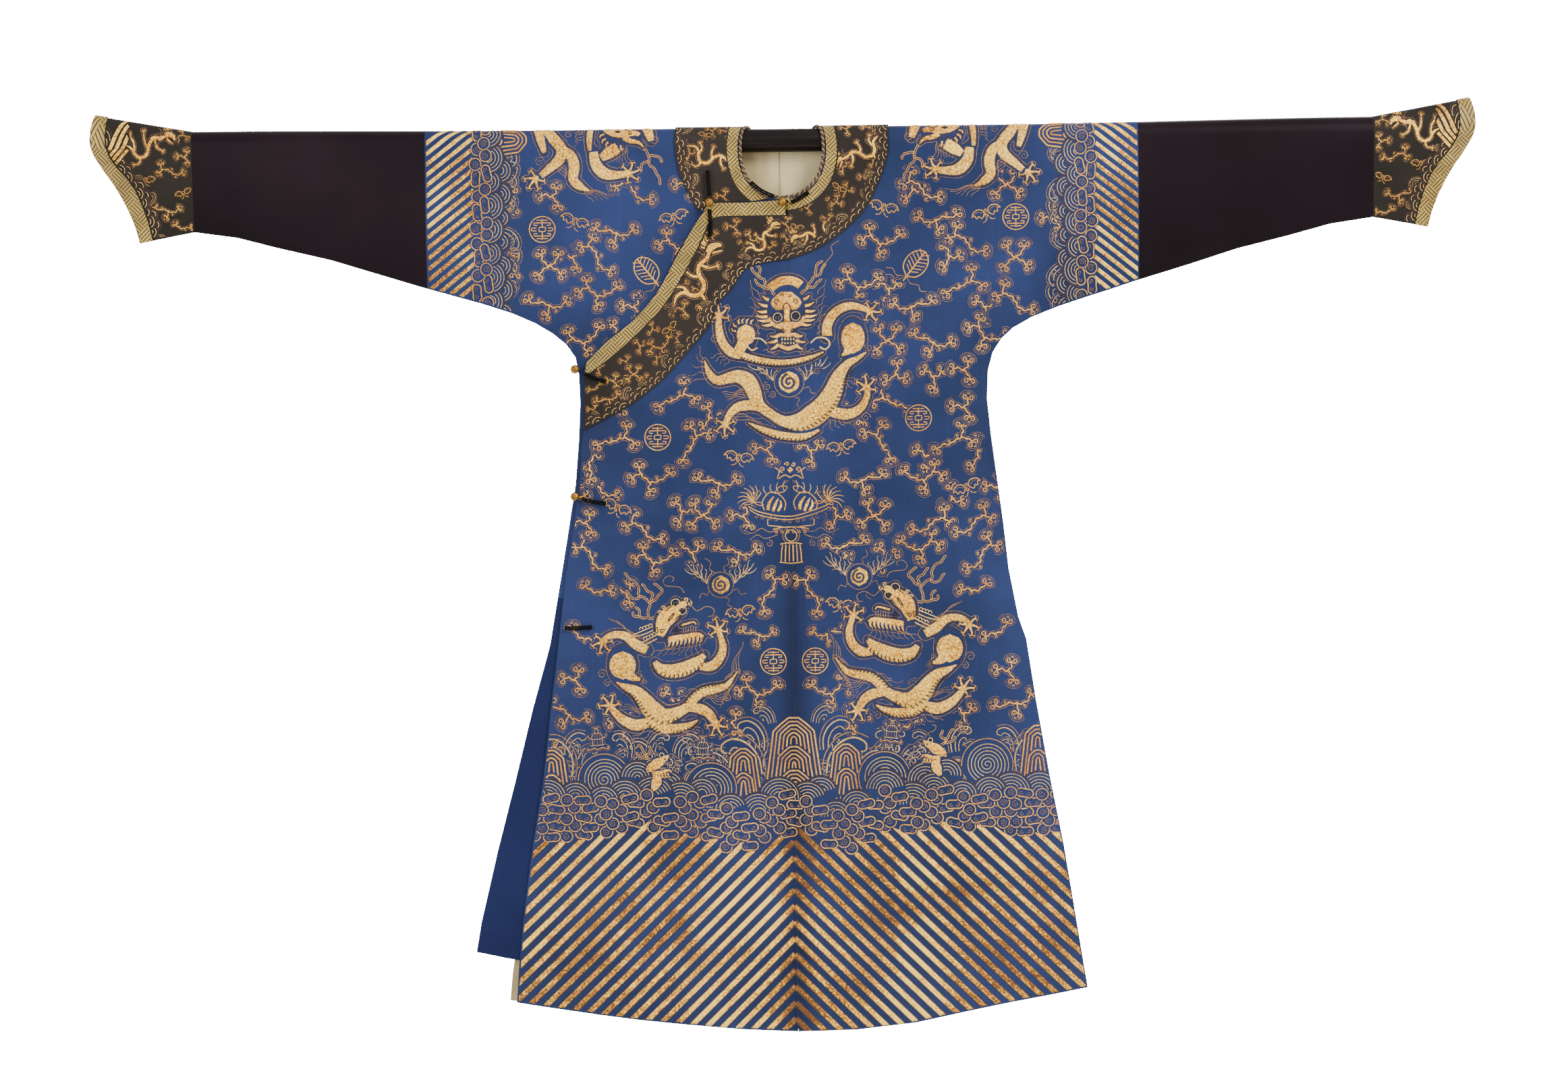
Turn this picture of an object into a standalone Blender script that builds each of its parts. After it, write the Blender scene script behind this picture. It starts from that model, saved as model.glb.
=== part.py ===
"""A chinese dragon robe hanging on a round rod that runs through the sleeves.

Metres, +Z up.  The origin is the middle of the rod's axis.  +X is across the robe, towards the
wearer's left sleeve, and -Y is the front.  Every piece of cloth is drawn flat, as the maker cuts
it: x runs across and q runs down from the shoulder fold, over the front where q is positive and
over the back where it is negative.  place() then hangs a flat spot on the rod.
"""
import math
from collections import namedtuple

import bmesh
import bpy
from mathutils import Vector

# Rod
ROD_RADIUS = 0.018
ROD_HALF = 0.985
ROD_SIDES = 64
ROD_EASE = 0.0015        # rounding of its ends

# Cloth walls and the gaps between pieces
WALL = 0.0012
LINING_WALL = 0.0010
SEAM_GAP = 0.0003
ON_PANEL = 0.0009        # room below what lies on a panel
LINING_ROOM = 0.0012     # room between the back and its lining
LAP_DROP = 0.0036        # how far the underlap hangs behind the overlap

# Hang: half depth of the robe from its middle plane
ROUND = 0.0204           # round the rod and down the front and back
QUARTER = 0.0310         # q at the rod's widest point
QUARTER_STEPS = 4
NARROW = 0.22            # share by which the half depth shrinks towards the hem
SEAM_HALF = 0.0020       # half depth at the closed side seams
VENT_OPEN = 0.0060       # more than that along the open vents
ROLL_BODY = 0.075        # width over which the front curves back to the side seam
ROLL_SLEEVE = 0.125
ROLL_POWER = 1.5
NARROWS = (0.1, 1.3)     # heights below the rod between which the robe thins
VENT_WIDENS = (0.75, 0.95)
SLEEVE_STARTS = (0.33, 0.56)   # distances out between which body becomes sleeve
LAP_ENDS = (0.36, 0.48)  # and between which the right half comes level with the left
LAP_STARTS = (0.004, 0.060)    # distances past the fold between which it drops behind
RIDGE_RISES = (0.35, 0.90)
WAIST_ROW = 8            # row of SIDE where the armhole has become the side seam

# Cut
CENTRE_SEAM = 0.0065
NECK_SHIFT = -0.0015
NECK_EDGE = 0.0063       # neck line of the panels, out from the opening that the cord leaves
RING_IN = 0.0072         # inner and outer edge of the brocade ring, out from the same opening
RING_OUT = 0.0235
RING_BACK_IN = -0.0412   # where the ring's edges cross the middle of the back
RING_BACK_OUT = -0.0575
RING_STOP_IN = 0.1222    # where they meet the overlap on the right
RING_STOP_OUT = 0.1265
CORD_MIDDLE = 0.0028
SLIT_TOP = -0.745
CUFF_SEAM = 0.9168
SEAM_LEFT = 0.5520
SEAM_RIGHT = 0.5560
RIDGE_SLEEVE = 0.0048    # the shoulder fold stands higher over the sleeves
CUFF_RISE = 0.178        # slope of the cuff's upper edge

Spot = namedtuple("Spot", "x q")
Edge = namedtuple("Edge", "z left right")
Line = namedtuple("Line", "x z")
Fold = namedtuple("Fold", "x_top z_top x_hem width depth side")

# Armhole, side seam and vent of the back, from the sleeve seam down
SIDE = [
    Edge(-0.2240, 0.5520, 0.5560), Edge(-0.2380, 0.5080, 0.5072), Edge(-0.2490, 0.4720, 0.4690),
    Edge(-0.2640, 0.4250, 0.4240), Edge(-0.2800, 0.3840, 0.3880), Edge(-0.2960, 0.3550, 0.3620),
    Edge(-0.3130, 0.3360, 0.3411), Edge(-0.3340, 0.3225, 0.3267), Edge(-0.3620, 0.3148, 0.3217),
    Edge(-0.4050, 0.3129, 0.3203), Edge(-0.4600, 0.3180, 0.3231), Edge(-0.5300, 0.3269, 0.3290),
    Edge(-0.6000, 0.3358, 0.3408), Edge(-0.6700, 0.3430, 0.3527), Edge(-0.7450, 0.3570, 0.3660),
    Edge(-0.7800, 0.3690, 0.3690), Edge(-0.8800, 0.3835, 0.3760), Edge(-0.9950, 0.4028, 0.3890),
    Edge(-1.1000, 0.4228, 0.4060), Edge(-1.2100, 0.4397, 0.4250), Edge(-1.2900, 0.4520, 0.4375),
]
HEM_CORNER_LEFT = Line(0.4573, -1.3228)
HEM_CORNER_RIGHT = Line(-0.4416, -1.3260)

# Lower edge of the plain sleeve, from the seam with the body to the cuff
SLEEVE_EDGE = [Line(0.5520, -0.2240), Line(0.6300, -0.2010), Line(0.7050, -0.1775),
               Line(0.7860, -0.1580), Line(0.8500, -0.1410), Line(0.9168, -0.1313)]
CUFF_FOOT = Line(1.0020, -0.1475)

HEM = [Line(-0.4416, -1.3330), Line(-0.2700, -1.3600), Line(-0.1100, -1.3785), Line(0.0450, -1.3875),
       Line(0.1700, -1.3768), Line(0.3000, -1.3505), Line(0.4573, -1.3228)]

# Free edges of the overlap and of the underlap
OVERLAP_TOP = [Line(-0.1080, -0.0975), Line(-0.0600, -0.0975), Line(-0.0300, -0.0960),
               Line(0.0065, -0.0940)]
OVERLAP_SIDE = [
    Line(-0.1147, -0.0990), Line(-0.1210, -0.1040), Line(-0.1254, -0.1128), Line(-0.1393, -0.1326),
    Line(-0.1661, -0.1784), Line(-0.1973, -0.2337), Line(-0.2336, -0.2763), Line(-0.2750, -0.3093),
    Line(-0.3090, -0.3400), Line(-0.3155, -0.3620), Line(-0.3145, -0.4050), Line(-0.3170, -0.4600),
    Line(-0.3232, -0.5300), Line(-0.3335, -0.6000), Line(-0.3455, -0.6700), Line(-0.3545, -0.7450),
    Line(-0.3600, -0.7900), Line(-0.3717, -0.8793), Line(-0.3850, -0.9900), Line(-0.4040, -1.1000),
    Line(-0.4195, -1.2100), Line(-0.4270, -1.2900),
]
OVERLAP_CORNER = Line(-0.4301, -1.3345)
UNDERLAP_SIDE = [Line(-0.3720, -0.7800), Line(-0.4000, -0.8790), Line(-0.4295, -0.9950),
                 Line(-0.4575, -1.1000), Line(-0.4840, -1.2100)]
UNDERLAP_HEM = [Line(-0.4921, -1.2558), Line(-0.4314, -1.2690), Line(-0.2500, -1.2950),
                Line(-0.0050, -1.3100)]

# Neck opening, half of it, from the middle of the back over the shoulder to the middle front
NECK = [Spot(0.0000, -0.0340), Spot(0.0280, -0.0265), Spot(0.0430, -0.0150), Spot(0.0505, 0.0000),
        Spot(0.0580, 0.0160), Spot(0.0614, 0.0360), Spot(0.0604, 0.0630), Spot(0.0525, 0.0875),
        Spot(0.0384, 0.1040), Spot(0.0200, 0.1150), Spot(0.0000, 0.1182)]

# Outer edge of the dark facing: round the back, over the shoulder, down the front
FACING_BACK = [Spot(0.0000, -0.1410), Spot(0.0700, -0.1330), Spot(0.1280, -0.1030),
               Spot(0.1590, -0.0560), Spot(0.1650, -0.0200), Spot(0.1645, 0.0000)]
FACING_LEFT = [Spot(0.1645, 0.0000), Spot(0.1635, 0.0541), Spot(0.1525, 0.0897),
               Spot(0.1288, 0.1377), Spot(0.0979, 0.1709), Spot(0.0524, 0.2018), Spot(0.0068, 0.2180)]
FACING_RIGHT = [Spot(-0.1660, 0.0000), Spot(-0.1681, 0.0351), Spot(-0.1640, 0.0700),
                Spot(-0.1560, 0.0960), Spot(-0.1335, 0.1400)]
BAND_LOWER = [Line(0.0062, -0.1175), Line(-0.0500, -0.1178), Line(-0.0900, -0.1180),
              Line(-0.1060, -0.1200), Line(-0.1160, -0.1280), Line(-0.1410, -0.1788),
              Line(-0.1817, -0.2465), Line(-0.2158, -0.2849), Line(-0.2647, -0.3294),
              Line(-0.3130, -0.3640)]
FACING_LOWER = [Line(0.0062, -0.1870), Line(-0.0540, -0.1978), Line(-0.0829, -0.2331),
                Line(-0.1063, -0.2580), Line(-0.1161, -0.2862), Line(-0.1449, -0.3215),
                Line(-0.1886, -0.3693), Line(-0.2194, -0.3941), Line(-0.2480, -0.4136),
                Line(-0.3140, -0.4474)]

# Cuff mouth and the inner edge of its binding, by share of the way from top to foot
CuffRow = namedtuple("CuffRow", "share mouth_x mouth_z band_x band_z")
CUFF = [
    CuffRow(0.00, 1.0670, 0.0520, 1.0485, 0.0484), CuffRow(0.06, 1.0718, 0.0400, 1.0505, 0.0370),
    CuffRow(0.12, 1.0748, 0.0270, 1.0518, 0.0240), CuffRow(0.20, 1.0755, 0.0100, 1.0518, 0.0080),
    CuffRow(0.32, 1.0690, -0.0125, 1.0450, -0.0150), CuffRow(0.42, 1.0560, -0.0335, 1.0325, -0.0330),
    CuffRow(0.53, 1.0410, -0.0545, 1.0170, -0.0500), CuffRow(0.64, 1.0285, -0.0755, 1.0050, -0.0690),
    CuffRow(0.76, 1.0170, -0.0990, 0.9950, -0.0930), CuffRow(0.88, 1.0080, -0.1230, 0.9870, -0.1190),
    CuffRow(1.00, 1.0020, -0.1475, 0.9820, -0.1435),
]

# Largest soft folds of the skirt: a ridge where depth is positive, side -1 front and +1 back
FOLDS = [
    Fold(-0.150, -0.62, -0.250, 0.060, 0.0020, -1), Fold(0.010, -0.50, 0.004, 0.050, -0.0016, -1),
    Fold(0.140, -0.60, 0.230, 0.065, 0.0022, -1), Fold(0.260, -0.48, 0.360, 0.050, -0.0014, -1),
    Fold(-0.120, -0.40, -0.210, 0.070, 0.0020, 1), Fold(0.130, -0.50, 0.200, 0.065, 0.0020, 1),
]
FOLD_FADE = 0.30         # length over which a fold comes in

# Lining, inset from the back
LINING_SLEEVE = 0.5000   # half width above the sleeve seam
LINING_BODY = 0.3300     # and at most down to the vents
LINING_INSET = 0.0480
LINING_HEM_INSET = 0.0030
LINING_FLARE = 1.01
LINING_HEM_RISE = 0.004
LINING_ROWS = [-0.0060, -0.030, -0.070, -0.150, -0.220, -0.300, -0.360, -0.460, -0.600, -0.745,
               -0.880, -1.000, -1.100, -1.210, -1.290]
LINING_COLUMNS = 12

# Neck trim
BACK_MEETING = 0.0018    # room beside the middle of the back at the facing's outer edge
BACK_SHARE = 0.45        # share of that edge at the facing's second row
PAST_FOLD = 0.003        # a facing's lower rows start this far down the front
CORNER_BOW = 0.016       # how far the right facing's last rows bow up over the corner
BAND_INSET = 0.0004      # overlap band, in from the cloth's edge

# Stations
LAP_STATIONS = 18
CUFF_COLUMNS = 3
FACING_COLUMNS = 3
SLEEVE_STEPS = 4
NECK_STEPS = 10
NECK_FINE = 200
PIPING_STEPS = 22
CORD_STEPS = 8
COLUMNS = [0.0, 0.20, 0.40, 0.57, 0.71, 0.82, 0.90, 0.96, 1.0]
RIDGE_ROWS = [QUARTER * i / QUARTER_STEPS for i in range(-QUARTER_STEPS, QUARTER_STEPS + 1)]
CHEST_ROWS = [-0.025, -0.045, -0.060, -0.072, -0.081, -0.0875, -0.0915, -0.0935, -0.0945, -0.130, -0.180]
BACK_CHEST_ROWS = [-0.0045, -0.0110, -0.080, -0.150]

BUTTON_RADIUS = 0.0070
BUTTON_STAND = 0.0030    # how far a ball stands on its shank
LOOP_RADIUS = 0.0032
PIPING_RADIUS = 0.0025
PIPING_LIFT = 0.0008

Cord = namedtuple("Cord", "name rise route")
CORDS = [
    Cord("cord_neck_right", 0.0036, [Line(-0.0500, -0.0670), Line(-0.0340, -0.0800),
                                     Line(-0.0150, -0.0890)]),
    Cord("cord_neck_left", 0.0036, [Line(0.0390, -0.0835), Line(0.0250, -0.0925),
                                    Line(0.0120, -0.0985)]),
    Cord("cord_corner_upper", 0.0036, [Line(-0.1172, -0.0480), Line(-0.1160, -0.0680),
                                       Line(-0.1150, -0.0870)]),
    Cord("cord_corner_lower", 0.0036, [Line(-0.1150, -0.1080), Line(-0.1140, -0.1290),
                                       Line(-0.1154, -0.1500)]),
    Cord("cord_underarm", 0.0036, [Line(-0.2789, -0.3723), Line(-0.2960, -0.3680),
                                   Line(-0.3120, -0.3600)]),
    Cord("cord_side", 0.0024, [Line(-0.2814, -0.5613), Line(-0.3000, -0.5590),
                               Line(-0.3180, -0.5540)]),
    Cord("cord_vent", 0.0024, [Line(-0.3060, -0.7531), Line(-0.3250, -0.7540),
                               Line(-0.3480, -0.7540)]),
]
Button = namedtuple("Button", "name x z out")
BUTTONS = [
    Button("button_neck", -0.0020, -0.0980, 0.0110), Button("button_corner", -0.1151, -0.0975, 0.0110),
    Button("button_underarm", -0.3270, -0.3527, 0.0100), Button("button_side", -0.3296, -0.5501, 0.0090),
]

Finish = namedtuple("Finish", "name colour roughness metallic")
BLUE = Finish("blue_silk", (0.035, 0.075, 0.27), 0.60, 0.0)
DARK = Finish("dark_silk", (0.030, 0.018, 0.025), 0.50, 0.0)
FACING = Finish("facing_silk", (0.055, 0.043, 0.030), 0.70, 0.0)
BROCADE = Finish("fret_brocade", (0.45, 0.34, 0.12), 0.50, 0.0)
LINING = Finish("lining_silk", (0.72, 0.62, 0.40), 0.65, 0.0)
PIPING = Finish("twisted_piping", (0.12, 0.08, 0.05), 0.60, 0.0)
BLACK_CORD = Finish("black_cord", (0.010, 0.009, 0.014), 0.60, 0.0)
GILT = Finish("gilt_brass", (0.50, 0.25, 0.05), 0.35, 1.0)
LACQUER = Finish("lacquered_rod", (0.020, 0.017, 0.015), 0.20, 0.0)


def smoothstep(start, end, value):
    share = min(1.0, max(0.0, (value - start) / (end - start)))
    return share * share * (3 - 2 * share)


def blend(start, end, share):
    return start + (end - start) * share


def read(rows, key, want, at):
    """Value of column want where column key is at, straight between the rows."""
    ordered = sorted(rows, key=lambda row: getattr(row, key))
    for low, high in zip(ordered, ordered[1:]):
        if at <= getattr(high, key) or high is ordered[-1]:
            span = getattr(high, key) - getattr(low, key)
            share = min(1.0, max(0.0, (at - getattr(low, key)) / span))
            return blend(getattr(low, want), getattr(high, want), share)
    raise ValueError(at)


def along(rows, share):
    """Point at a share of the length of a smooth line through the rows."""
    points = [Vector((row[0], row[1])) for row in rows]
    run = [0.0]
    for here, there in zip(points, points[1:]):
        run.append(run[-1] + (there - here).length)
    goal = share * run[-1]
    last = len(points) - 2
    i = next((n for n in range(last + 1) if goal <= run[n + 1]), last)
    t = (goal - run[i]) / (run[i + 1] - run[i])
    before, here = points[max(i - 1, 0)], points[i]
    there, after = points[i + 1], points[min(i + 2, len(points) - 1)]
    lead, tail = (there - before) * 0.5, (after - here) * 0.5
    return (here * (2 * t**3 - 3 * t**2 + 1) + lead * (t**3 - 2 * t**2 + t)
            + there * (3 * t**2 - 2 * t**3) + tail * (t**3 - t**2))


def ridge(x):
    """Height of the shoulder fold above the rod's axis."""
    over_sleeve = ROUND + RIDGE_SLEEVE * smoothstep(*RIDGE_RISES, abs(x))
    return over_sleeve + CUFF_RISE * max(0.0, abs(x) - CUFF_SEAM)


def lower_line(side):
    """Seam under the sleeve and down the side, which the cloth curves back to."""
    if side > 0:
        body = [Line(row.left, row.z) for row in SIDE] + [HEM_CORNER_LEFT]
    else:
        body = [Line(row.right, row.z) for row in SIDE]
        body.append(Line(-HEM_CORNER_RIGHT.x, HEM_CORNER_RIGHT.z))
    return [CUFF_FOOT] + SLEEVE_EDGE[:0:-1] + body


LOWER = {1: lower_line(1), -1: lower_line(-1)}


def from_edge(x, z):
    """Distance from the seam line, or 0 beyond it."""
    line = LOWER[1 if x > 0 else -1]
    here = Vector((abs(x), z))
    side_rows = [row for row in line if row.z <= SIDE[WAIST_ROW].z]
    if z < SIDE[WAIST_ROW].z and abs(x) >= read(side_rows, "z", "x", z):
        return 0.0
    best = 1.0
    for a, b in zip(line, line[1:]):
        start, end = Vector(a), Vector(b)
        step = end - start
        share = min(1.0, max(0.0, (here - start).dot(step) / step.length_squared))
        best = min(best, (here - start - step * share).length)
    return best


def fold(x, z, towards):
    """Soft vertical folds that widen from the waist to the hem."""
    total = 0.0
    for row in FOLDS:
        if row.side != towards or z > row.z_top:
            continue
        share = (row.z_top - z) / (row.z_top - HEM[3].z)
        off = (x - blend(row.x_top, row.x_hem, share)) / row.width
        total += row.depth * smoothstep(0, FOLD_FADE, row.z_top - z) * math.exp(-off * off)
    return total


def depth(x, z, towards):
    """Half depth of the outer face of the base layer, front (-1) or back (+1)."""
    reach = blend(ROLL_BODY, ROLL_SLEEVE, smoothstep(*SLEEVE_STARTS, abs(x)))
    swell = 1 - max(0.0, 1 - from_edge(x, z) / reach) ** ROLL_POWER
    full = ROUND * (1 - NARROW * smoothstep(*NARROWS, -z)) + fold(x, z, towards)
    edge = SEAM_HALF + VENT_OPEN * smoothstep(*VENT_WIDENS, -z)
    if towards < 0 and x < 0:
        edge += LAP_DROP * (1 - smoothstep(*LAP_ENDS, -x))
    return blend(edge, full, swell)


def lap(x, q):
    """How far the right front hangs behind the overlap."""
    over_shoulder = smoothstep(*LAP_STARTS, q - QUARTER)
    return LAP_DROP * over_shoulder * (1 - smoothstep(*LAP_ENDS, -x))


def place(x, q, out=0.0):
    """Hangs a flat spot on the rod, moved out from the base layer."""
    towards = -1 if q > 0 else 1
    if abs(q) < QUARTER:
        turn = abs(q) / QUARTER * math.pi / 2
        return Vector((x, towards * (ROUND + out) * math.sin(turn), (ridge(x) + out) * math.cos(turn)))
    z = QUARTER - abs(q)
    return Vector((x, towards * (depth(x, z, towards) + out), z))


def front(x, z):
    """Flat spot of a height on the front."""
    if z <= 0:
        return Spot(x, QUARTER - z)
    return Spot(x, math.acos(min(1.0, z / ridge(x))) / (math.pi / 2) * QUARTER)


def back(x, z):
    spot = front(x, z)
    return Spot(x, -spot.q)


def neck_rows(out):
    """Half of the neck line, moved out from the opening."""
    rows = []
    for before, here, after in zip([NECK[0]] + NECK, NECK, NECK[1:] + [NECK[-1]]):
        along_x, along_q = after.x - before.x, after.q - before.q
        if here.x == 0.0:
            along_q = 0.0
        size = math.hypot(along_x, along_q)
        rows.append(Spot(here.x + out * along_q / size, here.q - out * along_x / size))
    return rows


def neck(q, out):
    """Half width of the neck line, moved out from the opening, at a distance from the fold."""
    return max(0.0, read(neck_rows(out), "q", "x", q))


def neck_run(side, out, q_start, q_end, count):
    """Spots spaced evenly along the moved neck line, between two distances from the fold."""
    rows = neck_rows(out)
    fine = [Spot(*along(rows, i / NECK_FINE)) for i in range(NECK_FINE + 1)]
    run = [spot for spot in fine if q_start < spot.q < q_end]
    run = [Spot(read(fine, "q", "x", q_start), q_start)] + run
    run.append(fine[-1] if q_end >= fine[-1].q else Spot(read(fine, "q", "x", q_end), q_end))
    return [Spot(NECK_SHIFT + side * spot.x, spot.q) for spot in resample(run, count)]


def finish_of(kind):
    material = bpy.data.materials.get(kind.name)
    if material is None:
        material = bpy.data.materials.new(kind.name)
        material.use_nodes = True
        shader = material.node_tree.nodes["Principled BSDF"]
        shader.inputs["Base Color"].default_value = (*kind.colour, 1.0)
        shader.inputs["Roughness"].default_value = kind.roughness
        shader.inputs["Metallic"].default_value = kind.metallic
    return material


def add_object(name, mesh, kind):
    mesh.materials.append(finish_of(kind))
    item = bpy.data.objects.new(name, mesh)
    bpy.context.scene.collection.objects.link(item)
    return item


def cloth(name, rows, kind, out=0.0, wall=WALL, drop=None):
    """A closed wall of cloth through rows of flat spots, all with as many spots."""
    shell = bmesh.new()
    faces = []
    for level in (out, out - wall):
        grid = []
        for row in rows:
            line = []
            for spot in row:
                lower = drop(spot.x, spot.q) if drop else 0.0
                line.append(shell.verts.new(place(spot.x, spot.q, level - lower)))
            grid.append(line)
        faces.append(grid)
    outer, inner = faces
    tall, wide = len(rows), len(rows[0])
    for i in range(tall - 1):
        for j in range(wide - 1):
            for grid in (outer, inner):
                a, b, c, d = grid[i][j], grid[i][j + 1], grid[i + 1][j + 1], grid[i + 1][j]
                shell.faces.new((a, b, c))
                shell.faces.new((a, c, d))
    rim = [(0, j) for j in range(wide)] + [(i, wide - 1) for i in range(1, tall)]
    rim += [(tall - 1, j) for j in range(wide - 2, -1, -1)] + [(i, 0) for i in range(tall - 2, 0, -1)]
    for (i, j), (k, m) in zip(rim, rim[1:] + rim[:1]):
        shell.faces.new((outer[i][j], outer[k][m], inner[k][m]))
        shell.faces.new((outer[i][j], inner[k][m], inner[i][j]))
    bmesh.ops.recalc_face_normals(shell, faces=shell.faces)
    mesh = bpy.data.meshes.new(name)
    shell.to_mesh(mesh)
    shell.free()
    return add_object(name, mesh, kind)


def across(start, end, shares):
    """Spots on the straight line between two spots."""
    return [Spot(blend(start.x, end.x, share), blend(start.q, end.q, share)) for share in shares]


def even(count):
    return [i / count for i in range(count + 1)]


def between(first, second, columns):
    """Rows across the strip between two lines of as many spots."""
    return [across(a, b, even(columns)) for a, b in zip(first, second)]


def body_rows(side, row_edge, chest, hem_in, hem_out, lower_front):
    """Rows of half of the front or back below the shoulder, from the chest to the hem."""
    seam = SEAM_LEFT if side > 0 else SEAM_RIGHT
    sign = 1 if lower_front else -1
    rows = [(z, seam - SEAM_GAP) for z in chest]
    rows += [(edge.z, edge.x - (SEAM_GAP if edge.z == SIDE[0].z else 0)) for edge in row_edge]
    spots = []
    for z, outer in rows:
        q = QUARTER - z
        if lower_front:
            inner = max(neck(q, NECK_EDGE) + side * NECK_SHIFT, side * CENTRE_SEAM + SEAM_GAP / 2)
        else:
            inner = max(neck(-q, NECK_EDGE) + side * NECK_SHIFT, SEAM_GAP / 2)
        spots.append([Spot(side * blend(inner, outer, share), sign * q) for share in COLUMNS])
    last = []
    for share in COLUMNS:
        x = side * blend(spots[-1][0].x * side, abs(hem_out.x), share)
        z = read(hem_in, "x", "z", x)
        last.append(Spot(x, (QUARTER - z) * sign))
    spots.append(last)
    return spots


def build_body(side, name):
    """One body length: front, shoulder and back in one piece, with the blue upper sleeve."""
    seam = SEAM_LEFT if side > 0 else SEAM_RIGHT
    back_edge = [Line(row.left if side > 0 else row.right, row.z) for row in SIDE]
    if side > 0:
        front_rows = body_rows(1, back_edge, CHEST_ROWS, HEM, HEM_CORNER_LEFT, True)
    else:
        front_edge = [line for line in back_edge if line.z >= SLIT_TOP]
        front_edge += [Line(-line.x, line.z) for line in UNDERLAP_SIDE]
        front_rows = body_rows(-1, front_edge, CHEST_ROWS, UNDERLAP_HEM, UNDERLAP_HEM[0], True)
    corner = HEM_CORNER_LEFT if side > 0 else HEM_CORNER_RIGHT
    back_rows = body_rows(side, back_edge, BACK_CHEST_ROWS, HEM, corner, False)
    over = []
    for q in RIDGE_ROWS:
        inner = neck(q, NECK_EDGE) + side * NECK_SHIFT
        over.append([Spot(side * blend(inner, seam - SEAM_GAP, share), q) for share in COLUMNS])
    rows = back_rows[::-1] + over + front_rows
    return cloth(name, rows, BLUE, drop=lap if side < 0 else None)


def build_overlap():
    """Front overlap, from the brocade edge at the neck to the hem."""
    inner = CENTRE_SEAM - SEAM_GAP / 2
    top = [blend(inner, OVERLAP_TOP[0].x, share) for share in COLUMNS]
    rows = [[front(x, read(OVERLAP_TOP, "x", "z", x)) for x in top]]
    for line in OVERLAP_SIDE[1:]:
        rows.append([front(blend(inner, line.x, share), line.z) for share in COLUMNS])
    hem = []
    for share in COLUMNS:
        x = blend(inner, OVERLAP_CORNER.x, share)
        hem.append(front(x, read(HEM, "x", "z", x)))
    return cloth("front_overlap", rows + [hem], BLUE)


def tube_rows(stations, steps_down):
    """Rows along a sleeve, from the seam below on the back, over the fold, to the front."""
    shares = [i / steps_down for i in range(steps_down, 0, -1)]
    rows = [[back(x, foot * share) for x, foot in stations] for share in shares]
    rows += [[Spot(x, q) for x, _ in stations] for q in RIDGE_ROWS]
    rows += [[front(x, foot * share) for x, foot in stations] for share in shares[::-1]]
    return rows


def build_sleeve(side, name):
    """Plain dark silk sleeve between the blue upper sleeve and the cuff."""
    seam = SEAM_LEFT if side > 0 else SEAM_RIGHT
    stations = [(side * seam, SLEEVE_EDGE[0].z)]
    stations += [(side * row.x, row.z) for row in SLEEVE_EDGE[1:]]
    return cloth(name, tube_rows(stations, SLEEVE_STEPS), DARK, drop=lap if side < 0 else None)


def cuff_spots(side, edge):
    """Column of a cuff: its seam ('seam'), the binding's inner edge ('band') or its mouth."""
    spots = []
    top, foot = ridge(CUFF_SEAM), SLEEVE_EDGE[-1].z
    for row in CUFF:
        if edge == "seam":
            spots.append(Line(CUFF_SEAM + SEAM_GAP, blend(top, foot, row.share)))
        elif edge == "band":
            spots.append(Line(row.band_x, row.band_z))
        else:
            spots.append(Line(row.mouth_x, row.mouth_z))
    down = [front(side * line.x, line.z) for line in spots]
    down[0] = Spot(down[0].x, 0.0)
    return [Spot(spot.x, -spot.q) for spot in down[:0:-1]] + down


def build_cuff(side, name, band_name):
    """Horseshoe cuff with its brocade binding laid over the mouth."""
    seam, band, mouth = (cuff_spots(side, edge) for edge in ("seam", "band", "mouth"))
    rows = []
    for start, middle, end in zip(seam, band, mouth):
        rows.append(across(start, middle, even(CUFF_COLUMNS)) + [end])
    cloth(name, rows, FACING)
    cloth(band_name, [[row[-2], row[-1]] for row in rows], BROCADE, out=SEAM_GAP + WALL)


def resample(rows, count):
    return [Spot(*along(rows, i / count)) for i in range(count + 1)]


def turned(rows):
    """The same line on the other half of the robe."""
    return [Spot(-row.x, row.q) for row in rows]


def on_front(lines):
    return [front(line.x, line.z) for line in lines]


def build_neck_trim():
    """Brocade ring and dark facing round the neck, in a left and a right half."""
    lines = {}
    for side in (1, -1):
        for out, middle, stop in ((RING_IN, RING_BACK_IN, RING_STOP_IN),
                                  (RING_OUT, RING_BACK_OUT, RING_STOP_OUT)):
            line = neck_run(side, out, middle, -QUARTER, 2)[:-1]
            line[0] = Spot(side * SEAM_GAP, line[0].q)
            line += [Spot(NECK_SHIFT + side * neck(q, out), q) for q in RIDGE_ROWS]
            line += neck_run(side, out, QUARTER, 1.0 if side > 0 else stop, NECK_STEPS)[1:]
            if side > 0:
                line[-1] = Spot(CENTRE_SEAM + SEAM_GAP, line[-1].q)
            lines[side, out] = line
    lift = ON_PANEL + WALL
    for side, word in ((1, "left"), (-1, "right")):
        rows = between(lines[side, RING_IN], lines[side, RING_OUT], 1)
        cloth("neck_band_" + word, rows, BROCADE, out=lift, drop=lap if side < 0 else None)
    build_facings(lines[1, RING_OUT], lines[-1, RING_OUT])


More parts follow.
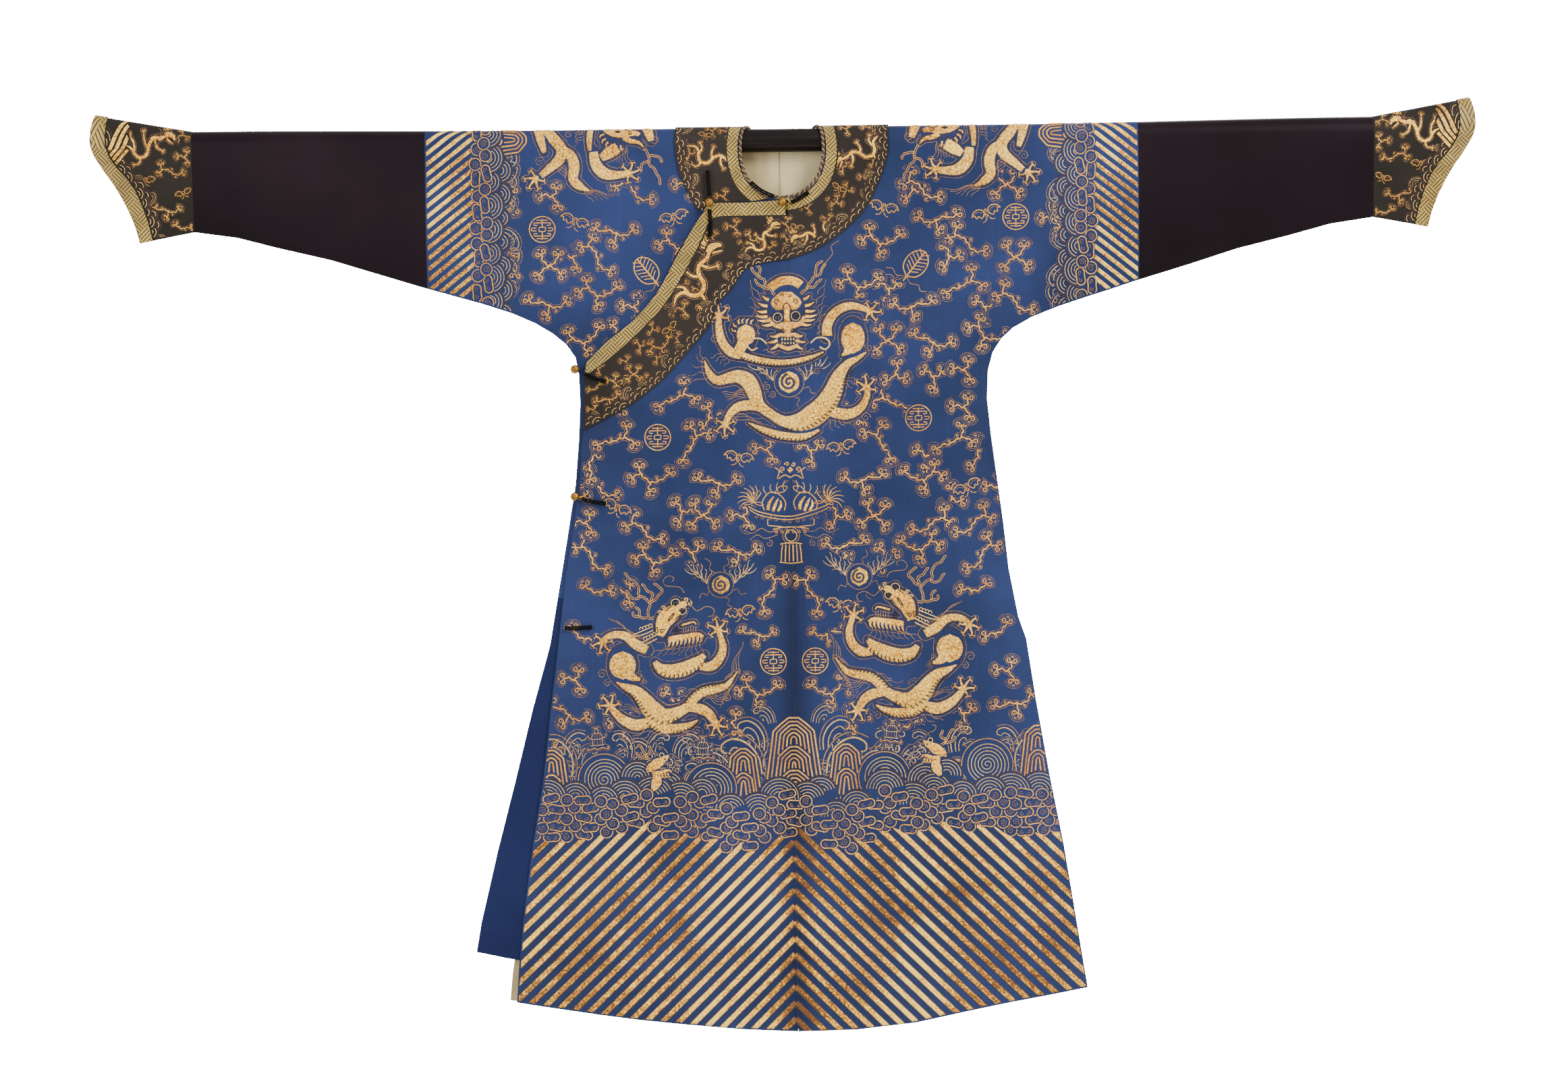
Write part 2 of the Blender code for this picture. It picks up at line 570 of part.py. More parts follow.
def build_facings(left_ring, right_ring):
    """Dark embroidered facing, in the three pieces that lie on the three panels."""
    for side, ring, down, name in ((1, left_ring, FACING_LEFT, "facing_left"),
                                   (-1, right_ring, FACING_RIGHT, "facing_right")):
        inner = [Spot(spot.x + side * SEAM_GAP, spot.q) for spot in ring]
        round_back = FACING_BACK if side > 0 else turned(FACING_BACK)
        first = along(round_back, 0.0)
        outer = [Spot(first.x + side * BACK_MEETING, first.y), Spot(*along(round_back, BACK_SHARE))]
        for q in RIDGE_ROWS:
            rows = round_back if q <= 0 else down
            outer.append(Spot(read(rows, "q", "x", q), q))
        rest = len(inner) - len(outer)
        lower = [Spot(read(down, "q", "x", QUARTER), QUARTER)]
        lower += [spot for spot in down if spot.q > QUARTER + PAST_FOLD]
        outer += resample(lower, rest)[1:]
        if side > 0:
            outer[-1] = Spot(CENTRE_SEAM + SEAM_GAP, outer[-1].q)
        rows = between(inner, outer, FACING_COLUMNS)
        if side < 0:
            rows = [lift_end(row, i, len(rows)) for i, row in enumerate(rows)]
        cloth(name, rows, FACING, out=ON_PANEL + WALL, drop=lap if side < 0 else None)
    top = [Spot(spot.x + SEAM_GAP, spot.q + SEAM_GAP) for spot in band_foot()]
    top[0] = Spot(band_foot()[0].x, top[0].q)
    foot = resample(on_front(FACING_LOWER), LAP_STATIONS)
    cloth("facing_overlap", between(top, foot, FACING_COLUMNS), FACING, out=ON_PANEL + WALL)


def band_foot():
    """Lower edge of the overlap's brocade band."""
    return resample(on_front(BAND_LOWER), LAP_STATIONS)


def lift_end(row, index, count):
    """Bows the right facing's last rows up over the overlap's corner."""
    near_end = smoothstep(count - 4, count - 1, index)
    raised = []
    for j, spot in enumerate(row):
        share = j / (len(row) - 1)
        raised.append(Spot(spot.x, spot.q - CORNER_BOW * near_end * 4 * share * (1 - share)))
    return raised


def build_overlap_band():
    """Brocade edge of the overlap, from the middle of the neck to the underarm."""
    edge = [Line(row.x, row.z - BAND_INSET) for row in OVERLAP_TOP[::-1]]
    edge += [Line(row.x + BAND_INSET, row.z) for row in OVERLAP_SIDE[:9]]
    edge[0] = Line(CENTRE_SEAM - SEAM_GAP, edge[0].z)
    top = resample(on_front(edge), LAP_STATIONS)
    cloth("overlap_band", between(top, band_foot(), 1), BROCADE, out=ON_PANEL + WALL)


def build_lining():
    """Lining of the back, from just under the rod to the hem."""
    rows = []
    for z in LINING_ROWS:
        reach = []
        for side in (-1, 1):
            edges = [Line(row.left if side > 0 else row.right, row.z) for row in SIDE]
            width = read(edges, "z", "x", z) if z < SIDE[0].z else LINING_SLEEVE
            width = min(width, LINING_BODY) if z > SLIT_TOP else width
            width -= blend(LINING_INSET, LINING_HEM_INSET, smoothstep(-0.745, -0.90, z))
            reach.append(side * width)
        rows.append([back(blend(reach[0], reach[1], share), z) for share in even(LINING_COLUMNS)])
    hem = []
    for spot in rows[-1]:
        x = spot.x * LINING_FLARE
        hem.append(back(x, read(HEM, "x", "z", x) + LINING_HEM_RISE))
    rows.append(hem)
    cloth("back_lining", rows, LINING, out=-WALL - LINING_ROOM, wall=LINING_WALL)


def tube(name, points, radius, kind, closed=False, resolution=2):
    """A cord: a poly curve with a round bevel, made into a mesh."""
    curve = bpy.data.curves.new(name, "CURVE")
    curve.dimensions = "3D"
    curve.bevel_depth = radius
    curve.bevel_resolution = resolution
    curve.use_fill_caps = True
    spline = curve.splines.new("POLY")
    spline.points.add(len(points) - 1)
    for knot, point in zip(spline.points, points):
        knot.co = (*point, 1.0)
    spline.use_cyclic_u = closed
    curve.materials.append(finish_of(kind))
    item = bpy.data.objects.new(name, curve)
    bpy.context.scene.collection.objects.link(item)
    return item


def build_neck_piping():
    """Twisted cord sewn round the neck edge, one closed loop."""
    half = [along(NECK, share) for share in even(PIPING_STEPS)]
    halves = [[Vector((NECK_SHIFT + side * point.x, point.y)) for point in half] for side in (1, -1)]
    loop = halves[0] + halves[1][-2:0:-1]
    points = []
    for before, here, after in zip(loop[-1:] + loop[:-1], loop, loop[1:] + loop[:1]):
        step = (after - before).normalized()
        out = Vector((step.y, -step.x))
        spot = here + out * CORD_MIDDLE
        points.append(place(spot.x, spot.y, PIPING_LIFT - (lap(spot.x, spot.y) if spot.x < 0 else 0)))
    tube("neck_piping", points, PIPING_RADIUS, PIPING, closed=True)


def build_fastenings():
    """Loops of black cord and gilt ball buttons down the closing."""
    for cord in CORDS:
        points = []
        for share in even(CORD_STEPS):
            spot = front(*along(cord.route, share))
            points.append(place(spot.x, spot.q, cord.rise + LOOP_RADIUS))
        tube(cord.name, points, LOOP_RADIUS, BLACK_CORD)
    for button in BUTTONS:
        spot = front(button.x, button.z)
        centre = place(spot.x, spot.q, button.out + BUTTON_STAND)
        ball = bmesh.new()
        bmesh.ops.create_uvsphere(ball, u_segments=20, v_segments=12, radius=BUTTON_RADIUS)
        bmesh.ops.translate(ball, verts=ball.verts, vec=centre)
        mesh = bpy.data.meshes.new(button.name)
        ball.to_mesh(mesh)
        ball.free()
        mesh.shade_smooth()
        add_object(button.name, mesh, GILT)


def build_rod():
    """Round rod through the sleeves, with its ends eased."""
    stick = bmesh.new()
    bmesh.ops.create_cone(stick, cap_ends=True, segments=ROD_SIDES, radius1=ROD_RADIUS,
                          radius2=ROD_RADIUS, depth=2 * ROD_HALF)
    bmesh.ops.rotate(stick, verts=stick.verts, cent=(0, 0, 0),
                     matrix=Vector((0, 0, 1)).rotation_difference(Vector((1, 0, 0))).to_matrix())
    mesh = bpy.data.meshes.new("rod")
    stick.to_mesh(mesh)
    stick.free()
    rod = add_object("rod", mesh, LACQUER)
    ease = rod.modifiers.new("eased ends", "BEVEL")
    ease.width = ROD_EASE
    ease.segments = 2
    ease.limit_method = "ANGLE"
    mesh.shade_smooth()


def main():
    for item in list(bpy.data.objects):
        bpy.data.objects.remove(item, do_unlink=True)
    build_rod()
    build_body(1, "body_left")
    build_body(-1, "body_right")
    build_overlap()
    for side, word in ((1, "left"), (-1, "right")):
        build_sleeve(side, "sleeve_" + word)
        build_cuff(side, "cuff_" + word, "cuff_band_" + word)
    build_neck_trim()
    build_overlap_band()
    build_lining()
    build_neck_piping()
    build_fastenings()


main()
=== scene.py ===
"""The looks of a dragon robe that hangs on a round rod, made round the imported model.

Metres, +Z up.  The origin is the middle of the rod's axis, +X is towards the wearer's left sleeve
and -Y is the front.  Cloth is drawn flat and then hung: x runs across and q runs down from the
shoulder fold, over the front where q is positive and over the back where it is negative.
"""
import math
from collections import namedtuple

import bmesh
import bpy
import numpy as np
from mathutils import Matrix, Vector


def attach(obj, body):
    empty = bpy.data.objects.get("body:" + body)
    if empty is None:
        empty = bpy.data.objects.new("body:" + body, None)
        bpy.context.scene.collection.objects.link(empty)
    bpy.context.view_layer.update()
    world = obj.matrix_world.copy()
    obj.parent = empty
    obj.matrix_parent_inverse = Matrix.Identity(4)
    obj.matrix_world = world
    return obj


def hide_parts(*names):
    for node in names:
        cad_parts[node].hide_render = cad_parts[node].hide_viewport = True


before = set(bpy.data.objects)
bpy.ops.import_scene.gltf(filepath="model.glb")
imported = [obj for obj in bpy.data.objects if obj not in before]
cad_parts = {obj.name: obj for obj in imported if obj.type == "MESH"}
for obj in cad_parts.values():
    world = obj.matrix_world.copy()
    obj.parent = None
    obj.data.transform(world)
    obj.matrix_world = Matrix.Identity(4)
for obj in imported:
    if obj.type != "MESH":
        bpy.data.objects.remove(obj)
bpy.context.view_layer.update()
BODY = "root"

# ---------------------------------------------------------------- the cut and the hang
WALL = 0.0012
LINING_WALL = 0.0010
SEAM_GAP = 0.0003
ON_PANEL = 0.0009        # room below what lies on a panel
LINING_ROOM = 0.0012
LAP_DROP = 0.0036        # how far the underlap hangs behind the overlap

ROUND = 0.0204           # half depth round the rod and down the front and back
QUARTER = 0.0310         # q at the rod's widest point
NARROW = 0.22            # share by which the half depth shrinks towards the hem
SEAM_HALF = 0.0020
VENT_OPEN = 0.0060
ROLL_BODY = 0.075
ROLL_SLEEVE = 0.125
ROLL_POWER = 1.5

CENTRE_SEAM = 0.0065
NECK_SHIFT = -0.0015
NECK_EDGE = 0.0063
RING_IN = 0.0072
RING_OUT = 0.0235
RING_BACK_IN = -0.0412
RING_BACK_OUT = -0.0575
RING_STOP_IN = 0.1222
RING_STOP_OUT = 0.1265
CORD_MIDDLE = 0.0028
SLIT_TOP = -0.745
CUFF_SEAM = 0.9168
SEAM_LEFT = 0.5520
SEAM_RIGHT = 0.5560
RIDGE_SLEEVE = 0.0048
CUFF_RISE = 0.178

Spot = namedtuple("Spot", "x q")
Edge = namedtuple("Edge", "z left right")
Line = namedtuple("Line", "x z")
Crease = namedtuple("Crease", "x_top z_top x_foot z_foot width height side")

# Armhole, side seam and vent of the back, from the sleeve seam down
SIDE = [
    Edge(-0.2240, 0.5520, 0.5560), Edge(-0.2380, 0.5080, 0.5072), Edge(-0.2490, 0.4720, 0.4690),
    Edge(-0.2640, 0.4250, 0.4240), Edge(-0.2800, 0.3840, 0.3880), Edge(-0.2960, 0.3550, 0.3620),
    Edge(-0.3130, 0.3360, 0.3411), Edge(-0.3340, 0.3225, 0.3267), Edge(-0.3620, 0.3148, 0.3217),
    Edge(-0.4050, 0.3129, 0.3203), Edge(-0.4600, 0.3180, 0.3231), Edge(-0.5300, 0.3269, 0.3290),
    Edge(-0.6000, 0.3358, 0.3408), Edge(-0.6700, 0.3430, 0.3527), Edge(-0.7450, 0.3570, 0.3660),
    Edge(-0.7800, 0.3690, 0.3690), Edge(-0.8800, 0.3835, 0.3760), Edge(-0.9950, 0.4028, 0.3890),
    Edge(-1.1000, 0.4228, 0.4060), Edge(-1.2100, 0.4397, 0.4250), Edge(-1.2900, 0.4520, 0.4375),
]
HEM_CORNER_LEFT = Line(0.4573, -1.3228)
HEM_CORNER_RIGHT = Line(-0.4416, -1.3260)
SLEEVE_EDGE = [Line(0.5520, -0.2240), Line(0.6300, -0.2010), Line(0.7050, -0.1775),
               Line(0.7860, -0.1580), Line(0.8500, -0.1410), Line(0.9168, -0.1313)]
CUFF_FOOT = Line(1.0020, -0.1475)
HEM = [Line(-0.4416, -1.3330), Line(-0.2700, -1.3600), Line(-0.1100, -1.3785), Line(0.0450, -1.3875),
       Line(0.1700, -1.3768), Line(0.3000, -1.3505), Line(0.4573, -1.3228)]
OVERLAP_TOP = [Line(-0.1080, -0.0975), Line(-0.0600, -0.0975), Line(-0.0300, -0.0960),
               Line(0.0065, -0.0940)]
OVERLAP_SIDE = [
    Line(-0.1147, -0.0990), Line(-0.1210, -0.1040), Line(-0.1254, -0.1128), Line(-0.1393, -0.1326),
    Line(-0.1661, -0.1784), Line(-0.1973, -0.2337), Line(-0.2336, -0.2763), Line(-0.2750, -0.3093),
    Line(-0.3090, -0.3400), Line(-0.3155, -0.3620), Line(-0.3145, -0.4050), Line(-0.3170, -0.4600),
    Line(-0.3232, -0.5300), Line(-0.3335, -0.6000), Line(-0.3455, -0.6700), Line(-0.3545, -0.7450),
    Line(-0.3600, -0.7900), Line(-0.3717, -0.8793), Line(-0.3850, -0.9900), Line(-0.4040, -1.1000),
    Line(-0.4195, -1.2100), Line(-0.4270, -1.2900),
]
OVERLAP_CORNER = Line(-0.4301, -1.3345)
UNDERLAP_SIDE = [Line(-0.3720, -0.7800), Line(-0.4000, -0.8790), Line(-0.4295, -0.9950),
                 Line(-0.4575, -1.1000), Line(-0.4840, -1.2100)]
UNDERLAP_HEM = [Line(-0.4921, -1.2558), Line(-0.4314, -1.2690), Line(-0.2500, -1.2950),
                Line(-0.0050, -1.3100)]
NECK = [Spot(0.0000, -0.0340), Spot(0.0280, -0.0265), Spot(0.0430, -0.0150), Spot(0.0505, 0.0000),
        Spot(0.0580, 0.0160), Spot(0.0614, 0.0360), Spot(0.0604, 0.0630), Spot(0.0525, 0.0875),
        Spot(0.0384, 0.1040), Spot(0.0200, 0.1150), Spot(0.0000, 0.1182)]
FACING_BACK = [Spot(0.0000, -0.1410), Spot(0.0700, -0.1330), Spot(0.1280, -0.1030),
               Spot(0.1590, -0.0560), Spot(0.1650, -0.0200), Spot(0.1645, 0.0000)]
FACING_LEFT = [Spot(0.1645, 0.0000), Spot(0.1635, 0.0541), Spot(0.1525, 0.0897),
               Spot(0.1288, 0.1377), Spot(0.0979, 0.1709), Spot(0.0524, 0.2018), Spot(0.0068, 0.2180)]
FACING_RIGHT = [Spot(-0.1660, 0.0000), Spot(-0.1681, 0.0351), Spot(-0.1640, 0.0700),
                Spot(-0.1560, 0.0960), Spot(-0.1335, 0.1400)]
BAND_LOWER = [Line(0.0062, -0.1175), Line(-0.0500, -0.1178), Line(-0.0900, -0.1180),
              Line(-0.1060, -0.1200), Line(-0.1160, -0.1280), Line(-0.1410, -0.1788),
              Line(-0.1817, -0.2465), Line(-0.2158, -0.2849), Line(-0.2647, -0.3294),
              Line(-0.3130, -0.3640)]
FACING_LOWER = [Line(0.0062, -0.1870), Line(-0.0540, -0.1978), Line(-0.0829, -0.2331),
                Line(-0.1063, -0.2580), Line(-0.1161, -0.2862), Line(-0.1449, -0.3215),
                Line(-0.1886, -0.3693), Line(-0.2194, -0.3941), Line(-0.2480, -0.4136),
                Line(-0.3140, -0.4474)]

CuffRow = namedtuple("CuffRow", "share mouth_x mouth_z band_x band_z")
CUFF = [
    CuffRow(0.00, 1.0670, 0.0520, 1.0485, 0.0484), CuffRow(0.06, 1.0718, 0.0400, 1.0505, 0.0370),
    CuffRow(0.12, 1.0748, 0.0270, 1.0518, 0.0240), CuffRow(0.20, 1.0755, 0.0100, 1.0518, 0.0080),
    CuffRow(0.32, 1.0690, -0.0125, 1.0450, -0.0150), CuffRow(0.42, 1.0560, -0.0335, 1.0325, -0.0330),
    CuffRow(0.53, 1.0410, -0.0545, 1.0170, -0.0500), CuffRow(0.64, 1.0285, -0.0755, 1.0050, -0.0690),
    CuffRow(0.76, 1.0170, -0.0990, 0.9950, -0.0930), CuffRow(0.88, 1.0080, -0.1230, 0.9870, -0.1190),
    CuffRow(1.00, 1.0020, -0.1475, 0.9820, -0.1435),
]

# Soft folds and creases: side -1 is the front, +1 the back; a ridge where height is positive
CREASES = [
    Crease(-0.150, -0.62, -0.250, -1.45, 0.060, 0.0026, -1),
    Crease(0.010, -0.50, 0.004, -1.45, 0.034, -0.0045, -1),
    Crease(0.140, -0.60, 0.230, -1.45, 0.065, 0.0028, -1),
    Crease(0.260, -0.48, 0.360, -1.45, 0.050, -0.0018, -1),
    Crease(-0.120, -0.40, -0.210, -1.45, 0.070, 0.0026, 1),
    Crease(0.130, -0.50, 0.200, -1.45, 0.065, 0.0026, 1),
    Crease(-0.020, -0.55, -0.035, -1.45, 0.055, -0.0020, 1),
    Crease(0.300, -0.60, 0.370, -1.45, 0.050, 0.0018, 1),
    Crease(-0.300, -0.60, -0.380, -1.45, 0.050, -0.0016, 1),
]

ROWS_PER_FOLD = 10
CREASE_SHADE_REACH = 0.032      # reach of the painted shade in the centre crease to either side


def smoothstep(start, end, value):
    share = np.clip((value - start) / (end - start), 0.0, 1.0)
    return share * share * (3 - 2 * share)


def blend(start, end, share):
    return start + (end - start) * share


def column(rows, name):
    return np.array([getattr(row, name) for row in rows])


def read(rows, key, want, at):
    """Value of column want where column key is at, straight between the rows."""
    keys = column(rows, key)
    order = np.argsort(keys)
    return np.interp(at, keys[order], column(rows, want)[order])


def along(rows, shares):
    """Points at shares of the length of a smooth line through the rows."""
    points = np.array(rows, float)
    run = np.concatenate([[0.0], np.cumsum(np.hypot(*np.diff(points, axis=0).T))])
    goal = np.atleast_1d(shares) * run[-1]
    i = np.clip(np.searchsorted(run, goal, side="left") - 1, 0, len(points) - 2)
    t = ((goal - run[i]) / (run[i + 1] - run[i]))[:, None]
    before, here = points[np.maximum(i - 1, 0)], points[i]
    there, after = points[i + 1], points[np.minimum(i + 2, len(points) - 1)]
    lead, tail = (there - before) * 0.5, (after - here) * 0.5
    return (here * (2 * t**3 - 3 * t**2 + 1) + lead * (t**3 - 2 * t**2 + t)
            + there * (3 * t**2 - 2 * t**3) + tail * (t**3 - t**2))


def resample(rows, count):
    return along(rows, np.linspace(0, 1, count + 1))


def ridge(x):
    """Height of the shoulder fold above the rod's axis."""
    over_sleeve = ROUND + RIDGE_SLEEVE * smoothstep(0.35, 0.90, np.abs(x))
    return over_sleeve + CUFF_RISE * np.maximum(0.0, np.abs(x) - CUFF_SEAM)


def lower_line(side):
    """Seam under the sleeve and down the side, which the cloth curves back to."""
    if side > 0:
        body = [Line(row.left, row.z) for row in SIDE] + [HEM_CORNER_LEFT]
    else:
        body = [Line(row.right, row.z) for row in SIDE]
        body.append(Line(-HEM_CORNER_RIGHT.x, HEM_CORNER_RIGHT.z))
    return [CUFF_FOOT] + SLEEVE_EDGE[:0:-1] + body


LOWER = {1: lower_line(1), -1: lower_line(-1)}


def distance(line, x, z):
    """Shortest distance from each point to a line of straight pieces."""
    best = np.full(np.shape(x), 9.0)
    for a, b in zip(line, line[1:]):
        step_x, step_z = b[0] - a[0], b[1] - a[1]
        length = step_x**2 + step_z**2
        share = np.clip(((x - a[0]) * step_x + (z - a[1]) * step_z) / length, 0.0, 1.0)
        best = np.minimum(best, np.hypot(x - a[0] - step_x * share, z - a[1] - step_z * share))
    return best


def from_edge(x, z):
    """Distance from the seam line, or 0 beyond it."""
    x, z = np.broadcast_arrays(x, z)
    found = np.zeros(x.shape)
    for side in (1, -1):
        here = x > 0 if side > 0 else x <= 0
        line = LOWER[side]
        wide, high = np.abs(x[here]), z[here]
        off = np.minimum(distance(line, wide, high), 1.0)
        low = [row for row in line if row[1] <= SIDE[8].z]
        keys = np.array([row[1] for row in low])[::-1]
        widths = np.array([row[0] for row in low])[::-1]
        off[(high < SIDE[8].z) & (wide >= np.interp(high, keys, widths))] = 0.0
        found[here] = off
    return found


def crease(x, z, towards):
    """Soft folds, which fade in from both of their ends."""
    total = np.zeros(np.shape(x))
    for row in CREASES:
        run_x, run_z = row.x_foot - row.x_top, row.z_foot - row.z_top
        length = math.hypot(run_x, run_z)
        share = ((x - row.x_top) * run_x + (z - row.z_top) * run_z) / length**2
        off = ((x - row.x_top) * run_z - (z - row.z_top) * run_x) / length / row.width
        fade = smoothstep(0.0, 0.3, share) * (1 - smoothstep(0.75, 1.0, share))
        if row.z_foot < -1.4:
            fade = smoothstep(0.0, 0.35, share)
        total += np.where(towards == row.side, row.height * fade * np.exp(-off * off), 0.0)
    return total


def depth(x, z, towards):
    """Half depth of the outer face of the base layer, front (-1) or back (+1)."""
    reach = blend(ROLL_BODY, ROLL_SLEEVE, smoothstep(0.33, 0.56, np.abs(x)))
    swell = 1 - np.maximum(0.0, 1 - from_edge(x, z) / reach) ** ROLL_POWER
    full = ROUND * (1 - NARROW * smoothstep(0.1, 1.3, -z)) + crease(x, z, towards)
    edge = SEAM_HALF + VENT_OPEN * smoothstep(0.75, 0.95, -z)
    right_front = (towards < 0) & (x < 0)
    edge = edge + np.where(right_front, LAP_DROP * smoothstep(0.48, 0.36, -x), 0.0)
    return blend(edge, full, swell)


def lap(x, q):
    """How far the right front hangs behind the overlap."""
    over_shoulder = smoothstep(QUARTER + 0.004, QUARTER + 0.060, q)
    return np.where(x < 0, LAP_DROP * over_shoulder * (1 - smoothstep(0.36, 0.48, -x)), 0.0)


def place(x, q, out=0.0):
    """Hangs flat spots on the rod, moved out from the base layer."""
    x, q, out = np.broadcast_arrays(x, q, out)
    towards = np.where(q > 0, -1, 1)
    turn = np.minimum(np.abs(q) / QUARTER, 1.0) * math.pi / 2
    z = QUARTER - np.abs(q)
    over = np.abs(q) < QUARTER
    y = np.where(over, (ROUND + out) * np.sin(turn), depth(x, z, towards) + out)
    z = np.where(over, (ridge(x) + out) * np.cos(turn), z)
    return np.stack([x, towards * y, z], axis=-1)


def front(x, z):
    """Flat spots of heights on the front."""
    x, z = np.broadcast_arrays(np.asarray(x, float), np.asarray(z, float))
    over = np.arccos(np.clip(z / ridge(x), -1.0, 1.0)) / (math.pi / 2) * QUARTER
    return np.stack([x, np.where(z <= 0, QUARTER - z, over)], axis=-1)


def back(x, z):
    return front(x, z) * [1, -1]


def neck_rows(out):
    """Half of the neck line, moved out from the opening."""
    rows = []
    for before, here, after in zip([NECK[0]] + NECK, NECK, NECK[1:] + [NECK[-1]]):
        along_x, along_q = after.x - before.x, after.q - before.q
        if here.x == 0.0:
            along_q = 0.0
        size = math.hypot(along_x, along_q)
        rows.append(Spot(here.x + out * along_q / size, here.q - out * along_x / size))
    return rows


def neck(q, out):
    """Half width of the neck line, moved out from the opening, at distances from the fold."""
    return np.maximum(0.0, read(neck_rows(out), "q", "x", q))


def neck_run(side, out, q_start, q_end, count):
    """Spots spaced evenly along the moved neck line, between two distances from the fold."""
    fine = resample(neck_rows(out), 200)
    inside = fine[(fine[:, 1] > q_start) & (fine[:, 1] < q_end)]
    start = [[np.interp(q_start, fine[:, 1], fine[:, 0]), q_start]]
    end = [fine[-1]] if q_end >= fine[-1][1] else [[np.interp(q_end, fine[:, 1], fine[:, 0]), q_end]]
    run = resample(np.concatenate([start, inside, end]), count)
    return run * [side, 1] + [NECK_SHIFT, 0]


# ---------------------------------------------------------------- finishes
def add(tree, kind, **settings):
    """Adds a node.  A setting names a property or an input; a socket given is linked to it."""
    node = tree.nodes.new(kind)
    inputs = settings.pop("inputs", {})
    for key, value in settings.items():
        setattr(node, key, value)
    for key, value in inputs.items():
        if isinstance(value, bpy.types.NodeSocket):
            tree.links.new(value, node.inputs[key])
        else:
            node.inputs[key].default_value = value
    return node


def start(name, **sockets):
    """A material with its shader's even values set on the sockets."""
    made = bpy.data.materials.new(name)
    made.use_nodes = True
    shader = made.node_tree.nodes["Principled BSDF"]
    for key, value in sockets.items():
        shader.inputs[key.replace("_", " ")].default_value = value
    return made, made.node_tree, shader


def colour(code):
    """Linear colour of a six-figure code."""
    parts = [int(code[i:i + 2], 16) / 255 for i in (0, 2, 4)]
    return tuple(c / 12.92 if c <= 0.04045 else ((c + 0.055) / 1.055) ** 2.4 for c in parts) + (1.0,)


def maths(tree, operation, first, second=0.0, third=0.0):
    return add(tree, "ShaderNodeMath", operation=operation,
               inputs={0: first, 1: second, 2: third}).outputs[0]


def stretched(tree, source, scale, turn=0.0):
    """Coordinates squeezed by a scale in each direction."""
    return add(tree, "ShaderNodeMapping",
               inputs={"Vector": source, "Scale": scale, "Rotation": (0, 0, turn)}).outputs[0]


def noise(tree, source, scale=1.0, detail=3.0, rough=0.5):
    return add(tree, "ShaderNodeTexNoise", inputs={
        "Vector": source, "Scale": scale, "Detail": detail, "Roughness": rough}).outputs["Fac"]


def ramp(tree, value, stops):
    """A colour for a value, between stops of (place, six-figure code)."""
    node = add(tree, "ShaderNodeValToRGB", inputs={"Fac": value})
    band = node.color_ramp
    while len(band.elements) < len(stops):
        band.elements.new(0.5)
    for element, (place_at, code) in zip(band.elements, stops):
        element.position = place_at
        element.color = colour(code)
    return node.outputs["Color"]


def mix(tree, share, first, second, how="MIX"):
    node = add(tree, "ShaderNodeMix", data_type="RGBA", blend_type=how)
    for socket, value in zip((0, 6, 7), (share, first, second)):
        if isinstance(value, bpy.types.NodeSocket):
            tree.links.new(value, node.inputs[socket])
        else:
            node.inputs[socket].default_value = value
    return node.outputs[2]


def raise_up(tree, shader, height, distance_up, strength=1.0):
    bump = add(tree, "ShaderNodeBump",
               inputs={"Height": height, "Distance": distance_up, "Strength": strength})
    tree.links.new(bump.outputs[0], shader.inputs["Normal"])


def flat_cloth(tree):
    """Coordinates in the plane of the cloth, in metres."""
    return add(tree, "ShaderNodeUVMap", uv_map="flat").outputs[0]


def painted_crease_shade(tree, where):
    """Mask of the painted shade in the centre crease: 1 on the centre seam of the skirt, fading to 0 beside
    it and above the waist.
    """
    x, _, z = add(tree, "ShaderNodeSeparateXYZ", inputs={0: where}).outputs
    off = maths(tree, "ABSOLUTE", maths(tree, "SUBTRACT", x, CENTRE_SEAM))
    beside = maths(tree, "MAXIMUM", maths(tree, "MULTIPLY_ADD", off, -1 / CREASE_SHADE_REACH, 1.0), 0.0)
    below = add(tree, "ShaderNodeMapRange", inputs={"Value": z, "From Min": -0.46,
                                                    "From Max": -0.72}).outputs[0]
    return maths(tree, "MULTIPLY", beside, below)


def silk(name, ground, light, dark, sheen, rough, crease_shade_depth=0.0):
    """Plain woven silk: fine warp and weft streaks over slow changes of tone, with painted shade in the
    centre crease.
    """
    made, tree, shader = start(name, Roughness=rough, Sheen_Weight=sheen, Sheen_Roughness=0.4,
                               Specular_IOR_Level=0.08)
    flat = flat_cloth(tree)
    warp = noise(tree, stretched(tree, flat, (620.0, 9.0, 1.0)), detail=2.0)
    weft = noise(tree, stretched(tree, flat, (11.0, 700.0, 1.0)), detail=2.0)
    slow = noise(tree, flat, 3.2, 4.0, 0.55)
    tone = ramp(tree, slow, [(0.30, dark), (0.50, ground), (0.72, light)])
    streak = maths(tree, "ADD", warp, weft)
    streak = maths(tree, "MULTIPLY_ADD", streak, 0.24, 0.76)
    where = add(tree, "ShaderNodeTexCoord").outputs["Object"]
    # painted shade: the silk is darkened along the centre crease of the skirt
    streak = maths(tree, "SUBTRACT", streak, maths(tree, "MULTIPLY", painted_crease_shade(tree, where), crease_shade_depth))
    tone = mix(tree, 1.0, tone, streak_colour(tree, streak), "MULTIPLY")
    tree.links.new(tone, shader.inputs["Base Color"])
    raise_up(tree, shader, streak, 0.0002, 0.5)
    return made


def streak_colour(tree, value):
    node = add(tree, "ShaderNodeCombineColor", inputs={0: value, 1: value, 2: value})
    return node.outputs[0]


def stripes_across(tree, value, pitch):
    """0 to 1 to 0 across each pitch of a distance."""
    turn = maths(tree, "FRACT", maths(tree, "DIVIDE", value, pitch))
    return maths(tree, "PINGPONG", maths(tree, "MULTIPLY", turn, 2.0), 1.0)


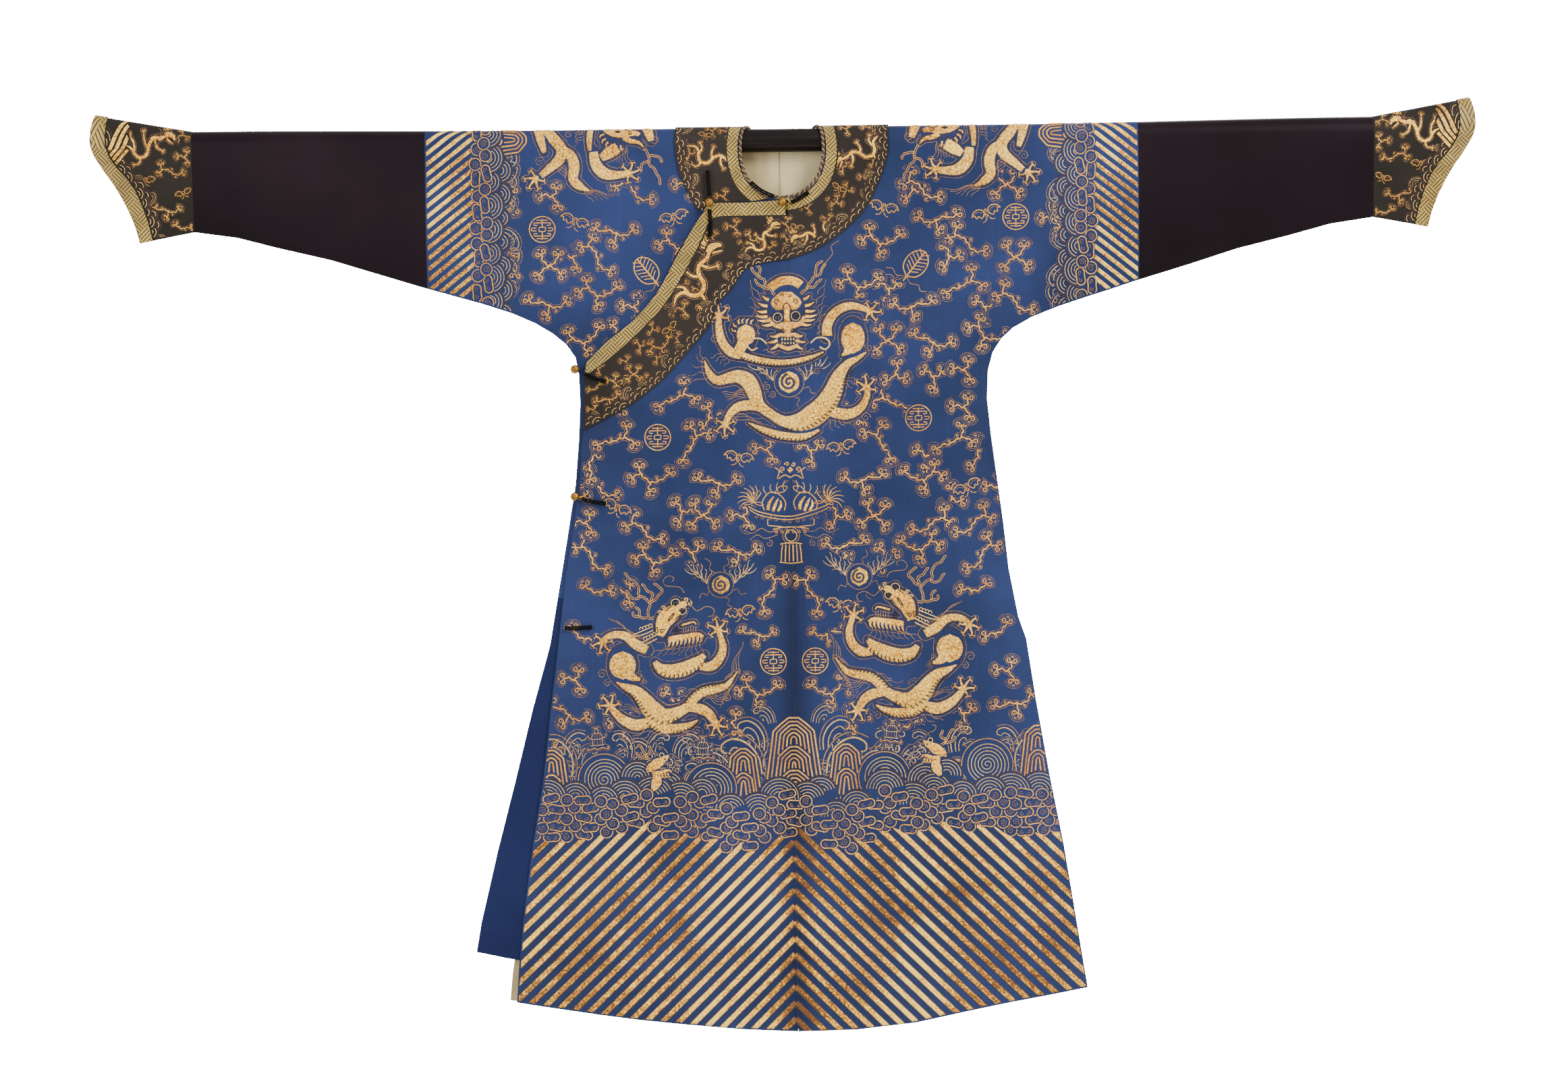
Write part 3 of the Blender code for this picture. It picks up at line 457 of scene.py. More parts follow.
def brocade():
    """Gold ground with a fret of dark lines: cells of parallel lines, turned cell by cell."""
    made, tree, shader = start("fret_brocade", Roughness=0.5, Sheen_Weight=0.1, Specular_IOR_Level=0.4)
    flat = flat_cloth(tree)
    turned = add(tree, "ShaderNodeSeparateXYZ",
                 inputs={0: stretched(tree, flat, (1, 1, 1), math.radians(45))})
    first, second = turned.outputs[0], turned.outputs[1]
    cell = 0.0180
    pitch = cell / 4
    index = [maths(tree, "FLOOR", maths(tree, "DIVIDE", value, cell)) for value in (first, second)]
    odd = maths(tree, "PINGPONG", maths(tree, "ADD", index[0], index[1]), 1.0)
    lines = [stripes_across(tree, value, pitch) for value in (first, second)]
    either = mix(tree, odd, streak_colour(tree, lines[0]), streak_colour(tree, lines[1]))
    line = ramp(tree, either, [(0.0, "000000"), (0.26, "000000"), (0.50, "ffffff")])
    slow = noise(tree, flat, 26.0, 4.0, 0.6)
    gold = ramp(tree, slow, [(0.3, "8a6c20"), (0.55, "ac8c36"), (0.75, "c8a84c")])
    tone = mix(tree, line, colour("2c220c"), gold)
    tree.links.new(tone, shader.inputs["Base Color"])
    raise_up(tree, shader, line, 0.0003, 0.6)
    return made


LINING_SEAM = -0.0055
LINING_SEAM_HALF = 0.0022


def ribbed():
    """Cream lining silk with fine ribs across and painted shade of soft folds."""
    made, tree, shader = start("lining_silk", Roughness=0.62, Sheen_Weight=0.1, Specular_IOR_Level=0.3)
    flat = flat_cloth(tree)
    across, down, _ = add(tree, "ShaderNodeSeparateXYZ", inputs={0: flat}).outputs
    waver = noise(tree, stretched(tree, flat, (30.0, 220.0, 1.0)), detail=2.0)
    rib = stripes_across(tree, maths(tree, "MULTIPLY_ADD", waver, 0.0012, down), 0.0030)
    slow = noise(tree, flat, 9.0, 4.0)
    tone = ramp(tree, slow, [(0.3, "c4b283"), (0.7, "dcccA0")])
    tone = mix(tree, rib, mix(tree, 0.5, tone, colour("a08c5c")), tone)
    # painted shade: soft streaks that darken the lining like shallow folds
    soft = ramp(tree, noise(tree, stretched(tree, flat, (26.0, 7.0, 1.0)), detail=1.0),
                [(0.38, "a89468"), (0.56, "ffffff")])
    tone = mix(tree, 0.45, tone, soft, "MULTIPLY")
    off = maths(tree, "ABSOLUTE", maths(tree, "SUBTRACT", across, LINING_SEAM))
    seam = maths(tree, "MAXIMUM", maths(tree, "MULTIPLY_ADD", off, -1 / LINING_SEAM_HALF, 1.0), 0.0)
    tone = mix(tree, maths(tree, "MULTIPLY", seam, 0.7), tone, colour("6e5a34"))
    tree.links.new(tone, shader.inputs["Base Color"])
    raise_up(tree, shader, rib, 0.0003, 0.6)
    return made


def thread(name, low, middle, high, metal, rough):
    """Couched thread: speckled tone and a fine twist."""
    made, tree, shader = start(name, Roughness=rough, Metallic=metal)
    where = add(tree, "ShaderNodeTexCoord").outputs["Object"]
    speckle = noise(tree, where, 520.0, 2.0, 0.7)
    slow = noise(tree, where, 14.0, 3.0)
    value = maths(tree, "MULTIPLY_ADD", slow, 0.4, maths(tree, "MULTIPLY_ADD", speckle, 1.2, -0.22))
    tone = ramp(tree, value, [(0.35, low), (0.58, middle), (0.80, high)])
    tree.links.new(tone, shader.inputs["Base Color"])
    raise_up(tree, shader, speckle, 0.0004, 0.6)
    return made


def cord_black():
    made, tree, shader = start("black_cord", Roughness=0.8, Specular_IOR_Level=0.1)
    where = add(tree, "ShaderNodeTexCoord").outputs["Object"]
    weave = noise(tree, where, 900.0, 2.0, 0.6)
    tree.links.new(ramp(tree, weave, [(0.35, "040304"), (0.7, "0e0b0d")]), shader.inputs["Base Color"])
    raise_up(tree, shader, weave, 0.0004, 0.7)
    return made


def brass():
    """Chased gilding, worn on the high places."""
    made, tree, shader = start("gilt_brass", Metallic=0.9)
    where = add(tree, "ShaderNodeTexCoord").outputs["Object"]
    cells = add(tree, "ShaderNodeTexVoronoi", inputs={"Vector": where,
                                                      "Scale": 420.0}).outputs["Distance"]
    worn = noise(tree, where, 260.0, 4.0, 0.6)
    tone = ramp(tree, cells, [(0.1, "3a240c"), (0.35, "7c5420"), (0.7, "b08036")])
    tone = mix(tree, maths(tree, "MULTIPLY", worn, 0.5), tone, colour("6b4a22"))
    tree.links.new(tone, shader.inputs["Base Color"])
    tree.links.new(maths(tree, "MULTIPLY_ADD", worn, 0.35, 0.2), shader.inputs["Roughness"])
    raise_up(tree, shader, cells, 0.0006, 0.8)
    return made


def lacquer():
    """Dark lacquered wood, a little worn along its length."""
    made, tree, shader = start("lacquered_rod", Specular_IOR_Level=0.12)
    where = add(tree, "ShaderNodeTexCoord").outputs["Object"]
    grain = noise(tree, stretched(tree, where, (4.0, 160.0, 160.0)), detail=4.0)
    tone = ramp(tree, grain, [(0.3, "060404"), (0.6, "120d0b"), (0.85, "3a2a20")])
    tree.links.new(tone, shader.inputs["Base Color"])
    tree.links.new(maths(tree, "MULTIPLY_ADD", grain, 0.3, 0.35), shader.inputs["Roughness"])
    raise_up(tree, shader, grain, 0.0002, 0.3)
    return made


def run_maps(tree):
    """Distance along a band and across it, in metres."""
    both = add(tree, "ShaderNodeSeparateXYZ",
               inputs={0: add(tree, "ShaderNodeUVMap", uv_map="run").outputs[0]})
    return both.outputs[0], both.outputs[1]


def run_streaks(tree, along_scale, across_scale):
    source = add(tree, "ShaderNodeUVMap", uv_map="run").outputs[0]
    return noise(tree, stretched(tree, source, (along_scale, across_scale, 1.0)), detail=2.0, rough=0.6)


def satin(name, low, middle, high, along_scale, across_scale, worn=0.0):
    """Laid silk or gold: streaks along the stitches, worn darker in patches, with painted shade in the centre
    crease.
    """
    made, tree, shader = start(name, Roughness=0.5, Specular_IOR_Level=0.3)
    where = add(tree, "ShaderNodeTexCoord").outputs["Object"]
    streak = run_streaks(tree, along_scale, across_scale)
    slow = noise(tree, where, 22.0, 3.0)
    value = maths(tree, "MULTIPLY_ADD", slow, 0.6, maths(tree, "MULTIPLY", streak, 0.6))
    speck = noise(tree, where, 300.0, 2.0, 0.7)
    value = maths(tree, "ADD", value, maths(tree, "MULTIPLY_ADD", speck, 1.3, -0.65))
    patches = maths(tree, "MULTIPLY_ADD", noise(tree, where, 7.0, 3.0), 1.6, -0.8)
    # worn darkens random patches, which is wear, and the centre crease, which is painted shade
    centre = maths(tree, "MULTIPLY_ADD", painted_crease_shade(tree, where), -0.5, patches)
    value = maths(tree, "MULTIPLY_ADD", centre, worn, value)
    tree.links.new(ramp(tree, value, [(0.34, low), (0.58, middle), (0.78, high)]),
                   shader.inputs["Base Color"])
    raise_up(tree, shader, streak, 0.0004, 0.6)
    return made


def scaled(name):
    """Gold scales in staggered rows, edged with dark thread, with fine flecks that are partly painted glints.
    """
    made, tree, shader = start(name, Roughness=0.5, Specular_IOR_Level=0.3)
    along_it, across_it = run_maps(tree)
    size = 0.0062
    a, b = maths(tree, "DIVIDE", along_it, size), maths(tree, "DIVIDE", across_it, size)
    bow = maths(tree, "MULTIPLY", b, maths(tree, "MULTIPLY", b, 0.05))
    a = maths(tree, "ADD", a, bow)
    odd = maths(tree, "MODULO", maths(tree, "FLOOR", a), 2.0)
    e = maths(tree, "SUBTRACT", maths(tree, "FRACT", maths(tree, "MULTIPLY_ADD", odd, 0.5, b)), 0.5)
    up = maths(tree, "FRACT", a)
    edge = maths(tree, "ADD", up, maths(tree, "MULTIPLY", maths(tree, "MULTIPLY", e, e), 2.6))
    rim = maths(tree, "ABSOLUTE", maths(tree, "SUBTRACT", edge, 0.85))
    line = ramp(tree, rim, [(0.04, "000000"), (0.17, "ffffff")])
    where = add(tree, "ShaderNodeTexCoord").outputs["Object"]
    speck = noise(tree, where, 300.0, 2.0, 0.7)
    slow = noise(tree, where, 16.0, 2.0)
    # painted glints: fine bright flecks, with dark ones for the thread's changing tone
    glint_and_tone_fleck = noise(tree, where, 900.0, 1.0, 0.5)
    value = maths(tree, "ADD", maths(tree, "MULTIPLY_ADD", speck, 1.4, -0.45),
                  maths(tree, "MULTIPLY", slow, 0.4))
    value = maths(tree, "ADD", value, maths(tree, "MULTIPLY_ADD", glint_and_tone_fleck, 1.0, -0.5))
    tone = ramp(tree, value, [(0.20, "8c5610"), (0.42, "e8a428"), (0.66, "ffdc6e")])
    tree.links.new(mix(tree, line, mix(tree, 0.55, tone, colour("6e4818")), tone),
                   shader.inputs["Base Color"])
    raise_up(tree, shader, line, 0.0004, 0.6)
    return made


def glass_eye():
    made, _, shader = start("black_eye", Roughness=0.15)
    shader.inputs["Base Color"].default_value = colour("100c0c")
    return made


FINISH = {
    # blue silk: its last number sets the painted shade in the centre crease
    "blue": silk("blue_silk", "222c4e", "2a3662", "19223e", 0.03, 0.55, 0.5),
    "deep_blue": silk("deep_blue_silk", "141b3e", "1a2348", "0f1532", 0.0, 0.6),
    "dark": silk("dark_silk", "140a10", "1c1016", "0c0609", 0.03, 0.42),
    "facing": silk("facing_silk", "2a2420", "352d27", "201b17", 0.03, 0.6),
    "cuff": silk("cuff_silk", "241f1a", "2d2721", "1a1613", 0.03, 0.6),
    "brocade": brocade(),
    "lining": ribbed(),
    "gold": thread("gold_thread", "945a10", "dc942a", "ffd264", 0.0, 0.5),
    "bronze": thread("bronze_gold_thread", "845020", "bc7c30", "e4a850", 0.0, 0.5),
    "shade": thread("rose_brown_thread", "4a3020", "8a6244", "b88a60", 0.0, 0.6),
    "umber": thread("umber_thread", "22140e", "3c271a", "5c3f2a", 0.1, 0.6),
    "pale": thread("pale_thread", "b88c40", "ecc070", "ffe8a8", 0.0, 0.5),
    "ink": thread("dark_brown_thread", "1c120e", "33231a", "4a3426", 0.0, 0.6),
    "crest": thread("crest_thread", "7c5830", "c09858", "ecca88", 0.05, 0.5),
    "navy": thread("navy_thread", "0c1430", "141e44", "1e2c5c", 0.0, 0.5),
    "padded": satin("padded_gold", "885210", "e29c24", "ffd460", 1100.0, 200.0),
    "amber": satin("amber_gold", "8e5416", "d08e30", "f2bc58", 1100.0, 200.0),
    # laid gold: its last number sets random worn patches and the painted shade in the centre crease
    "stripe": satin("laid_gold", "5e380c", "c0801a", "ffd058", 18.0, 900.0, 0.70),
    "scales": scaled("scaled_gold"),
    "eyeball": glass_eye(),
    "seam": thread("seam_thread", "0e1226", "161c36", "202848", 0.0, 0.6),
    "braid": thread("beige_ply", "5c4830", "84694a", "ac9068", 0.0, 0.6),
    "cord": cord_black(),
    "brass": brass(),
    "lacquer": lacquer(),
}


# ---------------------------------------------------------------- cloth
def keep(item, *replaced, slot=None):
    """Rides a piece on the body, in place of the CAD nodes it stands for."""
    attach(item, BODY)
    if replaced:
        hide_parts(*replaced)
    return item


def new_piece(name, mesh):
    item = bpy.data.objects.new(name, mesh)
    bpy.context.scene.collection.objects.link(item)
    return item


def finer(rows, tall, wide, fold_rows=False):
    """The same flat piece with no cell longer than tall or wide, and small cells over the fold."""
    grid = np.array(rows, float)
    for axis, step in ((0, tall), (1, wide)):
        moved = np.moveaxis(grid, axis, 0)
        gaps = np.linalg.norm(np.diff(moved, axis=0), axis=-1).max(axis=1)
        parts = [moved[:1]]
        for i, gap in enumerate(gaps):
            count = max(1, math.ceil(gap / step - 1e-6))
            if axis == 0 and fold_rows and np.abs(moved[i:i + 2, :, 1]).max() < QUARTER + 1e-9:
                count = max(count, 3)
            share = np.linspace(0, 1, count + 1)[1:, None, None]
            parts.append(moved[i] * (1 - share) + moved[i + 1] * share)
        grid = np.moveaxis(np.concatenate(parts), 0, axis)
    return grid


def flat_area(grid):
    """Area of a flat grid."""
    across_x, across_q = np.diff(grid, axis=1)[:-1, :, 0], np.diff(grid, axis=1)[:-1, :, 1]
    down_x, down_q = np.diff(grid, axis=0)[:, :-1, 0], np.diff(grid, axis=0)[:, :-1, 1]
    return float(np.abs(across_x * down_q - across_q * down_x).sum())


def cloth(name, grid, face, under=None, out=0.0, wall=WALL, drop=None):
    """A closed wall of cloth through a grid of flat spots, with a finish for each face."""
    x, q = grid[..., 0], grid[..., 1]
    lower = drop(x, q) if drop else 0.0
    outer, inner = place(x, q, out - lower), place(x, q, out - wall - lower)
    tall, wide = x.shape
    ids = np.arange(tall * wide).reshape(tall, wide)
    quads = np.stack([ids[:-1, :-1], ids[:-1, 1:], ids[1:, 1:], ids[1:, :-1]], axis=-1).reshape(-1, 4)
    rim = np.concatenate([ids[0, :-1], ids[:-1, -1], ids[-1, :0:-1], ids[:0:-1, 0]])
    after = np.roll(rim, -1)
    count = tall * wide
    edges = np.stack([after, rim, rim + count, after + count], axis=-1)
    faces = np.concatenate([quads, quads[:, ::-1] + count, edges])
    middle = (tall // 2, wide // 2)
    span_x = outer[middle[0], middle[1] + (1 if wide > 2 else 0) - (0 if wide > 2 else 1)] - outer[middle]
    if wide == 2:
        span_x = -span_x
    span_q = outer[middle[0] + 1, middle[1]] - outer[middle]
    if np.dot(np.cross(span_x, span_q), outer[middle] - inner[middle]) < 0:
        faces = faces[:, ::-1]
    mesh = bpy.data.meshes.new(name)
    mesh.from_pydata(np.concatenate([outer, inner]).reshape(-1, 3).tolist(), [], faces.tolist())
    spots = np.concatenate([grid.reshape(-1, 2)] * 2)
    layer = mesh.uv_layers.new(name="flat")
    layer.data.foreach_set("uv", spots[faces.reshape(-1)].astype(np.float32).reshape(-1))
    for kind in (face, under or face):
        mesh.materials.append(FINISH[kind])
    kinds = np.zeros(len(faces), np.int32)
    kinds[len(quads):2 * len(quads)] = 1
    mesh.polygons.foreach_set("material_index", kinds)
    mesh.shade_smooth()
    mesh.set_sharp_from_angle(angle=math.radians(50))
    mesh.update()
    return new_piece(name, mesh)


def hung(item, grid, node, slot, strip=False):
    """Rides a piece of cloth on the body in place of its CAD node, and works out the size it was cut to,
    which is not kept.
    """
    keep(item, node, slot=slot)
    area = flat_area(grid)
    if strip:
        length = float(np.median(np.linalg.norm(np.diff(grid, axis=0), axis=-1).sum(axis=0)))
        width = area / length
    else:
        spans = grid.reshape(-1, 2).max(axis=0) - grid.reshape(-1, 2).min(axis=0)
        width, length = float(spans[0]), float(spans[1])


RIDGE_ROWS = np.linspace(-QUARTER, QUARTER, 2 * ROWS_PER_FOLD + 1)
CHEST_ROWS = [-0.025, -0.045, -0.060, -0.072, -0.081, -0.0875, -0.0915, -0.0935, -0.0945, -0.130, -0.180]
BACK_CHEST_ROWS = [-0.0045, -0.0110, -0.080, -0.150]
COLUMNS = np.array([0.0, 0.20, 0.40, 0.57, 0.71, 0.82, 0.90, 0.96, 1.0])
CELL = 0.0100
LINING_CELL = 0.0160


def body_rows(side, row_edge, chest, hem_in, hem_out, lower_front):
    """Rows of half of the front or back below the shoulder, from the chest to the hem."""
    seam = SEAM_LEFT if side > 0 else SEAM_RIGHT
    rows = [(z, seam - SEAM_GAP) for z in chest]
    rows += [(edge.z, edge.x - (SEAM_GAP if edge.z == SIDE[0].z else 0)) for edge in row_edge]
    sign = 1 if lower_front else -1
    spots = []
    for z, outer in rows:
        q = QUARTER - z
        if lower_front:
            inner = max(neck(q, NECK_EDGE) + side * NECK_SHIFT, side * CENTRE_SEAM + SEAM_GAP / 2)
        else:
            inner = max(neck(-q, NECK_EDGE) + side * NECK_SHIFT, SEAM_GAP / 2)
        spots.append(np.stack([side * blend(inner, outer, COLUMNS), np.full(len(COLUMNS), sign * q)],
                              axis=-1))
    x = side * blend(spots[-1][0][0] * side, abs(hem_out.x), COLUMNS)
    spots.append(np.stack([x, (QUARTER - read(hem_in, "x", "z", x)) * sign], axis=-1))
    return spots


def body_grid(side):
    """One body length: front, shoulder and back in one piece, with the blue upper sleeve."""
    seam = SEAM_LEFT if side > 0 else SEAM_RIGHT
    back_edge = [Line(row.left if side > 0 else row.right, row.z) for row in SIDE]
    if side > 0:
        front_rows = body_rows(1, back_edge, CHEST_ROWS, HEM, HEM_CORNER_LEFT, True)
    else:
        front_edge = [line for line in back_edge if line.z >= SLIT_TOP]
        front_edge += [Line(-line.x, line.z) for line in UNDERLAP_SIDE]
        front_rows = body_rows(-1, front_edge, CHEST_ROWS, UNDERLAP_HEM, UNDERLAP_HEM[0], True)
    corner = HEM_CORNER_LEFT if side > 0 else HEM_CORNER_RIGHT
    back_rows = body_rows(side, back_edge, BACK_CHEST_ROWS, HEM, corner, False)
    over = []
    for q in RIDGE_ROWS:
        inner = neck(q, NECK_EDGE) + side * NECK_SHIFT
        over.append(np.stack([side * blend(inner, seam - SEAM_GAP, COLUMNS), np.full(len(COLUMNS), q)],
                             axis=-1))
    return finer(back_rows[::-1] + over + front_rows, CELL, CELL)


def overlap_grid():
    """Front overlap, from the brocade edge at the neck to the hem."""
    inner = CENTRE_SEAM - SEAM_GAP / 2
    x = blend(inner, OVERLAP_TOP[0].x, COLUMNS)
    rows = [front(x, read(OVERLAP_TOP, "x", "z", x))]
    for line in OVERLAP_SIDE[1:]:
        rows.append(front(blend(inner, line.x, COLUMNS), np.full(len(COLUMNS), line.z)))
    x = blend(inner, OVERLAP_CORNER.x, COLUMNS)
    rows.append(front(x, read(HEM, "x", "z", x)))
    return finer(rows, CELL, CELL)


def tube_grid(side, steps_down):
    """Rows along a sleeve, from the seam below on the back, over the fold, to the front."""
    seam = SEAM_LEFT if side > 0 else SEAM_RIGHT
    x = side * np.array([seam] + [row.x for row in SLEEVE_EDGE[1:]])
    foot = np.array([row.z for row in SLEEVE_EDGE])
    shares = np.linspace(1, 0, steps_down, endpoint=False)
    rows = [back(x, foot * share) for share in shares]
    rows += [np.stack([x, np.full(len(x), q)], axis=-1) for q in RIDGE_ROWS]
    rows += [front(x, foot * share) for share in shares[::-1]]
    return finer(rows, CELL, CELL)


def cuff_spots(side, edge):
    """Column of a cuff: its seam, the binding's inner edge ('band') or its mouth."""
    top, foot = ridge(CUFF_SEAM), SLEEVE_EDGE[-1].z
    shares = column(CUFF, "share")
    if edge == "seam":
        x, z = np.full(len(CUFF), CUFF_SEAM + SEAM_GAP), blend(top, foot, shares)
    else:
        x, z = column(CUFF, edge + "_x"), column(CUFF, edge + "_z")
    down = front(side * x, z)
    down[0] = (side * x[0], 0.0)
    return np.concatenate([down[:0:-1] * [1, -1], down])


def cuff_grids(side):
    """Horseshoe cuff and the brocade binding laid over its mouth."""
    seam, band, mouth = (cuff_spots(side, edge) for edge in ("seam", "band", "mouth"))
    share = np.linspace(0, 1, 4)[:, None]
    rows = [np.concatenate([start + (middle - start) * share, [end]])
            for start, middle, end in zip(seam, band, mouth)]
    rows = np.array(rows)
    return finer(rows, 0.004, CELL * 0.8), finer(rows[:, 3:], 0.004, 0.006)


UNDERLAP_SHOWS = Spot(-0.295, 0.740)
LAP_STATIONS = 72
NECK_STEPS = 44


def band_foot():
    """Lower edge of the overlap's brocade band."""
    line = np.array(BAND_LOWER)
    return resample(front(line[:, 0], line[:, 1]), LAP_STATIONS)


def strip(first, second, columns):
    """Rows across the strip between two lines of as many spots."""
    share = np.linspace(0, 1, columns + 1)[:, None]
    return np.array([a + (b - a) * share for a, b in zip(np.array(first), np.array(second))])


def ring_line(side, out, middle, stop):
    line = neck_run(side, out, middle, -QUARTER, 8)[:-1]
    line[0] = (side * SEAM_GAP, line[0][1])
    over = np.stack([NECK_SHIFT + side * neck(RIDGE_ROWS, out), RIDGE_ROWS], axis=-1)
    down = neck_run(side, out, QUARTER, 1.0 if side > 0 else stop, NECK_STEPS)[1:]
    line = np.concatenate([line, over, down])
    if side > 0:
        line[-1][0] = CENTRE_SEAM + SEAM_GAP
    return line


def facing_grid(side, ring, down):
    """Dark facing beside the neck, on one body length."""
    inner = ring + [side * SEAM_GAP, 0]
    round_back = np.array(FACING_BACK) * [side, 1]
    start_count = 8
    outer = along(round_back, 0.9 * np.linspace(0, 1, start_count, endpoint=False))
    outer[0][0] += side * 0.0018
    x_over = np.where(RIDGE_ROWS <= 0,
                      np.interp(RIDGE_ROWS, round_back[:, 1], round_back[:, 0]),
                      np.interp(RIDGE_ROWS, np.array(down)[:, 1], np.array(down)[:, 0]))
    over = np.stack([x_over, RIDGE_ROWS], axis=-1)
    rest = len(inner) - start_count - len(over)
    lower = [[np.interp(QUARTER, np.array(down)[:, 1], np.array(down)[:, 0]), QUARTER]]
    lower += [list(spot) for spot in down if spot.q > QUARTER + 0.003]
    outer = np.concatenate([outer, over, resample(lower, rest)[1:]])
    if side > 0:
        outer[-1][0] = CENTRE_SEAM + SEAM_GAP
    rows = strip(inner, outer, 12)
    if side < 0:
        near_end = smoothstep(len(rows) - 1 - 3 * NECK_STEPS / 10, len(rows) - 1, np.arange(len(rows)))
        share = np.linspace(0, 1, rows.shape[1])
        rows[..., 1] -= 0.004 * near_end[:, None] * 4 * share * (1 - share)
    return rows


LINING_SLEEVE = 0.5000   # half width above the sleeve seam
LINING_CHEST = 0.3300    # half width above the slits
LINING_INSET = 0.048     # in from the side seam
LINING_VENT_INSET = 0.0030
LINING_VENT = (-0.745, -0.90)
LINING_COLUMNS = 13
LINING_FLARE = 1.01      # last row, against the one above
LINING_HEM_LIFT = 0.004
LINING_ROWS = [-0.0060, -0.030, -0.070, -0.150, -0.220, -0.300, -0.360, -0.460, -0.600, -0.745,
               -0.880, -1.000, -1.100, -1.210, -1.290]


def lining_grid():
    """Lining of the back, from just under the rod to the hem."""
    rows = []
    for z in LINING_ROWS:
        reach = []
        for name in ("right", "left"):
            width = read(SIDE, "z", name, z) if z < SIDE[0].z else LINING_SLEEVE
            width = min(width, LINING_CHEST if z > SLIT_TOP else 1.0)
            reach.append(width - blend(LINING_INSET, LINING_VENT_INSET, smoothstep(*LINING_VENT, z)))
        x = blend(-reach[0], reach[1], np.linspace(0, 1, LINING_COLUMNS))
        rows.append(back(x, np.full(LINING_COLUMNS, z)))
    x = rows[-1][:, 0] * LINING_FLARE
    rows.append(back(x, read(HEM, "x", "z", x) + LINING_HEM_LIFT))
    return finer(rows, LINING_CELL, LINING_CELL)


def deepen_underlap(piece, grid):
    """The front that the overlap covers keeps a deeper blue where it shows at the vent."""
    middle = (grid[:-1, :-1] + grid[1:, 1:]) / 2
    chosen = np.flatnonzero((middle[..., 0] < UNDERLAP_SHOWS.x) & (middle[..., 1] > UNDERLAP_SHOWS.q))
    piece.data.materials.append(FINISH["deep_blue"])
    for index in chosen:
        piece.data.polygons[int(index)].material_index = 2


def make_cloth():
    """All pieces of cloth, each on the place of its CAD node."""
    for side, word in ((1, "left"), (-1, "right")):
        drop = lap if side < 0 else None
        grid = body_grid(side)
        piece = cloth("robe_body_" + word, grid, "blue", "lining", drop=drop)
        if side < 0:
            deepen_underlap(piece, grid)
        hung(piece, grid, "body_" + word, "blue_silk")
        grid = tube_grid(side, 4)
        piece = cloth("plain_sleeve_" + word, grid, "dark", "lining", drop=drop)
        hung(piece, grid, "sleeve_" + word, "dark_silk")
        cuff, band = cuff_grids(side)
        piece = cloth("horseshoe_cuff_" + word, cuff, "cuff", "lining")
        hung(piece, cuff, "cuff_" + word, "facing_silk")
        piece = cloth("cuff_binding_" + word, band, "brocade", out=SEAM_GAP + WALL)
        hung(piece, band, "cuff_band_" + word, "fret_brocade", strip=True)
    grid = overlap_grid()
    hung(cloth("robe_overlap", grid, "blue", "lining"), grid, "front_overlap", "blue_silk")
    lift = ON_PANEL + WALL
    for side, word, down in ((1, "left", FACING_LEFT), (-1, "right", FACING_RIGHT)):
        drop = lap if side < 0 else None
        inner = ring_line(side, RING_IN, RING_BACK_IN, RING_STOP_IN)
        outer = ring_line(side, RING_OUT, RING_BACK_OUT, RING_STOP_OUT)
        grid = strip(inner, outer, 3)
        piece = cloth("neck_ring_" + word, grid, "brocade", out=lift, drop=drop)
        hung(piece, grid, "neck_band_" + word, "fret_brocade", strip=True)
        grid = facing_grid(side, outer, down)
        piece = cloth("neck_facing_" + word, grid, "facing", out=lift, drop=drop)
        hung(piece, grid, "facing_" + word, "facing_silk", strip=True)
    top = band_foot() + SEAM_GAP
    top[0][0] -= SEAM_GAP
    foot = np.array(FACING_LOWER)
    grid = strip(top, resample(front(foot[:, 0], foot[:, 1]), LAP_STATIONS), 12)
    hung(cloth("overlap_facing", grid, "facing", out=lift), grid, "facing_overlap", "facing_silk",
         strip=True)
    inset = 0.0004
    edge = [Line(row.x, row.z - inset) for row in OVERLAP_TOP[::-1]]
    edge += [Line(row.x + inset, row.z) for row in OVERLAP_SIDE[:9]]
    edge[0] = Line(CENTRE_SEAM - SEAM_GAP, edge[0].z)
    edge = np.array(edge)
    grid = strip(resample(front(edge[:, 0], edge[:, 1]), LAP_STATIONS), band_foot(), 3)
    hung(cloth("overlap_edging", grid, "brocade", out=lift), grid, "overlap_band", "fret_brocade",
         strip=True)
    grid = lining_grid()
    hung(cloth("lining_back", grid, "lining", out=-WALL - LINING_ROOM, wall=LINING_WALL), grid,
         "back_lining", "lining_silk")


# ---------------------------------------------------------------- grounds and threads
Stitch = namedtuple("Stitch", "kind points half")
SATIN = ("scales", "padded", "amber", "stripe", "eyeball")
SPACING = 0.0030         # between points along a thread
FINE_LINE_STEP = 1.35    # thin lines take fewer points
PIECE_SPOTS = 27000
SATIN_ACROSS = np.array([-1.0, -0.86, -0.45, 0.0, 0.45, 0.86, 1.0])
SATIN_LIFT = {"scales": 0.0013, "padded": 0.0014, "amber": 0.0013, "stripe": 0.0007, "eyeball": 0.0014}
BASE = {"eyeball": 0.0010, "ink": 0.0013, "navy": 0.0013, "pale": 0.0010}     # what is sewn over padding


def inside(shape, x, z):
    """Which points lie inside a closed shape."""
    shape = np.array(shape, float)
    within = np.zeros(np.shape(x), bool)
    for (ax, az), (bx, bz) in zip(shape, np.roll(shape, -1, axis=0)):
        if az == bz:
            continue
        crosses = (az > z) != (bz > z)
        within ^= crosses & (x < ax + (z - az) * (bx - ax) / (bz - az))
    return within


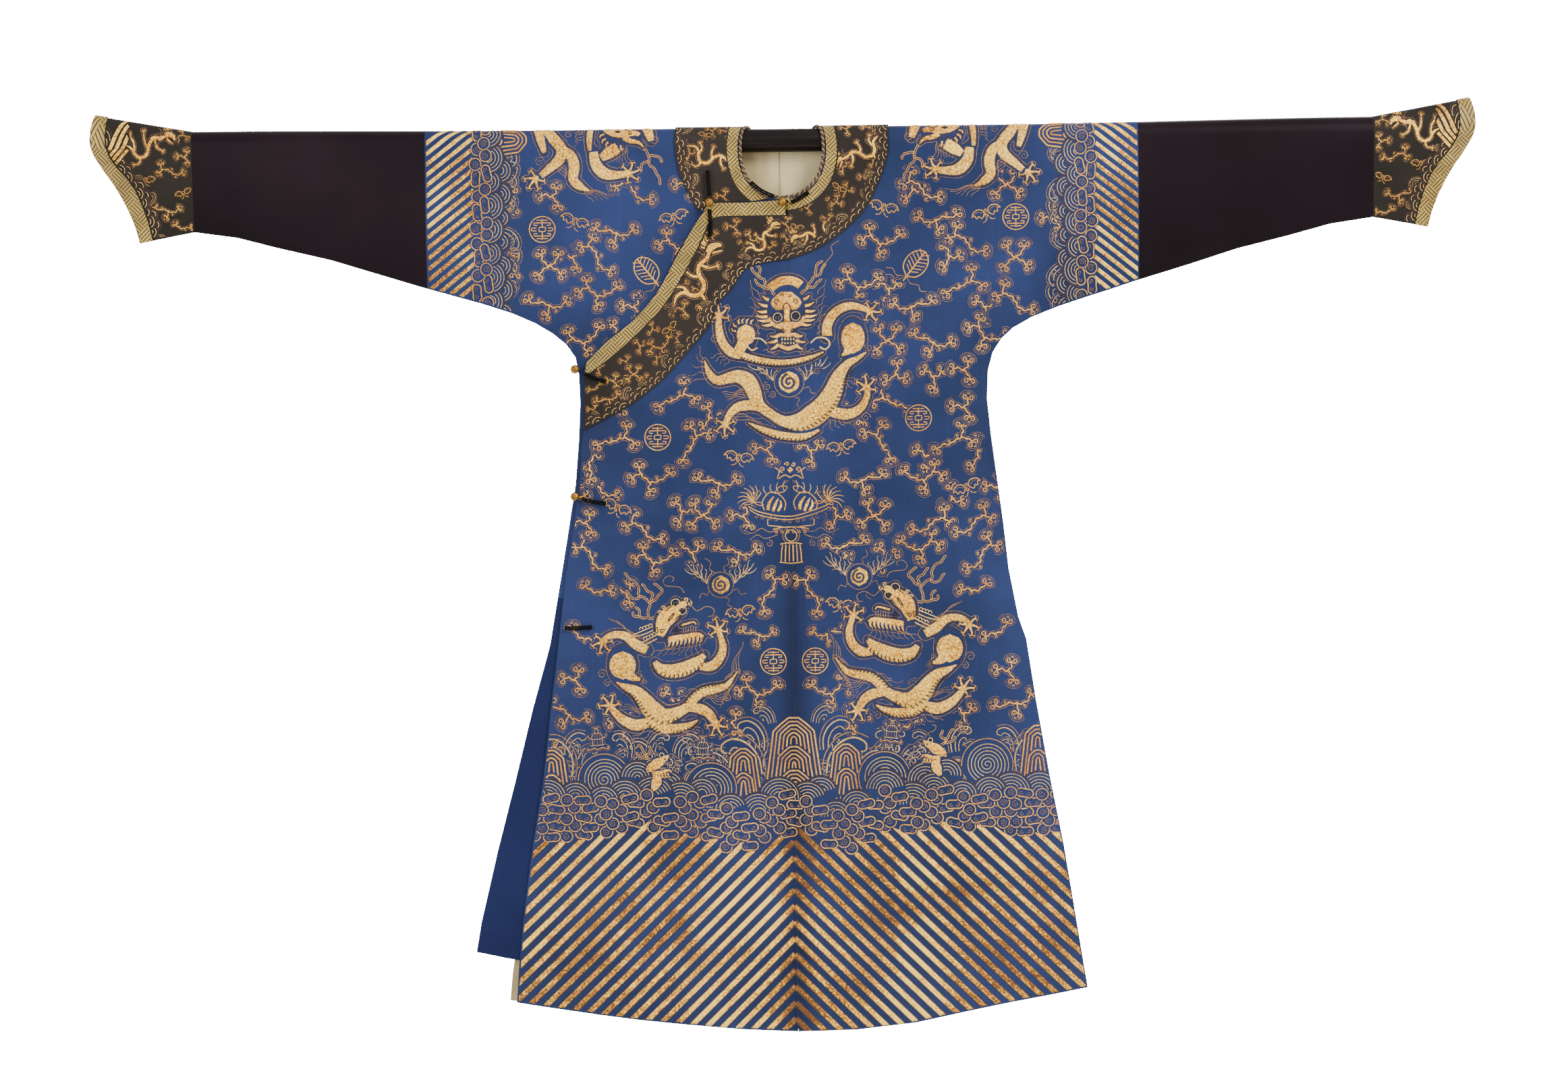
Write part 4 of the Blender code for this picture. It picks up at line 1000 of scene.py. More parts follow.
class Ground:
    """Cloth to embroider: which places are still free, and what has been sewn on it.

    Places are x and v, where v runs up from the rod's widest point to the shoulder fold.
    """
    CELL = 0.0005
    LOW = np.array([-1.10, -1.42])
    SIZE = (4400, 2920)

    def __init__(self, name, hang, shape):
        self.name = name
        self.hang = hang
        self.open = np.zeros(self.SIZE, bool)
        self.fill(shape, True)
        self.sewn = {}

    def fill(self, shape, value=False):
        shape = np.array(shape, float)
        low = np.floor((shape.min(axis=0) - self.LOW) / self.CELL).astype(int)
        high = np.ceil((shape.max(axis=0) - self.LOW) / self.CELL).astype(int) + 1
        low, high = np.maximum(low, 0), np.minimum(high, self.SIZE)
        x = self.LOW[0] + (np.arange(low[0], high[0]) + 0.5) * self.CELL
        z = self.LOW[1] + (np.arange(low[1], high[1]) + 0.5) * self.CELL
        grid_x, grid_z = np.meshgrid(x, z, indexing="ij")
        self.open[low[0]:high[0], low[1]:high[1]][inside(shape, grid_x, grid_z)] = value

    def block(self, points, radius):
        """Closes a disc round every point."""
        for (x, z), r in zip(points, np.broadcast_to(radius, len(points))):
            i, j = (x - self.LOW[0]) / self.CELL, (z - self.LOW[1]) / self.CELL
            reach = r / self.CELL
            low_i, high_i = max(0, int(i - reach)), int(i + reach) + 2
            low_j, high_j = max(0, int(j - reach)), int(j + reach) + 2
            a = np.arange(low_i, min(high_i, self.SIZE[0]))[:, None] - i
            b = np.arange(low_j, min(high_j, self.SIZE[1]))[None, :] - j
            if a.size and b.size:
                self.open[low_i:high_i, low_j:high_j][a * a + b * b < reach * reach] = False

    def is_open(self, points):
        at = np.floor((points - self.LOW) / self.CELL).astype(int)
        good = (at >= 0).all(axis=-1) & (at < self.SIZE).all(axis=-1)
        at = np.clip(at, 0, np.array(self.SIZE) - 1)
        return good & self.open[at[..., 0], at[..., 1]]

    def lay(self, design, gap=None, shapes=(), step=SPACING):
        """Sews a design where the ground is open, then closes the ground round it."""
        for stitch in design:
            if stitch.kind in SATIN:
                self.lay_satin(stitch)
            else:
                self.lay_thread(stitch, step * (FINE_LINE_STEP if stitch.kind == "shade" else 1.0))
        for shape in shapes:
            self.fill(shape)
        if gap is not None:
            for stitch in design:
                self.block(stitch.points, np.asarray(stitch.half) + gap)

    def lay_thread(self, stitch, step):
        points, half = stitch.points, np.broadcast_to(stitch.half, len(stitch.points))
        run = np.concatenate([[0.0], np.cumsum(np.hypot(*np.diff(points, axis=0).T))])
        if run[-1] < 0.001:
            return
        fine = np.linspace(0, run[-1], max(2, int(run[-1] / 0.0006)))
        spots = np.stack([np.interp(fine, run, points[:, 0]), np.interp(fine, run, points[:, 1])],
                         axis=-1)
        flags = np.concatenate([[False], self.is_open(spots), [False]])
        turns = np.flatnonzero(np.diff(flags.astype(int)))
        for first, last in zip(turns[::2], turns[1::2] - 1):
            length = fine[last] - fine[first]
            if length < 0.0015:
                continue
            at = np.linspace(fine[first], fine[last], max(2, math.ceil(length / step) + 1))
            piece = np.stack([np.interp(at, run, points[:, 0]), np.interp(at, run, points[:, 1])],
                             axis=-1)
            self.sewn.setdefault(stitch.kind, []).append((piece, np.interp(at, run, half)))

    def lay_satin(self, stitch):
        """A padded band: each of its lines is cut to the open ground by itself."""
        points, half = stitch.points, np.broadcast_to(stitch.half, len(stitch.points))
        run = np.concatenate([[0.0], np.cumsum(np.hypot(*np.diff(points, axis=0).T))])
        fine = np.linspace(0, run[-1], max(5, int(run[-1] / 0.0006)))
        spots = np.stack([np.interp(fine, run, points[:, 0]), np.interp(fine, run, points[:, 1])],
                         axis=-1)
        heading = np.gradient(spots, axis=0)
        blur = 9
        if len(fine) > 3 * blur:
            ends = np.concatenate([np.repeat(heading[:1], blur, 0), heading,
                                   np.repeat(heading[-1:], blur, 0)])
            sums = np.cumsum(ends, axis=0)
            heading = sums[2 * blur:] - sums[:-2 * blur]
        heading /= np.maximum(np.linalg.norm(heading, axis=-1, keepdims=True), 1e-12)
        sideways = np.stack([-heading[:, 1], heading[:, 0]], axis=-1)
        wide = np.interp(fine, run, half)
        middle = self.longest(self.is_open(spots))
        if middle is None or fine[middle[1]] - fine[middle[0]] < 0.002:
            return
        count = max(3, math.ceil((fine[middle[1]] - fine[middle[0]]) / (2 * SPACING)) + 1)
        lines = []
        for across in SATIN_ACROSS:
            line = spots + sideways * (wide * across * 0.98)[:, None]
            flags = self.is_open(line)
            first, last = middle
            while first > 0 and flags[first - 1] and flags[first]:
                first -= 1
            while first < last and not flags[first]:
                first += 1
            while last < len(fine) - 1 and flags[last + 1] and flags[last]:
                last += 1
            while last > first and not flags[last]:
                last -= 1
            at = np.linspace(fine[first], fine[last], count)
            lines.append((np.stack([np.interp(at, fine, line[:, 0]), np.interp(at, fine, line[:, 1])],
                                   axis=-1), at))
        grid = np.stack([line for line, _ in lines], axis=1)
        length = np.stack([at for _, at in lines], axis=1)
        width = np.interp(length, run, half) * SATIN_ACROSS
        self.sewn.setdefault(stitch.kind, []).append((grid, np.stack([length, width], axis=-1)))

    @staticmethod
    def longest(flags):
        turns = np.flatnonzero(np.diff(np.concatenate([[0], flags.astype(int), [0]])))
        if not len(turns):
            return None
        spans = turns[1::2] - turns[::2]
        best = int(np.argmax(spans))
        return turns[2 * best], turns[2 * best + 1] - 1

    def finish(self):
        """Makes one piece for each kind of stitch, or a few from left to right where there is much of it."""
        made = []
        for kind, rows in self.sewn.items():
            rows = sorted(rows, key=lambda row: float(row[0].reshape(-1, 2)[:, 0].mean()))
            count = sum(row[0].reshape(-1, 2).shape[0] for row in rows)
            parts = math.ceil(count / PIECE_SPOTS)
            for part in range(parts):
                name = f"{self.name}_{kind}" + (f"_{part + 1}" if parts > 1 else "")
                chosen = rows[part * len(rows) // parts:(part + 1) * len(rows) // parts]
                make = satin_piece if kind in SATIN else thread_piece
                made.append(make(name, kind, chosen, self.hang))
        return made


def satin_piece(name, kind, rows, hang):
    """Crowned bands in one mesh, closed underneath, with a map of length and width."""
    places, maps, faces, total = [], [], [], 0
    crown = SATIN_LIFT[kind] * np.sqrt(np.maximum(0.0, 1 - SATIN_ACROSS**2)) - 0.0002 + BASE.get(kind,
            0.0)
    for grid, run in rows:
        count, wide = grid.shape[:2]
        height = np.minimum(crown, crown.max()) * np.ones((count, 1))
        narrow = np.abs(run[..., 1]).max(axis=1, keepdims=True)
        height = height * np.clip(narrow / 0.003, 0.25, 1.0)
        places.append(hang(grid.reshape(-1, 2), height.reshape(-1)))
        maps.append(run.reshape(-1, 2))
        ids = total + np.arange(count * wide).reshape(count, wide)
        after = np.roll(ids, -1, axis=1)
        faces.append(np.stack([ids[:-1], after[:-1], after[1:], ids[1:]], axis=-1).reshape(-1, 4))
        total += count * wide
    places, maps, faces = np.concatenate(places), np.concatenate(maps), np.concatenate(faces)
    mesh = bpy.data.meshes.new(name)
    mesh.from_pydata(places.tolist(), [], faces.tolist())
    layer = mesh.uv_layers.new(name="run")
    layer.data.foreach_set("uv", maps[faces.reshape(-1)].astype(np.float32).reshape(-1))
    shell = bmesh.new()
    shell.from_mesh(mesh)
    bmesh.ops.holes_fill(shell, edges=[edge for edge in shell.edges if edge.is_boundary], sides=8)
    bmesh.ops.recalc_face_normals(shell, faces=shell.faces)
    shell.to_mesh(mesh)
    shell.free()
    mesh.materials.append(FINISH[kind])
    mesh.shade_smooth()
    return keep(new_piece(name, mesh))


def couched_tree(finish):
    """Couched thread: a low closed arch swept along every line, square to the cloth."""
    tree = bpy.data.node_groups.new("couched thread", "GeometryNodeTree")
    face = tree.interface
    face.new_socket("Lines", in_out="INPUT", socket_type="NodeSocketGeometry")
    rise = face.new_socket("Thread rise", in_out="INPUT", socket_type="NodeSocketFloat")
    sides = face.new_socket("Thread sides", in_out="INPUT", socket_type="NodeSocketInt")
    face.new_socket("Thread", in_out="OUTPUT", socket_type="NodeSocketGeometry")
    enter, leave = add(tree, "NodeGroupInput"), add(tree, "NodeGroupOutput")
    up = add(tree, "GeometryNodeInputNamedAttribute", data_type="FLOAT_VECTOR", inputs={"Name": "up"})
    half = add(tree, "GeometryNodeInputNamedAttribute", data_type="FLOAT", inputs={"Name": "half"})
    lines = add(tree, "GeometryNodeMeshToCurve", inputs={0: enter.outputs["Lines"]})
    set_up = add(tree, "GeometryNodeSetCurveNormal", mode="FREE",
                 inputs={"Curve": lines.outputs[0], "Normal": up.outputs[0]})
    ring = add(tree, "GeometryNodeCurvePrimitiveCircle",
               inputs={"Resolution": enter.outputs["Thread sides"], "Radius": 1.0})
    flat = add(tree, "ShaderNodeCombineXYZ", inputs={"X": enter.outputs["Thread rise"], "Y": 1.1,
                                                     "Z": 1.0})
    arch = add(tree, "GeometryNodeTransform", inputs={
        "Geometry": ring.outputs[0], "Scale": flat.outputs[0], "Translation": (0.15, 0.0, 0.0)})
    swept = add(tree, "GeometryNodeCurveToMesh", inputs={
        "Curve": set_up.outputs[0], "Profile Curve": arch.outputs[0], "Scale": half.outputs[0],
        "Fill Caps": True})
    smooth = add(tree, "GeometryNodeSetShadeSmooth", inputs={"Geometry": swept.outputs[0]})
    real = add(tree, "GeometryNodeRealizeInstances", inputs={"Geometry": smooth.outputs[0]})
    dressed = add(tree, "GeometryNodeSetMaterial",
                  inputs={"Geometry": real.outputs[0], "Material": finish})
    tree.links.new(dressed.outputs[0], leave.inputs[0])
    return tree, rise.identifier, sides.identifier


def swept(name, lines, rise, sides, finish, ride=True):
    """One mesh from lines of (points, normals, half widths), through the couched thread tree."""
    counts = [len(points) for points, _, _ in lines]
    starts = np.concatenate([[0], np.cumsum(counts)])
    first = np.concatenate([np.arange(a, b - 1) for a, b in zip(starts[:-1], starts[1:])])
    mesh = bpy.data.meshes.new(name)
    mesh.from_pydata(np.concatenate([row[0] for row in lines]).tolist(),
                     np.stack([first, first + 1], axis=-1).tolist(), [])
    up = mesh.attributes.new("up", "FLOAT_VECTOR", "POINT")
    up.data.foreach_set("vector",
                        np.concatenate([row[1] for row in lines]).astype(np.float32).reshape(-1))
    half = mesh.attributes.new("half", "FLOAT", "POINT")
    half.data.foreach_set("value", np.concatenate([row[2] for row in lines]).astype(np.float32))
    item = new_piece(name + "_lines", mesh)
    tree, rise_id, sides_id = couched_tree(finish)
    sweep = item.modifiers.new("couched thread", "NODES")
    sweep.node_group = tree
    sweep[rise_id] = rise
    sweep[sides_id] = sides
    ready = item.evaluated_get(bpy.context.evaluated_depsgraph_get())
    result = bpy.data.meshes.new_from_object(ready)
    result.name = name
    bpy.data.objects.remove(item, do_unlink=True)
    made = new_piece(name, result)
    return keep(made) if ride else made


def square_to(points, hang):
    """Normals of a ground at its points."""
    little = 0.0006
    x = hang(points + [little, 0], 0.0) - hang(points - [little, 0], 0.0)
    v = hang(points + [0, little], 0.0) - hang(points - [0, little], 0.0)
    normal = np.cross(x, v)
    normal /= np.maximum(np.linalg.norm(normal, axis=-1, keepdims=True), 1e-12)
    out = hang(points, little) - hang(points, 0.0)
    return normal * np.sign((normal * out).sum(axis=-1, keepdims=True))


def thread_piece(name, kind, rows, hang):
    points = np.concatenate([piece for piece, _ in rows])
    normals, places = square_to(points, hang), hang(points, 0.00015 + BASE.get(kind, 0.0))
    ends = np.cumsum([len(piece) for piece, _ in rows])[:-1]
    halves = [half for _, half in rows]
    lines = list(zip(np.split(places, ends), np.split(normals, ends), halves))
    return swept(name, lines, 0.6, 3, FINISH[kind])


# ---------------------------------------------------------------- pens
# Designs are drawn in millimetres, x across and z up, about their own middle.
def spaced(points, spacing=2.4):
    """A smooth line through the points, evenly spaced."""
    rows = np.array(points, float)
    length = np.hypot(*np.diff(rows, axis=0).T).sum()
    return resample(rows, max(2, math.ceil(length / spacing)))


def pen(kind, points, half=0.8, spacing=2.4, straight=False):
    """A line of one width, or of widths spread evenly along it."""
    if straight:
        points = np.array(points, float)
    else:
        points = spaced(points, spacing)
    if np.ndim(half):
        run = np.concatenate([[0.0], np.cumsum(np.hypot(*np.diff(points, axis=0).T))])
        half = np.interp(run / run[-1], np.linspace(0, 1, len(half)), half)
    return Stitch(kind, points, np.broadcast_to(half, len(points)))


DISC_STEPS = 17


def disc(kind, x, z, radius, tall=1.0):
    """A padded round, or an oval when tall is not 1."""
    t = -np.cos(np.linspace(0, math.pi, DISC_STEPS))
    points = np.stack([np.full(DISC_STEPS, x), z + t * radius * tall], axis=-1)
    return Stitch(kind, points, radius * np.sqrt(np.maximum(0.0, 1 - t * t)))


def arc(kind, x, z, radius, start, end, half=0.8, tall=1.0):
    """Part of a circle, from one angle to another in degrees."""
    span = np.radians(abs(end - start)) * radius
    turn = np.radians(np.linspace(start, end, max(4, math.ceil(span / 2.2) + 1)))
    points = np.stack([x + radius * np.cos(turn), z + radius * tall * np.sin(turn)], axis=-1)
    return Stitch(kind, points, np.full(len(points), half))


def curl(kind, x, z, radius, start, turns, half=0.8, last=0.22, tall=1.0):
    """A spiral that starts on its radius at an angle in degrees and winds in."""
    count = max(8, math.ceil(abs(turns) * 2 * math.pi * radius * 0.62 / 1.9))
    t = np.linspace(0, 1, count)
    turn = np.radians(start) + turns * 2 * math.pi * t
    r = radius * (1 - (1 - last) * t)
    points = np.stack([x + r * np.cos(turn), z + r * tall * np.sin(turn)], axis=-1)
    return Stitch(kind, points, np.full(count, half))


def moved(design, x=0.0, z=0.0, degrees=0.0, size=1.0, flip=False):
    """The design turned clockwise, sized and moved; flip mirrors it left to right first."""
    turn = math.radians(degrees)
    matrix = np.array([[math.cos(turn), -math.sin(turn)], [math.sin(turn), math.cos(turn)]]) * size
    if flip:
        matrix = np.array([[-1, 0], [0, 1]]) @ matrix
    return [Stitch(s.kind, s.points @ matrix + [x, z], np.asarray(s.half) * size) for s in design]


def to_metres(design, x, z, degrees=0.0, size=1.0, flip=False):
    """The design at a place on the cloth, whose x and z are in metres."""
    return [Stitch(s.kind, s.points + [x, z], s.half)
            for s in moved(design, 0, 0, degrees, size * 0.001, flip)]


CROSSINGS = {1: [(3, 0)], 2: [(0, 1)], 3: [(3, 1)], 4: [(1, 2)], 5: [(3, 0), (1, 2)], 6: [(0, 2)],
             7: [(3, 2)],
             8: [(2, 3)], 9: [(2, 0)], 10: [(0, 1), (2, 3)], 11: [(2, 1)], 12: [(1, 3)], 13: [(1, 0)],
             14: [(0, 3)]}


def level_lines(field):
    """Closed lines where a field crosses nought, in cells."""
    low = field < 0
    case = low[:-1, :-1] + 2 * low[:-1, 1:] + 4 * low[1:, 1:] + 8 * low[1:, :-1]
    links = {}
    for i, j in zip(*np.nonzero((case > 0) & (case < 15))):
        sides = ((0, i, j), (1, i, j + 1), (0, i + 1, j), (1, i, j))
        for a, b in CROSSINGS[int(case[i, j])]:
            links.setdefault(sides[a], []).append(sides[b])
            links.setdefault(sides[b], []).append(sides[a])

    def spot(side):
        upright, i, j = side
        k, m = (i + 1, j) if upright else (i, j + 1)
        share = field[i, j] / (field[i, j] - field[k, m])
        return (i + share, float(j)) if upright else (float(i), j + share)

    lines = []
    while links:
        start_side = next(iter(links))
        chain, here = [start_side], start_side
        while links.get(here):
            there = links[here].pop()
            if here in links[there]:
                links[there].remove(here)
            if not links[here]:
                del links[here]
            chain.append(there)
            here = there
            if here == start_side:
                break
        if here in links and not links[here]:
            del links[here]
        if len(chain) > 8:
            lines.append(np.array([spot(side) for side in chain]))
    return lines


def contour(design, gap, kind="shade", half=0.55, cell=1.0, least=14.0):
    """Thread that keeps a gap from every stitch of a design."""
    spots = np.concatenate([s.points for s in design])
    halves = np.concatenate([np.broadcast_to(s.half, len(s.points)) for s in design])
    corner = spots.min(axis=0) - halves.max() - gap - 4
    top = spots.max(axis=0) + halves.max() + gap + 4
    shape = np.ceil((top - corner) / cell).astype(int)
    field = np.full(shape, 9.0)
    for (x, z), wide in zip(spots, halves):
        i, j = (x - corner[0]) / cell, (z - corner[1]) / cell
        reach = int((wide + gap + 3) / cell)
        a, b = max(0, int(i) - reach), max(0, int(j) - reach)
        c, d = int(i) + reach + 2, int(j) + reach + 2
        rows = np.arange(a, min(c, shape[0]))[:, None] - i
        cols = np.arange(b, min(d, shape[1]))[None, :] - j
        off = np.hypot(rows, cols) * cell - wide - gap
        part = field[a:c, b:d]
        np.minimum(part, off, out=part)
    made = []
    for line in level_lines(field):
        points = corner + line * cell
        for _ in range(2):
            inner = points[:-1]
            points = (inner + np.roll(inner, 1, axis=0) + np.roll(inner, -1, axis=0)) / 3
            points = np.concatenate([points, points[:1]])
        run = np.concatenate([[0.0], np.cumsum(np.hypot(*np.diff(points, axis=0).T))])
        if run[-1] < least:
            continue
        at = np.linspace(0, run[-1], math.ceil(run[-1] / 2.2) + 1)
        points = np.stack([np.interp(at, run, points[:, 0]), np.interp(at, run, points[:, 1])], axis=-1)
        made.append(Stitch(kind, points, np.full(len(points), half)))
    return made


# ---------------------------------------------------------------- motifs, in millimetres
def polyline(kind, points, half=0.8, spacing=3.0):
    """Straight lines from corner to corner."""
    points = np.array(points, float)
    run = np.concatenate([[0.0], np.cumsum(np.hypot(*np.diff(points, axis=0).T))])
    at = np.unique(np.concatenate([run, np.linspace(0, run[-1], math.ceil(run[-1] / spacing) + 1)]))
    spots = np.stack([np.interp(at, run, points[:, 0]), np.interp(at, run, points[:, 1])], axis=-1)
    return Stitch(kind, spots, np.full(len(spots), half))


def ruyi(x, z, degrees, size=1.0, kind="gold"):
    """Cloud head: two opposed curls at the end of a stem."""
    made = []
    for side in (1, -1):
        t = np.linspace(0, 1, 13)
        turn = np.radians(195 + 360 * 1.15 * t)
        r = 5.2 - 3.4 * t
        points = np.stack([side * (5.2 + r * np.cos(turn)), 2.5 + r * np.sin(turn)], axis=-1)
        made.append(Stitch(kind, points, np.full(13, 1.35)))
    made.append(arc(kind, 0, 6.6, 2.6, 20, 160, 1.1))
    return moved(made, x, z, degrees, size)


def cloud(stems, curls=()):
    """Branching cloud: wavy stems, a head at the end of each, and outlines all round."""
    design, caps = [], []
    for stem in stems:
        path = spaced(stem, 2.0)
        heading = np.gradient(path, axis=0)
        heading /= np.linalg.norm(heading, axis=-1, keepdims=True)
        run = np.arange(len(path)) * 2.0
        fade = np.minimum(run, run[-1] - run).clip(0, 4) / 4
        path = path + np.stack([-heading[:, 1], heading[:, 0]],
                               axis=-1) * (np.sin(run / 2.1) * 1.4 * fade)[:, None]
        share = np.linspace(0, 1, len(path))
        design.append(Stitch("gold", path, 2.0 - 0.4 * share + 0.45 * np.sin(run / 1.5)))
        end, aim = path[-1], path[-1] - path[-3]
        degrees = -math.degrees(math.atan2(aim[1], aim[0])) + 90
        design += ruyi(*(end + aim * 0.35), degrees)
        cap = [arc("shade", 0, 2.0, 15.0, -8, 188, 0.45, 0.80)]
        caps += moved(cap, *(end + aim * 0.35), degrees)
    for x, z, side in curls:
        design.append(curl("gold", x, z, 3.6, 250 if side > 0 else -70, 1.2 * side, 0.9))
    return moved(design + contour(design, 1.9, half=0.50) + caps, size=0.90)


CLOUDS = {
    "tripod": cloud([[(0, 0), (-12, 5), (-24, 3), (-33, 9)], [(0, 0), (10, -4), (22, -3), (31, 5)],
                     [(0, 0), (2, -8), (-2, -17)]], [(-15, 9, -1), (13, -9, 1)]),
    "zigzag": cloud([[(0, 0), (-10, -7), (-22, -8), (-32, -15)], [(0, 0), (9, 4), (13, 14), (11, 24)],
                     [(9, 4), (20, 3), (29, -3)]], [(-12, -2, 1), (4, 8, -1)]),
    "valley": cloud([[(0, 0), (-10, 8), (-17, 16), (-19, 27)], [(0, 0), (12, 2), (24, 8), (33, 16)],
                     [(0, 0), (-3, -7), (-1, -14)], [(-17, 16), (-25, 13), (-31, 8)]], [(10, 8, 1)]),
    "cross": cloud([[(0, 0), (-10, 8), (-13, 20)], [(0, 0), (11, 8), (16, 19)],
                    [(0, 0), (-11, -7), (-18, -15)],
                    [(0, 0), (12, -6), (20, -14)]]),
    "crook": cloud([[(0, 0), (-8, 9), (-20, 13), (-31, 9)], [(0, 0), (6, -10), (17, -15), (28, -14)],
                    [(-20, 13), (-22, 21), (-19, 28)]], [(4, 6, 1), (8, -17, -1)]),
    "sprig": cloud([[(0, 0), (-9, 4), (-17, 3)], [(0, 0), (7, 7), (8, 15)],
                    [(0, 0), (8, -7), (11, -15)]]),
    "trail": cloud([[(0, 0), (14, 4), (26, 3)], [(0, 0), (-9, 6), (-17, 12)]], [(10, -1, -1)]),
}


def bat():
    """Bat with hooked wings and a curled body."""
    made = [curl("gold", 0, -2, 3.6, 90, 1.3, 0.9), arc("gold", 0, 6, 2.2, 0, 360, 0.8)]
    for side in (1, -1):
        wing = [(side * 3, 2), (side * 5, 8), (side * 11, 11), (side * 19, 9), (side * 24, 2),
                (side * 19, 4),
                (side * 17, -3), (side * 13, 1), (side * 10, -5), (side * 6, -2), (side * 3, 2)]
        made.append(polyline("gold", wing, 1.0))
        made.append(pen("shade", [(side * 6, 3), (side * 12, 7), (side * 18, 6)], 0.6))
        made.append(pen("gold", [(side * 2, -6), (side * 5, -10), (side * 10, -11)], (0.9, 0.5)))
    return made


def roundel():
    """Round fret: bars and keys within a ring, the same above and below."""
    made = [arc("gold", 0, 0, 20.0, 0, 360, 1.0),
            polyline("gold", [(-5, -3.4), (-5, 3.4), (5, 3.4), (5, -3.4), (-5, -3.4)], 0.9)]
    for up in (1, -1):
        made += [polyline("gold", [(0, up * 3.4), (0, up * 16)], 0.9),
                 polyline("gold", [(-8.5, up * 14.2), (8.5, up * 14.2)], 0.95),
                 polyline("gold", [(-7.5, up * 6.4), (-12.8, up * 6.4), (-12.8, up * 10.2),
                                   (12.8, up * 10.2),
                                   (12.8, up * 6.4), (7.5, up * 6.4)], 0.95)]
    for side in (1, -1):
        made += [polyline("gold", [(side * 9, -2.2), (side * 16.4, -2.2), (side * 16.4, 2.2),
                                   (side * 9, 2.2)], 0.9)]
    return made


def leaf_fan():
    """Palm-leaf fan with a ribbon."""
    rim = [(0, -22), (11, -15), (15, -2), (11, 12), (0, 19), (-11, 12), (-15, -2), (-11, -15), (0, -22)]
    made = [pen("gold", rim, 0.95), polyline("gold", [(0, -30), (0, 18)], 1.2)]
    for k in range(6):
        z = -15 + 5.4 * k
        reach = 12 * math.sqrt(max(0.1, 1 - ((z + 3) / 20) ** 2))
        for side in (1, -1):
            made.append(pen("gold", [(0, z), (side * reach * 0.5, z + 3.4), (side * reach, z + 6.4)],
                            0.7))
    made += [pen("shade", [(0, -22), (-10, -27), (-20, -22), (-27, -27), (-34, -22)], 0.7),
             pen("shade", [(0, -22), (12, -29), (21, -25), (29, -30)], 0.7),
             pen("shade", [(2, -26), (8, -34), (18, -33), (24, -38)], 0.6)]
    return made


def pearl(radius=13.5):
    """Padded pearl with a blue spiral, a ring and licks of flame."""
    made = [disc("padded", 0, 0, radius), curl("navy", 0, 0, radius * 0.74, 100, 1.8, 1.55, 0.06),
            arc("shade", 0, 0, radius + 4.6, 0, 360, 0.6)]
    for side in (1, -1):
        for k, lean in enumerate((-0.3, 0.35, 1.0)):
            root = np.array([side * (radius + 6 + 6 * k), 2 + 7 * k])
            for fork in (-0.45, 0.0, 0.45):
                turn = lean * 0.7 + fork
                tip = root + [side * 17 * math.sin(turn + 0.2), 17 * math.cos(turn + 0.2)]
                bow = (root + tip) / 2 + [side * 2.4 * math.cos(turn), -2.4 * math.sin(turn)]
                made.append(pen("crest", [root, bow, tip, tip + [side * 2.5, 3.5]], (0.8, 0.8, 0.6, 0.4)))
    for degrees, long in ((115, 30), (70, 26), (20, 28), (-25, 24), (-70, 22), (160, 26), (205, 22)):
        lick = [pen("shade", [(radius + 6, 0), (radius + long * 0.45, 5), (radius + long * 0.7, -1),
                              (radius + long, 4)], 0.55)]
        made += moved(lick, degrees=-degrees)
    return made


def paw(x, z, degrees, size=1.0):
    """Five spread toes, each with a knuckled claw."""
    made = [disc("scales", 0, 0, 6.0)]
    for spread, reach in ((-118, 14), (-58, 17), (-8, 18), (44, 17), (104, 14)):
        turn = math.radians(spread)
        tip = np.array([math.sin(turn), math.cos(turn)]) * reach
        across = np.array([tip[1], -tip[0]]) / reach
        made.append(pen("padded", [tip * 0.25, tip * 0.6 + across * 0.9, tip], (2.4, 1.25, 1.25), 1.5))
        made.append(pen("gold", [tip * 0.90 - across * 4.4, tip - across * 2.0, tip * 1.06 + across * 1.0,
                                 tip * 1.14 + across * 4.0], (0.6, 1.25, 1.2, 0.5), 1.6))
    return moved(made, x, z, degrees, size)


def limb(points, widths, aim=None, size=1.0):
    """A scaled limb; aim gives the way its paw points, in degrees from straight up."""
    made = [pen("scales", points, widths)]
    if aim is not None:
        made += paw(*points[-1], aim, size)
    return made


def belly(points, side, pitch=5.5, depth_in=0.55, width=9.0):
    """Dark scallops across one side of a body."""
    path = spaced(points, 1.0)
    heading = np.gradient(path, axis=0)
    heading /= np.linalg.norm(heading, axis=-1, keepdims=True)
    out = np.stack([-heading[:, 1], heading[:, 0]], axis=-1) * side
    made = []
    for i in range(4, len(path) - 4, max(1, int(pitch))):
        a = path[i] + out[i] * width * 0.98
        b = path[i] + out[i] * width * (1 - depth_in) + heading[i] * 2.2
        made.append(pen("ink", [a, (a + b) / 2 + heading[i] * 1.4, b], 0.95, 2.0))
    return made


def strands(starts_ends, kind="shade", half=0.6, wave=2.2):
    """Loose wavy hairs between pairs of points."""
    made = []
    for k, (first, last) in enumerate(starts_ends):
        a, b = np.array(first, float), np.array(last, float)
        t = np.linspace(0, 1, 7)[:, None]
        side = np.array([-(b - a)[1], (b - a)[0]]) / max(np.linalg.norm(b - a), 1.0)
        points = a + (b - a) * t + side * np.sin(t * 7 + k) * wave
        made.append(pen(kind, points, (half * 1.2, half, half * 0.7)))
    return made


def fan_of(first, last, count, grow=0.0):
    """Pairs from one line to another, for strands side by side."""
    (a, b), (c, d) = np.array(first, float), np.array(last, float)
    pairs = []
    for k in range(count):
        t = k / max(1, count - 1)
        pairs.append((a + (b - a) * t, (c + (d - c) * t) * (1 + grow * (k % 2))))
    return pairs


